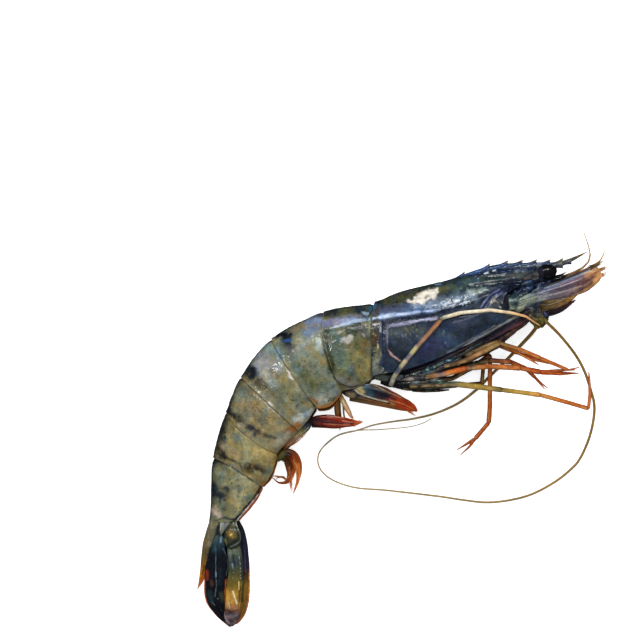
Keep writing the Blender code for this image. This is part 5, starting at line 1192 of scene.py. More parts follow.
farLeg = [(0, (34, 40, 38)), (0.3, (120, 48, 14)), (0.6, (166, 58, 4)), (1, (176, 62, 8))]
legLook = dict(
    step=0.3, sides=18,
    legs={  # points, then which points are joints, then the colour stops
        "leg_near_1": (
            [
                (22.4, 26, 13.4, 0.95), (28, 28.6, 13, 0.95), (33.8, 30.9, 12.2, 0.75),
                (38.9, 28.2, 12, 0.65), (44, 25.4, 12.6, 0.6), (48.1, 22.8, 13.6, 0.15),
            ],
            [2, 3],
            [
                (0, (46, 48, 36)), (0.2, (120, 92, 56)), (0.33, (160, 128, 80)), (0.42, (150, 112, 58)),
                (0.5, (180, 108, 46)), (0.7, (184, 94, 26)), (1, (190, 92, 26)),
            ],
        ),
        "leg_near_2": (
            [
                (15, 22.4, 15.1, 1.05), (22.4, 24.3, 15.3, 1), (29, 27.6, 15, 0.85), (34.5, 30.4, 14.6, 0.8),
                (41.7, 28.2, 14, 0.75), (48.7, 25.2, 13.6, 0.75), (55.7, 22.2, 13.2, 0.65),
                (58.5, 21, 13, 0.5), (62.3, 22, 12.8, 0.15),
            ],
            [3, 5, 7],
            [
                (0, (34, 40, 36)), (0.16, (96, 66, 40)), (0.24, (150, 104, 64)), (0.36, (140, 112, 66)),
                (0.42, (110, 84, 40)), (0.5, (136, 84, 36)), (0.6, (176, 94, 34)), (0.8, (180, 86, 22)),
                (1, (182, 78, 16)),
            ],
        ),
        "leg_near_3": (
            [
                (8.5, 18.6, 15.3, 1.1), (14, 19.4, 15, 1.05), (22.6, 21.6, 14.2, 1), (30.8, 22.3, 13, 0.95),
                (41.7, 21.7, 11.6, 0.95), (48.7, 20.3, 11, 0.95), (55.7, 19.8, 10.9, 0.8),
                (62.3, 19.9, 10.8, 0.15),
            ],
            [2, 4, 5],
            [
                (0, (40, 42, 44)), (0.05, (150, 106, 60)), (0.1, (84, 76, 90)), (0.15, (184, 96, 30)),
                (0.24, (190, 80, 10)), (0.3, (74, 70, 60)), (0.34, (178, 112, 52)), (0.42, (170, 84, 24)),
                (0.5, (190, 108, 44)), (0.7, (174, 70, 12)), (1, (178, 70, 12)),
            ],
        ),
        "leg_near_4": (
            [
                (3, 15.5, 14.7, 1.2), (10, 15.8, 14.7, 1.2), (19.5, 16.1, 14.9, 1.1), (35.1, 14.1, 14.2, 0.9),
                (48.7, 12.3, 12.8, 0.85), (59.2, 9.4, 11, 0.8), (65.6, 7.5, 10, 0.7), (66.1, 12.3, 9.7, 0.65),
                (65.9, 18.2, 9.5, 0.4), (65.7, 20.5, 9.4, 0.15),
            ],
            [3, 4, 6],
            [
                (0, (26, 32, 30)), (0.14, (34, 46, 42)), (0.2, (70, 82, 60)), (0.26, (166, 138, 56)),
                (0.37, (152, 122, 46)), (0.41, (96, 86, 36)), (0.48, (176, 140, 50)), (0.56, (194, 150, 64)),
                (0.6, (206, 128, 50)), (0.74, (186, 92, 26)), (1, (178, 74, 20)),
            ],
        ),
        "leg_far_1": (
            [
                (21, 22.8, 3.4, 0.9), (28, 26.4, 3.6, 0.9), (34.3, 29.6, 4.6, 0.85), (41, 27, 5.4, 0.75),
                (47, 24.6, 5.8, 0.6), (53, 22.9, 6, 0.15),
            ],
            [2, 3], farLeg,
        ),
        "leg_far_2": (
            [
                (13.5, 19.6, 4.6, 1), (21, 22, 7, 1), (30.8, 24.4, 9.2, 0.95), (38.5, 23.8, 8.8, 0.9),
                (43.6, 21.6, 8.2, 0.8), (47, 18.3, 7.8, 0.6), (50.4, 14.2, 7.4, 0.15),
            ],
            [2, 3, 5],
            [
                (0, (28, 38, 38)), (0.3, (40, 44, 38)), (0.42, (70, 50, 30)), (0.5, (130, 56, 20)),
                (0.7, (174, 72, 14)), (1, (182, 84, 22)),
            ],
        ),
        "leg_far_3": (
            [
                (9, 17.2, 3, 1), (18, 18, 1.9, 0.95), (25, 21.8, 2.2, 0.9), (31.2, 26.2, 4.8, 0.85),
                (31.2, 18, 5.4, 0.85), (31.2, 8, 4.4, 0.85), (30.8, 2.5, 3.6, 0.85), (26.1, -3.1, 2.6, 0.8),
                (19.5, -7.2, 1.3, 0.15),
            ],
            [3, 6, 7],
            [
                (0, (34, 38, 36)), (0.25, (76, 46, 26)), (0.4, (130, 56, 22)), (0.55, (182, 88, 24)),
                (0.75, (174, 78, 18)), (0.88, (166, 70, 16)), (1, (182, 84, 24)),
            ],
        ),
        "leg_far_4": (
            [
                (3, 15.6, 3, 1.1), (12, 14.9, 2, 0.9), (20, 15.6, 2.2, 0.8), (28.4, 16.2, 3.4, 0.8),
                (28.8, 20.6, 3.2, 0.75), (29, 23.4, 1.4, 0.5), (29.2, 25.6, 0.8, 0.15),
            ],
            [2, 3, 5], [(0, (30, 36, 34)), (0.5, (64, 50, 24)), (0.75, (96, 66, 22)), (1, (120, 76, 26))],
        ),
        "leg_far_5": (
            [
                (-3, 15.8, 4.2, 1), (2, 14.4, 2.2, 0.8), (8, 14.1, 1.4, 0.6), (14, 14.6, 1.2, 0.4),
                (19, 15.4, 1.2, 0.15),
            ],
            [2, 3], [(0, (22, 28, 30)), (0.6, (30, 34, 32)), (1, (70, 48, 28))],
        ),
        "maxilliped_near": (
            [
                (25, 26.1, 9.9, 1), (30, 28.5, 9.9, 1.2), (36, 32.7, 9.8, 1.2), (40, 35.8, 9.6, 0.9),
                (43.5, 37.4, 9.4, 0.3),
            ],
            [2, 3], [(0, (30, 32, 40)), (0.5, (48, 38, 50)), (1, (70, 46, 54))],
        ),
        "maxilliped_far": (
            [
                (25, 25.1, 6.8, 1), (30, 27.5, 6.8, 1.2), (36, 31.9, 6.8, 1.2), (40, 35, 6.6, 0.9),
                (43.5, 36.8, 6.4, 0.3),
            ],
            [2, 3], [(0, (30, 32, 38)), (0.6, (50, 36, 44)), (1, (96, 40, 34))],
        ),
    },
    fingers={
        "leg_near_3": [(48, 20.4, 11, 0.6), (55, 20.9, 11.8, 0.5), (61, 21, 12, 0.15)],
        "leg_far_2": [(46.6, 18.8, 7.8, 0.5), (49.2, 16.3, 7.2, 0.35), (51.4, 14.6, 6.6, 0.15)],
        "leg_far_3": [(26.3, -2.9, 2.6, 0.6), (24, -6, 2.2, 0.45), (20.9, -8.9, 1.6, 0.15)],
    },
)


def makeLimb(name, points, joints, stops, nodes, seed, surface="legFinish", topHighlightShare=0.36):
    # a jointed limb: straight segments rounded at the bends, widening to each joint, with a dark ring there;
    # a painted highlight runs along its top, and painted shade darkens it towards its underside
    line, even = evenLine(points, legLook["step"], False)
    for _ in range(2):
        line[1:-1] = (line[:-2] + 2 * line[1:-1] + line[2:]) / 4
    fine = np.asarray(points, float)
    run = np.concatenate([[0], np.cumsum(np.linalg.norm(np.diff(fine[:, :3], axis=0), axis=1))])
    knots = [0.0] + [run[j] for j in joints] + [run[-1]]
    swell = segmentSwell(even, knots)
    radius = line[:, 3] * swell * (1 + 0.05 * grain(line[:, :3], 1.2, seed, 2))
    rings = limbRings(line, radius, legLook["sides"], 0.9)
    share = even / even[-1]
    tint = stopTint(stops, share)[:, None, :] * np.ones((1, legLook["sides"], 1))
    angle = roundAngles(legLook["sides"])
    # painted highlight: a pale orange streak along the top of the limb
    paintedTopHighlight = np.clip(np.sin(angle + 0.35), 0, 1)[None, :] ** 9 * topHighlightShare
    paintedTopHighlight = paintedTopHighlight * (0.7 + 0.9 * grain(rings, 1.6, seed + 2, 2))
    tint = tint + (np.array([0.62, 0.38, 0.15]) - tint) * np.clip(paintedTopHighlight, 0, 0.6)[..., None]
    # painted shade: lighter on top, darker underneath
    paintedUnderShade = 0.64 + 0.44 * np.clip(np.sin(angle), -1, 1)[None, :]
    dark = np.ones_like(even)
    for knot in knots[1:-1]:
        dark = dark - 0.5 * np.exp(-((even - knot) / 0.3) ** 2)
    tint = tint * paintedUnderShade[..., None] * dark[:, None, None]
    tint = tint * (1 + 0.22 * grain(rings, 1.3, seed + 1, 3))[..., None]
    makeSolid(name, rings, limit(tint), finish[surface], nodes)


def makeLegs(look):
    for number, (name, (points, joints, stops)) in enumerate(look["legs"].items()):
        makeLimb(name.replace("_", ""), points, joints, stops, [name], 100 + number)
        if name in look["fingers"]:
            makeLimb(name.replace("_", "") + "Finger", look["fingers"][name], [], stops[-2:], (),
                     200 + number)


makeLegs(legLook)


flankLegLook = dict(
    points=[
        (-3.6, 15.7, 0.95), (-2.6, 18.4, 0.95), (0, 22.4, 0.95), (5.2, 28.9, 0.9), (9.8, 34, 0.85),
        (14.3, 39.2, 0.8), (20.6, 41, 0.72), (31.1, 42, 0.66), (38.5, 41, 0.55),
    ],
    tip=[(43.4, 39.8, 15.2, 0.4), (48.4, 36.6, 13.8, 0.15)], rootHeight=14.2, clearance=0.15,
    stops=[
        (0, (112, 110, 100)), (0.04, (146, 150, 136)), (0.075, (150, 150, 120)), (0.09, (74, 92, 116)),
        (0.125, (74, 84, 100)), (0.14, (168, 162, 128)), (0.17, (176, 170, 134)), (0.185, (92, 92, 114)),
        (0.215, (104, 102, 122)), (0.228, (176, 168, 116)), (0.26, (180, 172, 128)), (0.275, (104, 92, 96)),
        (0.3, (140, 104, 86)), (0.42, (146, 98, 70)), (0.445, (118, 88, 60)), (0.453, (44, 34, 26)),
        (0.463, (176, 172, 152)), (0.5, (226, 214, 184)), (0.62, (240, 228, 202)), (0.78, (244, 220, 182)),
        (0.88, (228, 178, 120)), (1, (226, 166, 116)),
    ],
)


def flankHeight(x, y):  # height of the shield's upper skin over a point of the plan
    t, angle = np.meshgrid(np.linspace(0, 6, 240), np.linspace(0.05, np.pi - 0.05, 240))
    skin = bodySkin(carapaceLook["stations"], t, angle).reshape(-1, 3)
    return skin[np.argmin((skin[:, 0] - x) ** 2 + (skin[:, 1] - y) ** 2), 2]


def makeFlankLeg(look):
    # the last leg of the upper side, folded up so that it lies on the shield
    x, y, radius = look["points"][0]
    rows = [(x, y, look["rootHeight"], radius)]
    for x, y, radius in look["points"][1:]:
        reach = [flankHeight(x + dx, y + dy) for dx in (-1, 0, 1) for dy in (-1, 0, 1)]
        rows.append((x, y, max(*reach, look["rootHeight"]) + radius + look["clearance"], radius))
    rows += look["tip"]
    makeLimb("legnear5", rows, [5], look["stops"], ["leg_near_5"], 130)


makeFlankLeg(flankLegLook)


feelerLook = dict(
    antennules={
        "antennule_near": [
            (42.8, 49.5, 10.8, 1.4), (45.6, 50.3, 10.8, 1.6), (50, 51.5, 10.6, 1.5), (54, 52.8, 10.4, 1.1),
            (57.4, 53.6, 10.4, 0.8), (61, 55.4, 10.4, 0.45), (63.7, 56.9, 10.4, 0.4),
            (65.6, 58.9, 10.4, 0.36), (66.2, 61.3, 10.4, 0.3), (65.6, 64.4, 10.4, 0.24),
            (63.9, 69.3, 10.2, 0.15),
        ],
        "antennule_far": [
            (42.8, 48.4, 6.2, 1.4), (45.6, 49.3, 6.4, 1.6), (50, 50.4, 6.7, 1.5), (54, 51.6, 6.7, 1.1),
            (57.4, 52.8, 6.8, 0.8), (61.5, 54.8, 6.8, 0.5), (66.1, 56.9, 6.8, 0.42), (69.4, 58.8, 6.8, 0.34),
            (70.7, 60.9, 6.8, 0.24), (71.4, 63, 6.8, 0.15),
        ],
    },
    antennuleStops=[
        (0, (20, 30, 50)), (0.4, (24, 32, 44)), (0.47, (120, 84, 40)), (0.6, (150, 100, 50)),
        (1, (206, 170, 120)),
    ],
    bases={
        "antenna_near": [
            (43.2, 41.4, 10.6, 1.5), (46, 40.4, 10.8, 2.1), (49.4, 38.8, 10.6, 2), (50.9, 37.8, 10.2, 1.2),
        ],
        "antenna_far": [
            (43.2, 40.2, 6.3, 1.5), (45.8, 39.2, 6, 1.8), (48.2, 37.4, 5.4, 1.8), (47.4, 35.9, 5, 1),
        ],
    },
    baseStops=[(0, (40, 48, 58)), (0.4, (74, 76, 66)), (0.7, (128, 118, 58)), (1, (110, 96, 46))],
    whips={
        "antenna_near": [
            (55.6, 33.2, 8.2), (61.1, 26.4, 5.4), (64.4, 20.5, 3), (66.5, 14.4, 1.5), (67.9, 8.8, 0.8),
            (67.5, 2.7, 0.5), (65.8, -3.8, 0.45), (62.9, -10.1, 0.45), (60, -13.6, 0.4), (54.4, -18.1, 0.4),
            (46.3, -22.5, 0.4), (38.3, -24.7, 0.4), (30.2, -25.5, 0.4), (22.2, -24.7, 0.4),
            (14.2, -23.5, 0.35), (4.2, -22.3, 0.35), (-5.7, -21.2, 0.3), (-16, -20.3, 0.3),
            (-23.6, -17.8, 0.3), (-28, -14.2, 0.3), (-29.1, -10, 0.3), (-27.3, -6.2, 0.25), (-22, -2, 0.25),
            (-15.2, -0.3, 0.25), (-7.7, 0, 0.25), (2.3, 0.9, 0.25), (7.5, 2.2, 0.25), (10.8, 3.9, 0.25),
        ],
        "antenna_far": [
            (45.1, 32.9, 3.8), (37.1, 24.5, 2), (31.1, 18.6, 1.3), (26.9, 14.3, 0.8), (20.4, 9.4, 0.6),
            (12.4, 5.8, 0.6), (4.3, 3.8, 0.6), (-3, 2.8, 0.6), (-9.6, 1.6, 0.7), (-15.6, -0.3, 0.75),
            (-22, -2.1, 0.8), (-26.4, -5.4, 0.75),
        ],
    },
    whipRadii={"antenna_near": (0.55, 0.16), "antenna_far": (0.66, 0.18)},
    whipStops=[
        (0, (150, 110, 46)), (0.3, (162, 126, 60)), (0.6, (176, 146, 84)), (0.85, (208, 180, 128)),
        (1, (226, 208, 172)),
    ],
    whipStep=0.28, ringLength=0.84, whipSides=8,
)


def makeFeelers(look):
    # a whip is a fine tube on the ground, from its base on; its radius swells once for each ring
    for number, (name, points) in enumerate(look["antennules"].items()):
        plain = name.replace("_", "")
        makeLimb(plain, points, [2, 3, 4], look["antennuleStops"], [name], 140 + number)
    for number, (name, points) in enumerate(look["bases"].items()):
        plain = name.replace("_", "")
        makeLimb(plain + "Base", points, [1, 2], look["baseStops"], [name + "_base"], 150 + number)
        root = np.array(points[-1][:3])
        first = np.array(look["whips"][name][0])
        root = root - 0.4 * (first - root) / np.linalg.norm(first - root)
        line, even = evenLine([tuple(root)] + look["whips"][name], look["whipStep"])
        thick, thin = look["whipRadii"][name]
        share = even / even[-1]
        phase = np.cos(2 * np.pi * even / look["ringLength"])
        radius = (thick + (thin - thick) * share) * (1 + 0.07 * phase)
        line[:, 2] = np.maximum(line[:, 2], radius)
        rings = limbRings(line, radius, look["whipSides"])
        tint = stopTint(look["whipStops"], share)[:, None, :] * np.ones((1, look["whipSides"], 1))
        tint = tint * (0.86 + 0.14 * phase)[:, None, None]
        tint = tint * (1 + 0.2 * grain(rings, 4.0, 160 + number, 3))[..., None]
        makeSolid(plain + "Whip", rings, tint, finish["feelerFinish"], [name], 70)


makeFeelers(feelerLook)
print("limbs and feelers done")


# Flat pieces. A row: x, y, z of the middle line, half width in the plan, half thickness.

def leafRings(rows, step, sides, ridges, wave, seed):
    # a leaf: across each point of the line an oval, wide in the plan and thin across it; ridges run
    # lengthwise at a share of the width from -1 to 1 and stand up on both faces
    line, even = evenLine(rows, step)
    line[:, 3:5] = np.maximum(line[:, 3:5], 0.10)
    share = even / even[-1]
    along = np.gradient(line[:, 0:2], axis=0)
    along /= np.linalg.norm(along, axis=1)[:, None]
    side = np.column_stack([-along[:, 1], along[:, 0], np.zeros(len(line))])
    angle = roundAngles(sides)
    across = np.cos(angle)[None, :] + 0 * share[:, None]
    face = np.sign(np.sin(angle)) * np.abs(np.sin(angle)) ** 0.8
    lift = face[None, :] * line[:, 4][:, None]
    for place, width, height in ridges:
        ridge = height * np.exp(-((across - place) / width) ** 2) * ease((1 - share) * 6)[:, None]
        lift = lift + ridge * np.sign(face)[None, :] * ease(np.abs(face) * 4)[None, :]
    width = line[:, 3] * (1 + wave * grain(line[:, :3], 2.0, seed, 2))
    lift = lift + np.sign(face)[None, :] * 0.07 * fibres(across, share, 8.0, seed + 5)
    rings = line[:, None, :3] + across[..., None] * side[:, None, :] * width[:, None, None]
    rings[..., 2] += lift
    rings[..., 2] = np.maximum(rings[..., 2], 0.0)
    return rings, share, across


def fibres(across, share, count, seed):  # lengthwise threads: grain that is fine across and long along a leaf
    place = np.stack([across * count, share[:, None] * 2.6 + 0 * across, 0 * across + 0.37 * seed], axis=-1)
    return grain(place, 1.0, seed, 3)


def makeLeaf(name, look, material, nodes=(), seed=1):
    rings, share, across = leafRings(look["rows"], look.get("step", 0.4), look.get("sides", 40),
                                     look["ridges"], look.get("wave", 0.03), seed)
    tint = stopTint(look["stops"], share)[:, None, :] * np.ones((1, rings.shape[1], 1))
    tint = tint * (1 + 0.25 * grain(rings, 1.8, seed + 1, 4))[..., None]
    tint = brush(rings, look.get("paint", []), tint, 0.4, seed + 2)
    thread = look.get("thread", 0.30) * fibres(across, share, look.get("threads", 8.0), seed + 6)
    warmth = 0.12 * fibres(across, share, look.get("threads", 8.0) * 0.6, seed + 7)
    tint = tint * np.clip(1 + thread, 0.3, 1.9)[..., None]
    tint = tint * np.stack([1 + warmth, 1 + 0 * warmth, 1 - warmth], axis=-1)
    tint = brush(rings, look.get("marks", []), tint, 0.3, seed + 3)
    for colour, width, line, count in look.get("dots", []):
        spots = curveAt(line, np.linspace(0, len(line) - 1, count))
        dots = [(colour, width, 0.08, 0.9, [tuple(spot)]) for spot in spots]
        tint = brush(rings, dots, tint, 0.2, seed + 4)
    colour, width, start, strength = look["rim"]
    edge = ease((np.abs(across) - 1 + width) / width) * ease((share - start) / 0.1)[:, None] * strength
    tint = blend(tint, colour, edge)
    makeSolid(name, rings, limit(tint), material, nodes)


tailLook = dict(
    telson=dict(
        rows=[
            (-64.6, -30.6, 4.6, 1.9, 2.4), (-65.4, -33.1, 4.4, 2, 2.8), (-66.5, -36.6, 4.3, 1.95, 2.6),
            (-67.7, -40.4, 4.2, 1.8, 2.2), (-68.5, -45, 4.1, 1.5, 1.7), (-69.8, -52, 3.8, 0.9, 0.9),
            (-71.3, -55.8, 3.6, 0.15, 0.15),
        ],
        sides=72, step=0.3, ridges=[(-0.45, 0.2, 0.35), (0, 0.2, -0.45), (0.45, 0.2, 0.35)],
        stops=[
            (0, (112, 110, 88)), (0.3, (116, 108, 78)), (0.55, (106, 92, 56)), (0.64, (150, 106, 42)),
            (0.75, (186, 112, 34)), (1, (196, 108, 44)),
        ],
        paint=[
            (
                (18, 44, 50), 0.42, 0.35, 0.92,
                [(-63.9, -33.9), (-65.3, -38.9), (-66.6, -42.9), (-67.9, -47.6)],
            ),
            ((134, 138, 120), 0.4, 0.4, 0.8, [(-65.8, -33.6), (-66.8, -37.6), (-67.8, -40.4)]),
            ((150, 108, 76), 0.2, 0.2, 0.7, [(-68.4, -38.4), (-69.6, -43)]),
            ((50, 24, 20), 0.35, 0.3, 0.85, [(-67.5, -44), (-68.2, -48.4)]),
            # painted shade along the telson's side
            ((22, 24, 20), 0.4, 0.35, 0.85, [(-66.9, -41.6), (-67.5, -44.2)]),
            ((64, 62, 48), 0.5, 0.5, 0.7, [(-66, -35.4), (-66.5, -38.6)]),
            ((80, 50, 22), 0.35, 0.35, 0.8, [(-69, -47.6), (-69.5, -50.6)]),
            ((226, 150, 60), 0.2, 0.2, 0.8, [(-69.8, -48.4), (-70.2, -51.4)]),
        ],
        dots=[((180, 200, 200), 0.1, [(-64.8, -37.4), (-65.8, -41)], 4)], rim=((140, 96, 52), 0.1, 0.2, 0.6),
        slot="tail_gold", nodes=["telson"],
    ),
    uropodStem=dict(
        rows=[
            (-61.4, -30.2, 6.2, 2.1, 1.2), (-61.8, -32, 6.4, 2.1, 1.2), (-62.4, -34.2, 6.4, 1.3, 0.9),
            (-63.1, -36.8, 6.2, 0.2, 0.3),
        ],
        sides=48, step=0.25, ridges=[(-0.4, 0.2, 0.15)],
        stops=[(0, (134, 134, 120)), (0.5, (150, 152, 140)), (1, (120, 124, 110))],
        paint=[
            ((24, 40, 44), 0.22, 0.2, 0.9, [(-63.5, -31.6), (-63.7, -34.4)]),
            ((196, 200, 186), 0.12, 0.14, 0.85, [(-63, -32.4), (-63.3, -35.2)]),
            ((90, 84, 96), 0.4, 0.4, 0.6, [(-61.6, -32.6), (-61.9, -34)]),
        ],
        rim=((50, 58, 54), 0.14, 0, 0.7), slot="tail_shell", nodes=[],
    ),
    uropodBaseNear=dict(
        rows=[
            (-58.4, -31, 5.8, 0.9, 0.9), (-58.8, -33.2, 6.4, 1.7, 1.3), (-59, -35.4, 6.9, 2.7, 1.8),
            (-58.95, -37.8, 7, 3.05, 1.9), (-59.4, -40, 6.7, 2.6, 1.5), (-60.2, -41.6, 6.2, 1.1, 0.7),
        ],
        sides=72, step=0.25, ridges=[(0.82, 0.1, 0.25), (-0.85, 0.1, 0.2)],
        stops=[(0, (70, 74, 60)), (0.3, (74, 70, 42)), (0.6, (62, 62, 42)), (1, (46, 50, 42))],
        paint=[
            # a gold patch that is partly a painted highlight
            ((186, 138, 48), 0.75, 0.7, 0.88, [(-59.9, -36.3), (-59, -36.9)]),
            ((146, 128, 50), 0.45, 0.4, 0.85, [(-61.7, -38.6), (-61.4, -40.2)]),
            ((20, 26, 24), 0.45, 0.4, 0.9, [(-60.6, -40.5), (-59.4, -40.2), (-58.4, -38.9)]),
            ((18, 24, 24), 0.22, 0.2, 0.92, [(-60, -33.4), (-61.7, -35.8), (-62.1, -38.6)]),
            ((24, 30, 30), 0.24, 0.2, 0.88, [(-57.8, -33.8), (-57, -36.2), (-56.8, -38.4), (-58.2, -39.4)]),
        ],
        marks=[
            # a painted highlight on the gold patch
            ((250, 214, 134), 0.26, 0.25, 0.95, [(-59.7, -36.8), (-59.3, -36.5)]),
            (
                (120, 138, 136), 0.11, 0.14, 0.88,
                [
                    (-58.2, -32.9), (-57.5, -33.6), (-56.9, -34.7), (-56.4, -36), (-56.15, -37.4),
                    (-56.2, -38.5), (-56.7, -39.3), (-57.6, -39.9), (-58.8, -40.5), (-59.8, -40.9),
                ],
            ),
        ],
        rim=((36, 44, 44), 0.1, 0, 0.7), slot="tail_gold", nodes=["uropod_base_near"],
    ),
    uropodBaseFar=dict(
        rows=[(-59.6, -31.4, 3.4, 1.5, 0.8), (-59.2, -35.4, 3.2, 2, 0.9), (-59.4, -38.2, 3, 1.6, 0.8)],
        ridges=[], stops=[(0, (80, 76, 48)), (1, (50, 52, 44))], rim=((40, 48, 48), 0.15, 0, 0.8),
        slot="tail_shell", nodes=["uropod_base_far"],
    ),
    uropodInnerNear=dict(
        rows=[
            (-62.8, -35.8, 5.2, 0.6, 0.6), (-63.7, -38.4, 5.4, 1.9, 0.7), (-64.3, -42, 5.6, 2.9, 0.6),
            (-64.4, -46, 5.7, 3.75, 0.5), (-64.8, -51, 5.2, 4.1, 0.5), (-65.1, -55.6, 4.5, 3.75, 0.5),
            (-64.9, -59.6, 4, 3.4, 0.5), (-63.6, -62.8, 3.6, 2.6, 0.45), (-61.6, -66.2, 3.2, 1.5, 0.4),
            (-59.6, -69, 3, 0.4, 0.3),
        ],
        sides=96, step=0.3, ridges=[(-0.12, 0.05, 0.3), (0.42, 0.05, 0.18), (-0.5, 0.07, 0.12)],
        stops=[
            (0, (40, 58, 66)), (0.08, (62, 88, 98)), (0.14, (30, 50, 60)), (0.24, (9, 14, 24)),
            (1, (9, 12, 20)),
        ],
        paint=[
            # a painted highlight at the head of the blade
            ((130, 162, 174), 0.26, 0.28, 0.75, [(-62.9, -37.4), (-63.1, -39.2)]),
            ((40, 78, 88), 0.45, 0.4, 0.8, [(-64.6, -40), (-65.4, -42.6)]),
            ((84, 56, 36), 0.55, 0.5, 0.75, [(-66.5, -53), (-66, -54.2)]),
            ((30, 52, 58), 0.8, 0.7, 0.75, [(-67, -57.4), (-66.4, -59.8)]),
            ((64, 70, 50), 0.65, 0.6, 0.8, [(-62.8, -57.6), (-62.3, -59.6)]),
            ((24, 40, 50), 0.6, 0.5, 0.7, [(-63.2, -49), (-63.4, -54)]),
            ((172, 58, 22), 0.34, 0.5, 0.68, [(-68, -49.6), (-67.8, -52.4)]),
            ((196, 100, 38), 0.22, 0.22, 0.92, [(-61.4, -52.6), (-61.5, -57.4)]),
        ],
        marks=[
            (
                (108, 132, 150), 0.09, 0.12, 0.85,
                [(-64.8, -41.4), (-64.9, -46.4), (-64.9, -51.1), (-64.6, -54.2), (-65.2, -58.6)],
            ),
            # a painted highlight on the midrib
            ((176, 196, 210), 0.1, 0.12, 0.9, [(-64.85, -49.8), (-64.85, -51.4)]),
            ((96, 116, 126), 0.08, 0.1, 0.8, [(-62.4, -41.4), (-60.9, -44.5), (-60.7, -48.2), (-61.2, -51)]),
            ((140, 160, 160), 0.12, 0.12, 0.85, [(-64.2, -59.2)]),
            ((120, 136, 140), 0.08, 0.1, 0.7, [(-66.4, -60.4), (-65.2, -61.4)]),
        ],
        rim=((206, 104, 34), 0.12, 0.42, 0.95), slot="tail_shell", nodes=["uropod_inner_near"],
    ),
    uropodOuterNear=dict(
        rows=[
            (-59.4, -38.4, 5.4, 1.4, 0.7), (-58.6, -41.4, 6.2, 2.3, 0.8), (-57.9, -46, 6.9, 2.6, 0.8),
            (-57.9, -51, 6.7, 2.7, 0.8), (-58.5, -56, 6.1, 2.85, 0.8), (-58.9, -61, 5.4, 2.7, 0.7),
            (-59.1, -64.6, 4.8, 2.8, 0.6), (-59.4, -67.2, 4.4, 2.1, 0.5), (-59.6, -68.8, 4.2, 0.8, 0.4),
        ],
        sides=96, step=0.3, ridges=[(0.7, 0.07, 0.3), (0.1, 0.2, 0.25), (-0.4, 0.1, -0.2)],
        stops=[
            (0, (60, 66, 56)), (0.12, (98, 106, 88)), (0.18, (84, 94, 80)), (0.27, (50, 60, 66)),
            (0.36, (74, 78, 52)), (0.48, (104, 92, 38)), (0.56, (128, 100, 34)), (0.62, (176, 134, 50)),
            (0.74, (170, 126, 58)), (0.82, (128, 88, 66)), (0.86, (58, 48, 52)), (0.95, (100, 84, 88)),
            (1, (60, 48, 48)),
        ],
        paint=[
            ((28, 34, 42), 0.32, 0.3, 0.88, [(-58.7, -44), (-58.3, -47.6)]),
            ((40, 44, 44), 0.45, 0.4, 0.85, [(-55.6, -42.4), (-55.4, -47), (-55.6, -52)]),
            # a painted bluish highlight
            ((126, 146, 156), 0.2, 0.22, 0.85, [(-59.1, -46.8), (-58.8, -48.4)]),
            ((48, 44, 22), 0.35, 0.3, 0.75, [(-56.4, -55.6), (-56.6, -60)]),
            ((206, 156, 62), 0.6, 0.6, 0.8, [(-60.3, -57.6), (-59.8, -60.4)]),
            ((180, 112, 88), 0.5, 0.45, 0.8, [(-59.4, -61.6), (-57.6, -62.4)]),
            ((26, 20, 20), 0.25, 0.25, 0.9, [(-61.6, -63.2), (-59.4, -63.8), (-57, -63)]),
            ((128, 112, 120), 0.5, 0.5, 0.8, [(-61.2, -65.4), (-59, -65.4), (-57.4, -64.8)]),
            ((16, 14, 18), 0.45, 0.35, 0.9, [(-60, -66.8), (-59, -67.2)]),
        ],
        marks=[
            # the next two cream strokes are painted highlights
            ((252, 236, 196), 0.26, 0.2, 0.95, [(-58.9, -56.6), (-58.2, -58.6)]),
            ((250, 232, 196), 0.2, 0.2, 0.92, [(-58.1, -58.8), (-57.5, -60.8)]),
            ((236, 204, 136), 0.12, 0.14, 0.9, [(-56.8, -53), (-56.7, -56)]),
            ((180, 164, 166), 0.1, 0.12, 0.8, [(-61.9, -64.2), (-61.4, -66.2), (-60.2, -67.8)]),
            ((226, 206, 160), 0.1, 0.12, 0.8, [(-60.6, -59.8), (-60, -62.4)]),
        ],
        dots=[
            ((234, 236, 222), 0.1, [(-56.6, -44.6), (-56.2, -48), (-56.1, -51.9)], 10),
            ((220, 224, 200), 0.09, [(-58.5, -48.8), (-58.9, -52)], 4),
        ],
        rim=((50, 40, 34), 0.07, 0, 0.7), slot="tail_gold", nodes=["uropod_outer_near"],
    ),
    uropodInnerFar=dict(
        rows=[
            (-60.4, -37.6, 2.2, 0.8, 0.4), (-61.4, -46, 2, 2.6, 0.4), (-61.8, -55, 1.9, 3, 0.4),
            (-61.4, -61, 1.8, 2.2, 0.4), (-60.8, -64.6, 1.8, 0.4, 0.3),
        ],
        ridges=[(0, 0.08, 0.3)], stops=[(0, (40, 56, 64)), (0.3, (10, 14, 24)), (1, (24, 26, 34))],
        rim=((206, 112, 44), 0.1, 0.4, 0.9), slot="tail_shell", nodes=["uropod_inner_far"],
    ),
    uropodOuterFar=dict(
        rows=[
            (-57.6, -31.6, 1.7, 0.8, 0.5), (-56.7, -36.4, 0.9, 2.1, 0.5), (-55.8, -43.3, 0.55, 2.4, 0.5),
            (-55.6, -51, 0.55, 2.6, 0.5), (-55.7, -58, 0.55, 2.5, 0.5), (-56.1, -63, 0.55, 2.1, 0.5),
            (-57.2, -66.6, 0.55, 1.2, 0.4), (-58, -68.2, 0.55, 0.3, 0.3),
        ],
        sides=64, step=0.3, ridges=[(-0.2, 0.1, 0.2), (0.3, 0.1, 0.2)],
        stops=[
            (0, (20, 30, 36)), (0.2, (32, 38, 52)), (0.45, (42, 34, 56)), (0.53, (74, 56, 38)),
            (0.62, (132, 100, 34)), (0.85, (120, 88, 30)), (1, (170, 90, 34)),
        ],
        paint=[
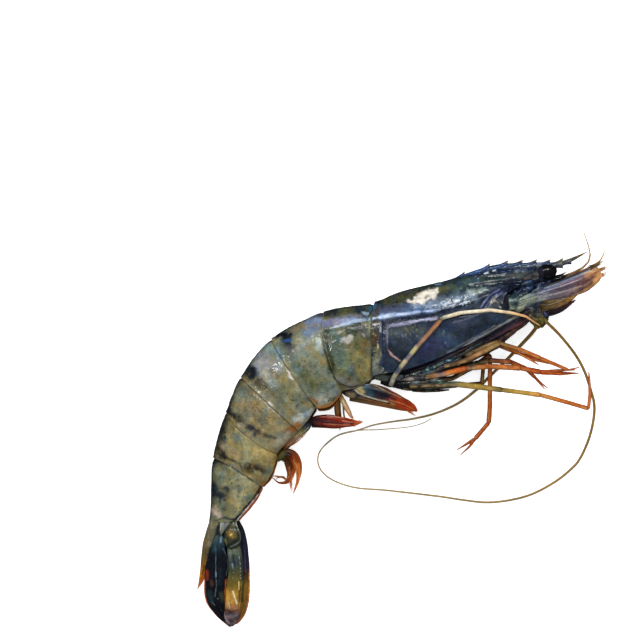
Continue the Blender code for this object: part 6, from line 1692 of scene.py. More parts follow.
            ((36, 44, 56), 0.45, 0.45, 0.8, [(-56.4, -38), (-56.2, -50)]),
            ((40, 42, 28), 0.45, 0.45, 0.8, [(-55.6, -54), (-55.3, -60)]),
            ((160, 116, 42), 0.28, 0.3, 0.8, [(-54.7, -54.6), (-54.9, -59.6)]),
        ],
        # the mark is a painted purple sheen line
        marks=[((92, 78, 120), 0.12, 0.16, 0.8, [(-54.9, -42), (-54.5, -50)])],
        rim=((226, 130, 48), 0.22, 0.44, 0.95), slot="tail_shell", nodes=["uropod_outer_far"],
    ),
)


def makeTail(look):
    for number, (name, leaf) in enumerate(look.items()):
        leaf = dict(threads=6.0, thread=0.16) | leaf
        makeLeaf(name, leaf, finish["tailFinish"], leaf["nodes"], 300 + 10 * number)


makeTail(tailLook)


scaleLook = dict(
    scaleNear=dict(
        rows=[
            (39.9, 44.4, 12.6, 1.6, 1.5), (41.6, 44.8, 12.9, 2.2, 1.8), (46, 46.3, 13.2, 2, 1.4),
            (51, 47.9, 13.4, 2.6, 1.2), (56.5, 49.3, 13.4, 3.3, 1), (62.5, 51.5, 13.2, 3.7, 0.9),
            (67, 54, 13, 3.1, 0.7), (69.6, 55.5, 12.8, 1.8, 0.4),
        ],
        sides=72, step=0.3, threads=9, thread=0.42,
        ridges=[
            (0.82, 0.08, 0.45), (0.55, 0.05, 0.2), (0.25, 0.05, 0.25), (-0.1, 0.06, 0.2), (-0.45, 0.06, 0.2),
            (-0.8, 0.06, 0.15),
        ],
        stops=[
            (0, (80, 98, 90)), (0.12, (130, 142, 128)), (0.2, (104, 114, 114)), (0.3, (104, 102, 120)),
            (0.6, (112, 96, 100)), (0.8, (126, 92, 78)), (0.88, (196, 146, 96)), (1, (206, 150, 92)),
        ],
        paint=[
            ((168, 182, 168), 0.6, 0.5, 0.85, [(39.6, 45.6), (41.4, 46.4)]),
            ((138, 144, 132), 1, 0.9, 0.8, [(41.2, 42.6), (46, 44.6), (50, 46.4)]),
            ((22, 34, 56), 0.5, 0.4, 0.95, [(46, 48.4), (52, 50.5), (58, 52.9), (64, 55.7), (68.4, 57.6)]),
            ((92, 98, 128), 0.5, 0.5, 0.8, [(50, 48.9), (57, 51.4), (64, 54.2)]),
            ((84, 52, 60), 0.7, 0.6, 0.7, [(54, 48.9), (62, 51.2), (67, 53.4)]),
            ((66, 66, 92), 0.5, 0.5, 0.7, [(52, 48), (60, 50.4), (66, 52.8)]),
            ((168, 116, 50), 0.35, 0.3, 0.9, [(58.4, 46), (63.6, 48.4), (67.6, 51.2), (70.6, 53.6)]),
            ((58, 42, 44), 0.5, 0.5, 0.85, [(52, 45.9), (58, 47), (62.4, 48.8), (66.8, 51.6)]),
            ((130, 52, 30), 0.5, 0.5, 0.75, [(61.6, 50.4), (65.4, 52.6), (67.6, 54.6)]),
        ],
        marks=[
            # a painted highlight along the upper edge
            ((150, 172, 196), 0.14, 0.16, 0.9, [(50, 49.6), (56, 51.8), (62, 54.2), (66, 56)]),
            ((176, 176, 190), 0.12, 0.16, 0.8, [(48, 47.8), (56, 50.3), (63, 52.9)]),
            ((30, 30, 44), 0.16, 0.2, 0.8, [(48, 47.1), (56, 49.3), (64, 52), (67, 53.6)]),
            ((120, 52, 44), 0.2, 0.24, 0.75, [(56, 50.8), (62, 52.9), (66, 54.8)]),
            ((186, 176, 168), 0.12, 0.16, 0.7, [(52, 47.2), (58, 48.8), (63, 50.4)]),
            ((20, 26, 34), 0.3, 0.3, 0.85, [(66.6, 57), (69, 57.8)]),
        ],
        rim=((110, 84, 56), 0.08, 0.25, 0.5), slot="scale_shell", nodes=["antenna_scale_near"],
    ),
    scaleFar=dict(
        rows=[
            (41.4, 44.2, 4.4, 1.4, 1.2), (46, 43.2, 4.2, 2.1, 1.2), (52, 43, 4.2, 2.4, 1.1),
            (56.6, 45.2, 4.3, 1.9, 0.9), (60.2, 47.8, 4.4, 1.7, 0.8), (65, 52, 4.6, 0.8, 0.6),
            (68, 54, 4.8, 0.5, 0.4),
        ],
        sides=64, step=0.3, threads=8, thread=0.42,
        ridges=[(0.5, 0.1, 0.25), (0, 0.08, 0.2), (-0.6, 0.1, 0.3)],
        stops=[(0, (90, 86, 72)), (0.3, (196, 160, 100)), (0.6, (206, 152, 80)), (1, (206, 130, 60))],
        paint=[
            ((222, 192, 136), 0.6, 0.6, 0.75, [(50, 44), (56, 46), (59, 48.4)]),
            ((96, 66, 56), 0.4, 0.4, 0.75, [(49, 43), (54, 44.2), (57, 45.8)]),
        ],
        marks=[((236, 220, 176), 0.12, 0.16, 0.85, [(51, 43.6), (55.4, 44.9), (58.6, 47)])],
        rim=((90, 60, 46), 0.1, 0.2, 0.6), slot="scale_shell", nodes=["antenna_scale_far"],
    ),
    scaleSpineFar=dict(
        rows=[
            (48.2, 40.8, 4.6, 0.8, 0.8), (51.6, 40.9, 4.8, 1.15, 0.8), (55.4, 42.1, 4.9, 1.15, 0.7),
            (58.4, 43.8, 4.9, 0.8, 0.5), (61.2, 45.6, 4.9, 0.12, 0.12),
        ],
        sides=48, step=0.3, threads=6, thread=0.4, ridges=[(0.6, 0.12, 0.2)],
        stops=[(0, (30, 26, 36)), (0.5, (58, 40, 50)), (1, (96, 60, 50))],
        paint=[((24, 18, 24), 0.35, 0.3, 0.85, [(49, 40.4), (54, 41), (58, 43)])],
        marks=[((214, 190, 166), 0.1, 0.12, 0.9, [(50.4, 41.9), (54.8, 42.9), (58.6, 44.6)])],
        rim=((100, 70, 70), 0.1, 0.1, 0.6), slot="scale_shell", nodes=[],
    ),
)


def makeScales(look):
    for number, (name, leaf) in enumerate(look.items()):
        makeLeaf(name, leaf, finish["headFinish"], leaf["nodes"], 400 + 10 * number)


makeScales(scaleLook)
print("tail and scales done")


eyeLook = dict(
    size=(3.6, 2.55, 2.8), tilt=math.radians(7), rows=48, columns=56,
    eyes={"near": (51, 55.5, 12.8), "far": (51, 54.9, 3.5)},
    stalks={
        "near": [(43.2, 53, 11.8, 1.1), (46, 54.2, 12.4, 1.3), (49.5, 55.2, 12.8, 1.5)],
        "far": [(43.2, 52.4, 5.2, 1.1), (46, 53.8, 4.2, 1.3), (49.5, 54.8, 3.5, 1.5)],
    },
    ball=(12, 11, 15), cap=(34, 31, 46), capEnd=-0.16, stalkStops=[(0, (40, 48, 56)), (1, (50, 56, 66))],
)


def makeEyes(look):
    # an egg on its side: a dull hood over its inner half, with a raised lip, and the glossy ball beyond it
    for side, centre in look["eyes"].items():
        turn = np.linspace(0.02, np.pi - 0.02, look["rows"])[:, None]
        angle = roundAngles(look["columns"])[None, :]
        place = -np.cos(turn)
        slant = place + 0.16 * np.sin(angle) + 0.30 * np.sin(turn) ** 2 * np.cos(angle) ** 2
        hood = ease((look["capEnd"] - slant) / 0.06)
        lip = 0.05 * np.exp(-((slant - look["capEnd"]) / 0.07) ** 2)
        radius = np.sin(turn) * (1 + 0.03 * hood + lip)
        long, wide, high = look["size"]
        x = place * long * 0.985 + 0 * angle
        y = radius * np.cos(angle) * wide * 0.97
        z = radius * np.sin(angle) * high * 0.97
        c, s = math.cos(look["tilt"]), math.sin(look["tilt"])
        rings = np.stack([centre[0] + x * c - y * s, centre[1] + x * s + y * c, centre[2] + z], axis=-1)
        rings = rings + outwards(rings) * (hood * 0.10 * grain(rings, 1.0, 501, 3))[..., None]
        tint = blend(linear(look["ball"]), look["cap"], hood)
        tint = tint * (1 + 0.3 * grain(rings, 1.0, 502, 3))[..., None]
        makeSolid(f"eye{side.title()}", rings, tint, finish["eyeFinish"], [f"eye_{side}"], 70)
        makeLimb(f"eyeStalk{side.title()}", look["stalks"][side], [1], look["stalkStops"], (), 510)


makeEyes(eyeLook)


swimmeretLook = {
    "swimmeret_near_1": dict(
        rows=[
            (-20.4, 13.4, 11.4, 0.8, 1), (-17.6, 13, 12.4, 1.8, 1.3), (-13, 13.5, 13, 2.9, 1.4),
            (-8, 12.7, 13.2, 3, 1.3), (-3.4, 11, 13.2, 2.6, 1.1), (1, 9.2, 13, 1.9, 0.9),
            (4.2, 7.6, 12.7, 1.2, 0.6), (5.6, 6.6, 12.5, 0.3, 0.2),
        ],
        sides=56, step=0.3, threads=9, thread=0.4,
        stops=[
            (0, (40, 44, 50)), (0.2, (72, 70, 60)), (0.4, (34, 38, 46)), (0.55, (66, 36, 28)),
            (0.66, (136, 44, 8)), (0.85, (156, 44, 4)), (1, (176, 70, 16)),
        ],
        paint=[
            ((20, 28, 42), 1.3, 0.6, 0.9, [(-17.6, 12.6), (-15.6, 12.2)]),
            ((176, 164, 110), 0.8, 0.5, 0.92, [(-14.6, 14.4), (-13.6, 13.6)]),
            ((44, 78, 96), 1.2, 0.5, 0.92, [(-11.8, 14.6), (-10.6, 13.4)]),
            ((16, 22, 36), 1.2, 0.8, 0.92, [(-9.6, 14.4), (-6.6, 12.4), (-3, 11.4)]),
            ((146, 104, 60), 0.7, 0.6, 0.85, [(-14, 10.6), (-8, 9.8), (-3, 9)]),
            ((132, 116, 82), 0.8, 0.6, 0.85, [(-18.6, 12.2), (-17, 12)]),
            ((96, 40, 22), 0.5, 0.4, 0.8, [(-2, 12.4), (2, 10.6)]),
        ],
        marks=[
            (
                (200, 192, 170), 0.16, 0.16, 0.92,
                [(-16.4, 14.5), (-15, 13), (-12.4, 11.9), (-8.1, 10.6), (-4.8, 9.9)],
            ),
            ((30, 24, 24), 0.2, 0.2, 0.85, [(-12.6, 11.4), (-8, 10.1), (-4, 9.3)]),
            ((150, 160, 166), 0.14, 0.16, 0.8, [(-12.4, 15.8), (-10, 16.2)]),
            ((176, 140, 96), 0.14, 0.2, 0.8, [(-9.8, 16), (-4.8, 13.4), (0, 11.3)]),
            ((190, 120, 70), 0.12, 0.16, 0.8, [(-4, 10.6), (1, 9), (4.6, 7)]),
            ((60, 26, 20), 0.14, 0.16, 0.8, [(-3, 9.8), (2, 8.2), (4.6, 6.8)]),
        ],
    ),
    "swimmeret_far_1": dict(
        rows=[
            (-18, 11, 5.6, 0.9, 0.8), (-12, 10.8, 5.4, 1.8, 1), (-6, 9.8, 5.2, 1.9, 0.9),
            (0, 7.9, 5, 1.2, 0.6), (2.4, 6.7, 4.9, 0.3, 0.2),
        ],
        stops=[(0, (90, 74, 50)), (0.5, (140, 92, 48)), (1, (150, 70, 26))],
    ),
    "swimmeret_near_2": dict(
        rows=[
            (-21.4, 12.4, 12.4, 0.8, 0.8), (-20, 9.6, 12.7, 0.9, 0.7), (-18.4, 6.6, 12.5, 0.8, 0.5),
            (-16.9, 4.2, 12.4, 0.2, 0.2),
        ],
        stops=[(0, (120, 84, 44)), (0.3, (186, 156, 104)), (0.7, (190, 140, 86)), (1, (184, 96, 44))],
        marks=[
            ((226, 206, 170), 0.16, 0.16, 0.85, [(-20.6, 10.6), (-18.4, 6.8), (-17.4, 5)]),
            ((140, 60, 20), 0.14, 0.16, 0.8, [(-19.6, 10.6), (-17.6, 7)]),
        ],
    ),
    "swimmeret_far_2": dict(
        rows=[
            (-22.2, 11.6, 5.6, 1, 0.8), (-22.2, 7.4, 5.4, 1.2, 0.8), (-21.7, 3.4, 4.8, 1, 0.5),
            (-21.2, 0.4, 4.4, 0.2, 0.2),
        ],
        stops=[(0, (120, 70, 30)), (0.3, (160, 110, 52)), (0.6, (168, 104, 44)), (1, (170, 80, 30))],
        marks=[
            ((206, 170, 110), 0.14, 0.16, 0.85, [(-22.6, 10), (-22.2, 5)]),
            ((110, 44, 16), 0.16, 0.16, 0.85, [(-21.6, 10), (-21.2, 4)]),
        ],
    ),
    "swimmeret_near_3": dict(
        rows=[
            (-32, 3.4, 10.2, 0.8, 0.8), (-29, 3.5, 10.8, 1.7, 0.9), (-25, 3.4, 10.6, 2, 1),
            (-20, 2.7, 10.3, 1.8, 0.8), (-16.4, 2.5, 10.1, 1.1, 0.5), (-13.6, 2.7, 9.9, 0.2, 0.2),
        ],
        sides=48, step=0.3, threads=8, thread=0.5,
        stops=[
            (0, (28, 28, 36)), (0.16, (84, 34, 30)), (0.4, (136, 30, 8)), (0.8, (160, 44, 6)),
            (1, (206, 110, 50)),
        ],
        paint=[
            ((30, 24, 36), 0.35, 0.3, 0.9, [(-30, 3.4), (-25, 3), (-20.4, 2.4), (-17, 2.2)]),
            ((160, 52, 14), 0.3, 0.3, 0.8, [(-28, 4.6), (-22, 3.9), (-17, 3)]),
            ((96, 26, 18), 0.3, 0.3, 0.8, [(-28, 1.8), (-22, 1.2), (-18, 1.2)]),
        ],
        marks=[
            ((206, 150, 116), 0.12, 0.14, 0.85, [(-26, 5.2), (-20, 4.2)]),
            ((196, 130, 100), 0.12, 0.14, 0.85, [(-27, 2.2), (-21, 1.8), (-17.6, 1.8)]),
            ((206, 160, 130), 0.12, 0.14, 0.85, [(-20.6, 3.2), (-17, 2.7)]),
        ],
    ),
    "swimmeret_far_3": dict(
        rows=[
            (-31.4, 1.8, 6.6, 1, 0.8), (-28, 2.2, 7.2, 1.5, 0.8), (-22, 2, 7.4, 1.5, 0.6),
            (-16.6, 1.8, 7.4, 0.2, 0.2),
        ],
        stops=[(0, (50, 32, 32)), (0.5, (104, 36, 18)), (1, (150, 60, 26))],
    ),
    "swimmeret_near_4": dict(
        rows=[
            (-40.8, -6.6, 8.4, 0.5, 0.6), (-39, -4.3, 8.9, 1, 0.7), (-36.8, -1.8, 9.2, 1.5, 0.8),
            (-34.4, 0.2, 9.4, 1.7, 0.8), (-32.6, 1.7, 9.3, 1.4, 0.6), (-31.5, 2.5, 9.2, 0.5, 0.4),
        ],
        stops=[
            (0, (150, 92, 52)), (0.3, (166, 128, 92)), (0.55, (146, 130, 90)), (0.72, (110, 112, 66)),
            (0.86, (54, 72, 92)), (1, (40, 50, 66)),
        ],
        paint=[
            ((34, 46, 72), 0.5, 0.4, 0.9, [(-34.6, 1.6), (-33.2, 2.8)]),
            ((160, 80, 50), 0.35, 0.3, 0.8, [(-39.4, -3.8), (-37.6, -1.4), (-36, 0.2)]),
        ],
        marks=[
            ((206, 206, 170), 0.12, 0.16, 0.8, [(-37, -2.4), (-34, -0.4), (-32.4, 1)]),
            ((120, 60, 26), 0.14, 0.16, 0.85, [(-39.6, -5.8), (-36.6, -3.4), (-33.6, -1.4), (-31.6, 0.8)]),
        ],
    ),
    "swimmeret_far_4": dict(
        rows=[
            (-40.4, -6.8, 4.4, 0.6, 0.7), (-37.8, -3.4, 4.2, 1.1, 0.7), (-35, -1.2, 4, 1, 0.5),
            (-32.6, 0.8, 3.8, 0.2, 0.2),
        ],
        stops=[(0, (96, 72, 44)), (0.5, (160, 112, 66)), (1, (170, 96, 50))],
    ),
    "swimmeret_near_5": dict(
        rows=[
            (-43.6, -10.4, 8, 1.1, 0.9), (-41.8, -8.8, 8.8, 1.7, 1.1), (-39.4, -8.2, 9.2, 1.7, 1.2),
            (-37.5, -9.4, 9.2, 1.8, 1), (-36.3, -11.8, 8.9, 1.6, 0.8), (-35.8, -14.6, 8.4, 1.15, 0.6),
            (-36.1, -17.6, 7.8, 0.65, 0.5), (-36.9, -20.2, 7.4, 0.4, 0.3), (-37.8, -22.6, 7.1, 0.1, 0.1),
        ],
        sides=52, step=0.3, threads=8, thread=0.5,
        stops=[
            (0, (92, 86, 44)), (0.16, (78, 68, 34)), (0.28, (84, 34, 12)), (0.42, (150, 66, 14)),
            (0.7, (206, 106, 34)), (1, (216, 116, 56)),
        ],
        paint=[
            ((96, 92, 50), 0.8, 0.6, 0.85, [(-42.6, -10), (-41.6, -8.6)]),
            ((26, 18, 20), 0.6, 0.5, 0.9, [(-40.2, -8.8), (-38.6, -8.4)]),
            ((120, 54, 16), 0.5, 0.4, 0.8, [(-38, -8), (-35.8, -11), (-35, -15)]),
            ((226, 136, 62), 0.4, 0.4, 0.8, [(-36.8, -12), (-36, -16), (-36.6, -19.6)]),
        ],
        marks=[
            ((216, 160, 100), 0.12, 0.14, 0.85, [(-37.6, -10.4), (-36.6, -13.6), (-36.6, -17.6)]),
            ((206, 140, 84), 0.12, 0.14, 0.85, [(-35.8, -11.6), (-35.2, -15), (-35.8, -18.4)]),
            ((110, 44, 16), 0.14, 0.14, 0.85, [(-37.2, -12), (-36, -15.6), (-36.4, -19)]),
        ],
    ),
    "swimmeret_far_5": dict(
        rows=[
            (-41.8, -9.8, 5, 0.9, 0.7), (-39.8, -10.6, 5.6, 1.5, 0.8), (-38.7, -13.4, 5.4, 1.6, 0.7),
            (-38.7, -16.2, 4.8, 1.25, 0.5), (-40.2, -18.3, 4, 0.7, 0.4), (-42.8, -18.5, 3.6, 0.35, 0.3),
            (-45.3, -16.6, 3.2, 0.1, 0.1),
        ],
        stops=[(0, (90, 64, 36)), (0.3, (132, 62, 20)), (0.6, (150, 70, 24)), (1, (190, 104, 52))],
        marks=[((206, 150, 90), 0.12, 0.14, 0.85, [(-39.2, -13), (-39, -16), (-40.6, -17.8)])],
    ),
}


def makeSwimmerets(look):
    for number, (name, leaf) in enumerate(look.items()):
        leaf.setdefault("ridges", [(0.3, 0.12, 0.18), (-0.35, 0.12, 0.18)])
        leaf.setdefault("rim", ((184, 116, 62), 0.15, 0.3, 0.5))
        leaf.setdefault("sides", 24)
        plain = name.replace("_", "")
        makeLeaf(plain, leaf, finish["legFinish"], [name], 600 + 10 * number)


makeSwimmerets(swimmeretLook)


sternumLook = dict(
    depths=[(0.25, 1), (0.9, 3.2), (1.4, 4.6), (2.1, 4.4), (2.7, 3), (3.1, 1.4)], halfWidth=3.2,
    clearance=0.72, rows=90, columns=56, colour=(26, 34, 42),
    strands={  # x, y, z, radius: folds of leg roots and gill covers beside the shield's lower margin
        "rootFold1": (
            [
                (3, 20.4, 13, 0.4), (10, 22.6, 13.4, 0.9), (18, 26.4, 13.4, 0.95), (26, 30.8, 12.6, 0.9),
                (33.4, 35, 11.6, 0.3),
            ],
            (36, 34, 52), (70, 66, 88),
        ),
        "rootFold2": (
            [
                (1, 19.2, 13.4, 0.4), (8, 20.8, 14, 0.9), (15, 23.6, 14.2, 0.95), (22, 27, 13.6, 0.9),
                (29, 31.4, 12.4, 0.3),
            ],
            (22, 34, 44), (60, 84, 92),
        ),
        "rootFold3": (
            [
                (0, 18.2, 14, 0.4), (7, 19.2, 14.8, 0.8), (12, 20.8, 15, 0.9), (17, 23, 14.8, 0.7),
                (21, 25.4, 14.2, 0.3),
            ],
            (18, 30, 40), (40, 78, 92),
        ),
        "rootFold4": (
            [(-3, 17.6, 13.4, 0.4), (2, 17.8, 14.6, 0.8), (7, 18.2, 15.2, 0.7), (11.4, 18.9, 15.4, 0.3)],
            (44, 46, 58), (150, 140, 132),
        ),
        "rootFold5": (
            [(-1, 16.4, 13.8, 0.4), (4, 16.6, 15, 0.7), (9, 17, 15.4, 0.6), (13, 18, 15.6, 0.3)],
            (30, 38, 40), (110, 118, 122),
        ),
        "rootFold6": (
            [(4, 14.9, 13.6, 0.4), (8, 14.8, 14.2, 0.6), (13, 14.9, 14.6, 0.5), (17, 15.2, 15, 0.25)],
            (20, 28, 28), (70, 84, 78),
        ),
    },
    cups={  # centre, half sizes, turn in degrees, colour, second colour: the upper joints of the legs
        "rootCup1": ((-6, 18.6, 11.6), (4, 1.5, 2.2), -6, (84, 92, 84), (40, 48, 48)),
        "rootCup2": ((-0.6, 18.4, 13.2), (2.2, 1.1, 1.4), 10, (30, 38, 42), (96, 104, 102)),
        # rootCup3 to rootCup5: the pale second colour stands for painted glints on the leg roots
        "rootCup3": ((5.4, 19.8, 13.8), (2, 1, 1.2), 16, (24, 34, 38), (120, 132, 128)),
        "rootCup4": ((10.4, 21.6, 14.2), (2.2, 1, 1.2), 20, (28, 46, 50), (120, 160, 160)),
        "rootCup5": ((16.2, 23.8, 14.6), (2.2, 0.9, 1.1), 24, (22, 40, 52), (96, 140, 160)),
        "rootCup6": ((12.8, 17, 15.2), (2.8, 1.1, 1.1), 2, (44, 58, 50), (110, 130, 110)),
    },
)


def makeDome(name, centre, half, turn, colour, second, surface, seed, rough=0.12):
    # a lumpy egg, turned in the ground plan, in two blended colours
    up = np.linspace(0.03, np.pi - 0.03, 30)[:, None]
    angle = roundAngles(38)[None, :]
    unitBall = [-np.cos(up) + 0 * angle, np.sin(up) * np.cos(angle), np.sin(up) * np.sin(angle)]
    ball = np.stack(unitBall, axis=-1) * np.array(half)
    lump = 1 + rough * grain(ball + seed, min(half) * 1.1, seed, 3)
    c, s = math.cos(math.radians(turn)), math.sin(math.radians(turn))
    ball = ball * lump[..., None]
    rings = np.stack([centre[0] + ball[..., 0] * c - ball[..., 1] * s,
                      centre[1] + ball[..., 0] * s + ball[..., 1] * c, centre[2] + ball[..., 2]], axis=-1)
    rings[..., 2] = np.maximum(rings[..., 2], 0.02)
    tint = blend(linear(colour), second, ease(0.42 + 0.95 * grain(rings, 1.3, seed + 1, 3)))
    makeSolid(name, rings, tint, finish[surface], (), 70)


def makeSternum(look):
    # the block of leg roots under the shield, with a fold between each pair of legs
    station = np.linspace(look["depths"][0][0], look["depths"][-1][0], look["rows"])[:, None]
    places = [place for place, _ in look["depths"]]
    depth = np.interp(station, places, [deep for _, deep in look["depths"]])
    angle = roundAngles(look["columns"])[None, :]
    row = curveAt(carapaceLook["stations"], station[:, 0])
    span = row[:, 0:2] - row[:, 2:4]
    up = span / np.linalg.norm(span, axis=1)[:, None]
    centre = row[:, 2:4] - up * (look["clearance"] + depth / 2)
    fold = 1 + 0.12 * np.cos(2 * np.pi * station / 0.5)
    along = np.cos(angle) * depth / 2 * fold
    across = np.sin(angle) * look["halfWidth"] * (0.6 + 0.4 * depth / depth.max()) * fold
    along = along + across * (math.sin(bodyForm["roll"]) + row[:, 6][:, None])
    ground = centre[:, None, :] + up[:, None, :] * along[..., None]
    rings = np.concatenate([ground, (row[:, 5][:, None] + across)[..., None]], axis=-1)
    rings = rings + outwards(rings) * (0.35 * grain(rings, 1.6, 700, 3))[..., None]
    tint = limit(cloudy(look["colour"], rings, 0.6, 1.4, 701))
    makeSolid("sternum", rings, tint, finish["headFinish"], ["sternum"])
    for number, (name, (points, dark, pale)) in enumerate(look["strands"].items()):
        stops = [(0.0, dark), (0.3, dark), (0.45, pale), (0.55, dark), (0.8, dark), (0.9, pale), (1.0, dark)]
        for side, turn in (("Near", 0), ("Far", 1)):
            rows = [(x, y - 1.2 * turn, (18.0 - z) * turn + z * (1 - turn), radius)
                    for x, y, z, radius in points]
            makeLimb(name + side, rows, [], stops, (), 720 + number, "headFinish", 0.12)
    for number, (name, (centre, half, turn, colour, second)) in enumerate(look["cups"].items()):
        makeDome(name, centre, half, turn, colour, second, "headFinish", 740 + number)


makeSternum(sternumLook)
makeDome("tailRoot", (-63.0, -35.2, 3.8), (2.8, 4.6, 2.3), 0, (22, 34, 38), (50, 56, 50), "tailFinish",
         760)


headLook = dict(
    core=[
        (34, 45.8, 9.2, 4.6), (38, 46.2, 9.2, 5), (42, 46.6, 9.2, 4.8), (45, 47.4, 9.3, 4),
        (48, 48.4, 9.4, 2.8), (51, 49.8, 9.4, 1.4),
    ],
    coreColour=(18, 26, 44),
    domes={  # centre, half sizes, turn, colour, second colour; the same again on the far side, lower
        "cheekLobe": ((39.7, 44.6, 12.5), (3.9, 3.2, 2.7), 28, (34, 52, 58), (128, 146, 138)),
        "cheekLobeLow": ((38.8, 42.7, 12.2), (3.2, 1.5, 2.3), 10, (140, 150, 130), (60, 78, 74)),
        "cheekLobeFront": ((42, 43, 12.4), (2.8, 1.3, 2.2), 40, (120, 128, 112), (160, 160, 140)),
        "scaleRoot": ((45.8, 45.2, 13.4), (4, 1.2, 1.3), 36, (126, 134, 118), (74, 86, 86)),
        "scaleRootLow": ((46.6, 43.9, 12.6), (3.6, 1.1, 1.5), 30, (30, 36, 52), (56, 62, 84)),
        "hornRoot": ((43, 48.8, 12.6), (4, 1.3, 1.8), 22, (18, 28, 48), (50, 72, 104)),
        "hornRootLow": ((42, 47, 13.4), (3.4, 0.9, 1.3), 30, (22, 34, 46), (110, 128, 130)),
        "hornUpper": ((43.6, 51, 12), (4.2, 1.3, 1.8), 14, (12, 18, 34), (36, 56, 90)),
        "hornJoint": ((49.4, 50.9, 12.6), (3.2, 1.2, 1.6), 24, (14, 20, 38), (50, 66, 98)),
        "hornSide": ((47.6, 49.1, 13.4), (2.6, 0.8, 1.1), 30, (20, 30, 48), (88, 104, 120)),
        "hornTip": ((54.6, 52.9, 11.8), (2.8, 1, 1.2), 20, (14, 20, 20), (38, 48, 40)),
        "browUnder": ((47.6, 52.7, 10.4), (5.4, 1.7, 3), 10, (12, 16, 30), (30, 40, 64)),
        "browDeep": ((41, 51.4, 9.6), (6, 2.2, 3.6), 10, (12, 16, 30), (28, 38, 60)),
        "feelerRoot": ((46.6, 41.8, 12), (3.5, 2.2, 2), -34, (30, 36, 44), (84, 84, 72)),
        "feelerKnob": ((49, 38.4, 10.8), (2, 1.6, 1.8), -48, (104, 94, 40), (64, 56, 34)),
        "feelerCollar": ((50.6, 40.2, 11.2), (1.5, 0.9, 1.4), -60, (54, 60, 92), (30, 32, 50)),
        "mouthFill": ((42.6, 40.2, 10.5), (3.6, 1.6, 3), 30, (24, 26, 36), (60, 56, 60)),
        "lipFold": ((37.6, 40.4, 11), (4.6, 1.4, 2.4), 40, (40, 40, 44), (74, 66, 58)),
    },
    flap=dict(
        rows=[
            (8, 18.6, 10.6, 0.9, 1.2), (15, 22.4, 10.8, 1.4, 1.6), (24, 27.6, 10.8, 1.6, 1.7),
            (32, 32.6, 10.6, 1.7, 1.6), (38, 36.2, 10.4, 1.7, 1.4), (42.8, 38.2, 10.2, 1.1, 1),
            (44.8, 39, 10, 0.3, 0.3),
        ],
        ridges=[(0.5, 0.12, 0.3), (-0.1, 0.1, 0.25), (-0.6, 0.12, 0.3)],
        stops=[(0, (24, 28, 36)), (0.5, (38, 34, 50)), (0.8, (56, 44, 60)), (1, (70, 50, 60))],
        paint=[
            ((72, 66, 84), 0.26, 0.25, 0.85, [(20, 25.4), (30, 31), (38, 35.8)]),
            ((12, 14, 24), 0.5, 0.35, 0.9, [(20, 24.4), (30, 29.8), (38, 34.6)]),
            ((112, 60, 58), 0.22, 0.3, 0.75, [(34, 33.2), (39.6, 36.4), (43.4, 38.6)]),
            ((130, 56, 44), 0.14, 0.2, 0.75, [(38, 35.2), (42, 37.2)]),
        ],
        rim=((70, 40, 46), 0.15, 0.3, 0.6),
    ),
)


def makeHead(look):
    # the front of the head between the shield, the eyes, the feelers and their scales
    line, _ = evenLine(look["core"], 0.5)
    rings = limbRings(line, line[:, 3], 40, 0.82)
    rings = rings + outwards(rings) * (0.5 * grain(rings, 1.8, 800, 3))[..., None]
    tint = limit(cloudy(look["coreColour"], rings, 0.6, 1.4, 801))
    makeSolid("headCore", rings, tint, finish["headFinish"], crease=48)
    for number, (name, (centre, half, turn, colour, second)) in enumerate(look["domes"].items()):
        makeDome(name + "Near", centre, half, turn, colour, second, "headFinish", 810 + number, 0.16)
        below = (centre[0] - 0.4, centre[1] - 0.8, 17.6 - centre[2])
        makeDome(name + "Far", below, half, turn, colour, second, "headFinish", 830 + number, 0.16)
    for side, lift, drop in (("Near", 0.0, 0.0), ("Far", -4.6, 0.9)):
        flap = dict(look["flap"])
        flap["rows"] = [(x, y - drop, z + lift, wide, thick) for x, y, z, wide, thick in flap["rows"]]
        makeLeaf("jawFlap" + side, flap, finish["headFinish"], (), 850)


makeHead(headLook)


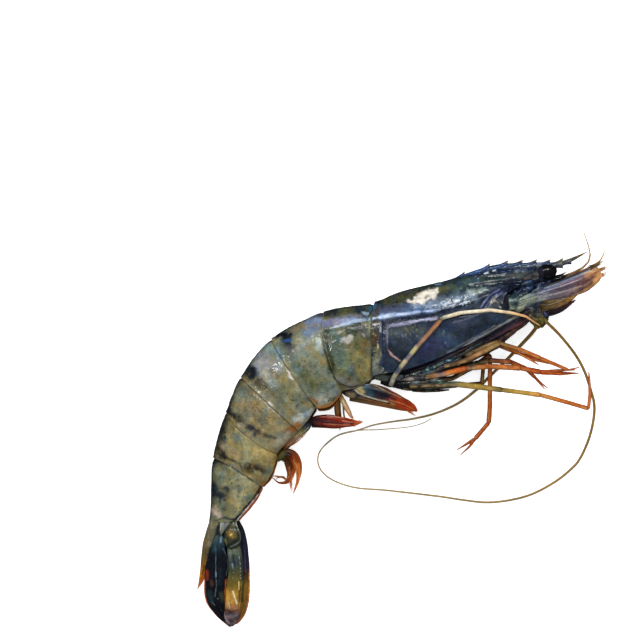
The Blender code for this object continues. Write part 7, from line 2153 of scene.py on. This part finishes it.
hairLook = dict(
    sides=3, rings=7,
    # name, slot, then bundles: start, end, bow to the side, number, spread, thickness, root and tip colour
    tufts=[
        (
            "scaleHairs", "scale_shell",
            [
                ((66, 56.6, 13), (71, 59.4, 12.8), 0.3, 26, 0.9, 0.16, (60, 52, 46), (170, 128, 76)),
                ((67, 55.4, 13), (72.6, 57.4, 12.6), 0.2, 30, 0.9, 0.18, (176, 96, 50), (206, 150, 84)),
                ((67, 53.6, 12.8), (72.8, 55, 12.4), 0.1, 30, 0.9, 0.18, (150, 70, 40), (210, 140, 66)),
                ((64, 51, 12.6), (69.6, 52.6, 12.2), 0.2, 26, 0.8, 0.16, (176, 110, 50), (214, 160, 84)),
                ((56, 47.4, 12.6), (61.4, 49, 12.2), 0.2, 20, 0.6, 0.14, (150, 104, 44), (196, 146, 76)),
                ((58.6, 44, 4.8), (61.6, 45.8, 4.8), 0.2, 12, 0.3, 0.12, (120, 70, 40), (196, 140, 76)),
                ((66, 52.6, 4.8), (70.4, 55.4, 4.8), 0.2, 16, 0.6, 0.14, (140, 80, 40), (200, 140, 76)),
            ],
        ),
        (
            "hornHairs", "feeler",
            [
                ((50, 52.4, 12.6), (53.6, 54.6, 12.6), 0.3, 22, 0.6, 0.14, (20, 24, 22), (36, 40, 30)),
                ((53, 53.6, 12.2), (57.6, 55.2, 12.2), 0.3, 26, 0.6, 0.14, (22, 26, 22), (50, 46, 30)),
                ((48, 50.6, 13.2), (51.6, 51.6, 13), -0.3, 18, 0.5, 0.12, (110, 92, 50), (176, 150, 90)),
                ((46, 53.2, 12.8), (49.6, 53.6, 12.6), 0.2, 14, 0.4, 0.12, (120, 96, 56), (160, 130, 80)),
                ((54, 53.8, 11.8), (58.6, 55.6, 11.8), 0.2, 14, 0.4, 0.12, (24, 26, 24), (120, 84, 40)),
            ],
        ),
        (
            "swimHairs1", "swimmeret_shell",
            [
                ((-2, 11, 13.2), (6.4, 6.2, 12.6), -1.2, 40, 0.5, 0.2, (120, 40, 14), (190, 96, 40)),
                ((-3, 9.4, 13.2), (5.4, 4.9, 12.4), -0.5, 40, 0.6, 0.2, (140, 50, 14), (196, 104, 44)),
                ((-1, 8.8, 13), (4, 6.6, 12.6), -0.3, 24, 0.6, 0.18, (150, 60, 18), (206, 120, 60)),
                ((-2, 8.4, 5.4), (3.4, 6.2, 5), -0.4, 16, 0.5, 0.16, (150, 80, 30), (206, 130, 70)),
            ],
        ),
        (
            "swimHairs2", "swimmeret_shell",
            [
                (
                    (-20.2, 10.4, 12.8), (-16.6, 3.4, 12.4), 0.5, 26, 0.45, 0.16, (196, 160, 100),
                    (206, 110, 50),
                ),
                ((-19.6, 10.2, 12.6), (-15.8, 3, 12.2), 0.8, 16, 0.4, 0.14, (200, 170, 116), (214, 140, 76)),
                ((-22, 9.4, 6), (-21.2, -0.6, 4.6), 0.4, 26, 0.45, 0.16, (176, 130, 66), (196, 104, 44)),
                ((-20, 9, 6), (-19.4, 2, 5), 0.3, 20, 0.35, 0.16, (196, 156, 84), (206, 140, 70)),
            ],
        ),
        (
            "swimHairs3", "swimmeret_shell",
            [
                ((-28, 4, 10.8), (-14.4, 2.8, 10.2), 0.9, 34, 0.5, 0.18, (110, 26, 16), (196, 84, 34)),
                ((-22, 2.8, 10.4), (-12.8, 3, 10), 0.2, 30, 0.4, 0.18, (130, 40, 18), (206, 96, 40)),
                ((-26, 1.8, 10.2), (-15.6, 1.4, 9.8), -0.3, 30, 0.4, 0.18, (120, 34, 18), (206, 110, 56)),
            ],
        ),
        (
            "swimHairs4", "swimmeret_shell",
            [((-38.6, -5.4, 8.8), (-32.6, -0.6, 9.2), 0.3, 16, 0.2, 0.12, (150, 84, 40), (190, 120, 60))],
        ),
        (
            "swimHairs5", "swimmeret_shell",
            [
                ((-37, -13, 8.8), (-38, -23.2, 7), 1.2, 14, 0.35, 0.15, (150, 66, 24), (206, 116, 60)),
                (
                    (-37.6, -14.6, 8.4), (-38.4, -20.6, 7.4), 0.4, 16, 0.5, 0.12, (206, 130, 80),
                    (226, 170, 130),
                ),
                ((-39.6, -18, 4.4), (-45.6, -16.2, 3.2), 0.7, 14, 0.3, 0.16, (160, 80, 30), (214, 140, 80)),
                (
                    (-39.4, -18.6, 4.2), (-45.2, -17.4, 3.2), 1.6, 14, 0.35, 0.15, (160, 80, 30),
                    (214, 140, 80),
                ),
            ],
        ),
    ],
    # a comb of short hairs along a line: name, slot, line, direction, length, number, thickness, colours
    fringes=[
        (
            "tailFringeInner", "tail_shell",
            [
                (-68.8, -53, 4.9), (-68.8, -57, 4.5), (-68.1, -60.4, 4), (-66, -63.4, 3.6), (-63, -66.4, 3.2),
                (-60, -69, 3),
            ],
            (-0.6, -0.8), 0.28, 300, 0.1, (196, 92, 30), (220, 140, 70),
        ),
        (
            "tailFringeOuter", "tail_gold",
            [
                (-61.9, -65, 4.8), (-61.2, -67.4, 4.4), (-59.4, -68.7, 4.2), (-57.6, -67.2, 4.5),
                (-56.4, -65, 4.8),
            ],
            (0, -1), 0.4, 110, 0.1, (96, 80, 80), (160, 136, 130),
        ),
        (
            "tailFringeFar", "tail_shell",
            [(-53, -51, 0.7), (-53.1, -57, 0.7), (-53.8, -62, 0.7), (-55.6, -66, 0.7), (-57.6, -67.8, 0.7)],
            (0.8, -0.6), 0.26, 240, 0.1, (196, 100, 36), (220, 146, 76),
        ),
        (
            "scaleFringe", "scale_shell",
            [(51, 45.6, 13), (57, 47.2, 12.8), (63, 49.2, 12.6), (68, 52, 12.4)], (0.7, -0.6), 1.1, 130, 0.12,
            (160, 104, 44), (206, 150, 80),
        ),
        (
            "scaleFringeFar", "scale_shell",
            [(50, 40, 4.8), (55.4, 41, 4.9), (58.4, 43, 4.9), (61, 45.2, 4.9)], (0.9, 0.1), 0.45, 60, 0.1,
            (90, 50, 40), (170, 110, 60),
        ),
    ],
)


def hairArrays(starts, ends, bows, thick, look):
    # tapered three-sided hairs, each bowed sideways: all their points, and each point's share along its hair
    share = np.linspace(0, 1, look["rings"])
    along = ends - starts
    flat = np.stack([along[:, 1], -along[:, 0], np.zeros(len(along))], axis=-1)
    flat /= np.maximum(np.linalg.norm(flat, axis=1), 1e-6)[:, None]
    bend = 4 * share * (1 - share)
    line = starts[:, None, :] + along[:, None, :] * share[None, :, None]
    line = line + flat[:, None, :] * (bows[:, None] * bend[None, :])[..., None]
    angle = roundAngles(look["sides"])
    radius = (thick[:, None] * (1 - 0.86 * share[None, :]))[..., None, None]
    up = np.array([0.0, 0.0, 1.0])
    cosine, sine = np.cos(angle)[:, None], np.sin(angle)[:, None]
    ring = cosine * flat[:, None, None, :] + sine * up
    return line[:, :, None, :] + ring * radius, share


def makeHairPiece(name, groups, look):
    # groups: starts, ends, bows, thickness, root colour, tip colour
    allPoints, allTints, quads, tris = [], [], [], []
    base = 0
    rings, sides = look["rings"], look["sides"]
    face = gridFaces(rings, sides, True)
    for starts, ends, bows, thick, root, tip in groups:
        points, share = hairArrays(starts, ends, bows, thick, look)
        count = len(starts)
        tint = linear(root) + (linear(tip) - linear(root)) * share[:, None]
        tint = np.broadcast_to(tint[None, :, None, :], points.shape)
        allPoints.append(points.reshape(-1, 3))
        allTints.append(tint.reshape(-1, 3))
        offset = base + np.arange(count) * rings * sides
        quads.append((face[None, :, :] + offset[:, None, None]).reshape(-1, 4))
        ends3 = np.array([[2, 1, 0], [(rings - 1) * sides, (rings - 1) * sides + 1, (rings - 1) * sides + 2]])
        tris.append((ends3[None, :, :] + offset[:, None, None]).reshape(-1, 3))
        base += count * rings * sides
    vertices = np.concatenate(allPoints)
    vertices[:, 2] = np.maximum(vertices[:, 2], 0.05)
    makePiece(name, vertices, np.concatenate(quads), np.concatenate(tris), np.concatenate(allTints),
              finish["hairFinish"], (), 80)


def makeHairs(look):
    random = np.random.default_rng(901)
    for name, slot, bundles in look["tufts"]:
        groups = []
        for start, end, bow, number, spread, thick, root, tip in bundles:
            wide = random.normal(0, 1, (number, 3)) * np.array([0.8, 0.8, 0.5])
            fan = random.normal(0, 1, (number, 3)) * np.array([0.9, 0.9, 0.5])
            starts = np.array(start) + wide * spread * 0.6
            ends = np.array(end) + fan * spread * 0.6
            cut = random.uniform(0.72, 1.0, number)[:, None]
            ends = starts + (ends - starts) * cut
            bows = bow * random.uniform(0.7, 1.3, number)
            groups.append((starts, ends, bows, thick * random.uniform(0.7, 1.2, number), root, tip))
        makeHairPiece(name, groups, look)
    for name, slot, line, direction, length, number, thick, root, tip in look["fringes"]:
        where = random.uniform(0, len(line) - 1, number)
        starts = curveAt(line, where)
        heading = np.array([direction[0], direction[1], 0.0]) / math.hypot(*direction)
        lean = random.normal(0, 0.22, (number, 3)) * np.array([1, 1, 0.3])
        ends = starts + (heading + lean) * (length * random.uniform(0.6, 1.1, number))[:, None]
        makeHairPiece(name, [(starts, ends, random.normal(0, 0.08, number),
                                    thick * random.uniform(0.7, 1.2, number), root, tip)], look)


makeHairs(hairLook)
print("leg roots, head and hairs done")


# The floor.

def makeFloor():
    size, drop = 3.0, 0.0001
    mesh = bpy.data.meshes.new("floor")
    corners = [(-size, -size, -drop), (size, -size, -drop), (size, size, -drop), (-size, size, -drop)]
    mesh.from_pydata(corners, [], [(0, 1, 2, 3)])
    material = bpy.data.materials.new("floorPaint")
    material.use_nodes = True
    tree = material.node_tree
    shader = tree.nodes["Principled BSDF"]
    place = addNode(tree, "ShaderNodeTexCoord").outputs["Object"]
    cloud = addRange(tree, addNoise(tree, place, 6.0, 2.0), 0.3, 0.7)
    wire(tree, addMix(tree, cloud, (0.93, 0.93, 0.93), (0.95, 0.95, 0.95)), shader.inputs["Base Color"])
    shader.inputs["Roughness"].default_value = 0.9
    shader.inputs["Specular IOR Level"].default_value = 0.1
    shader.inputs["Emission Color"].default_value = (1.0, 1.0, 1.0, 1.0)
    shader.inputs["Emission Strength"].default_value = 0.62
    mesh.materials.append(material)
    floor = bpy.data.objects.new("floor", mesh)
    floor.visible_glossy = False
    floor.visible_diffuse = False
    scene.collection.objects.link(floor)


makeFloor()
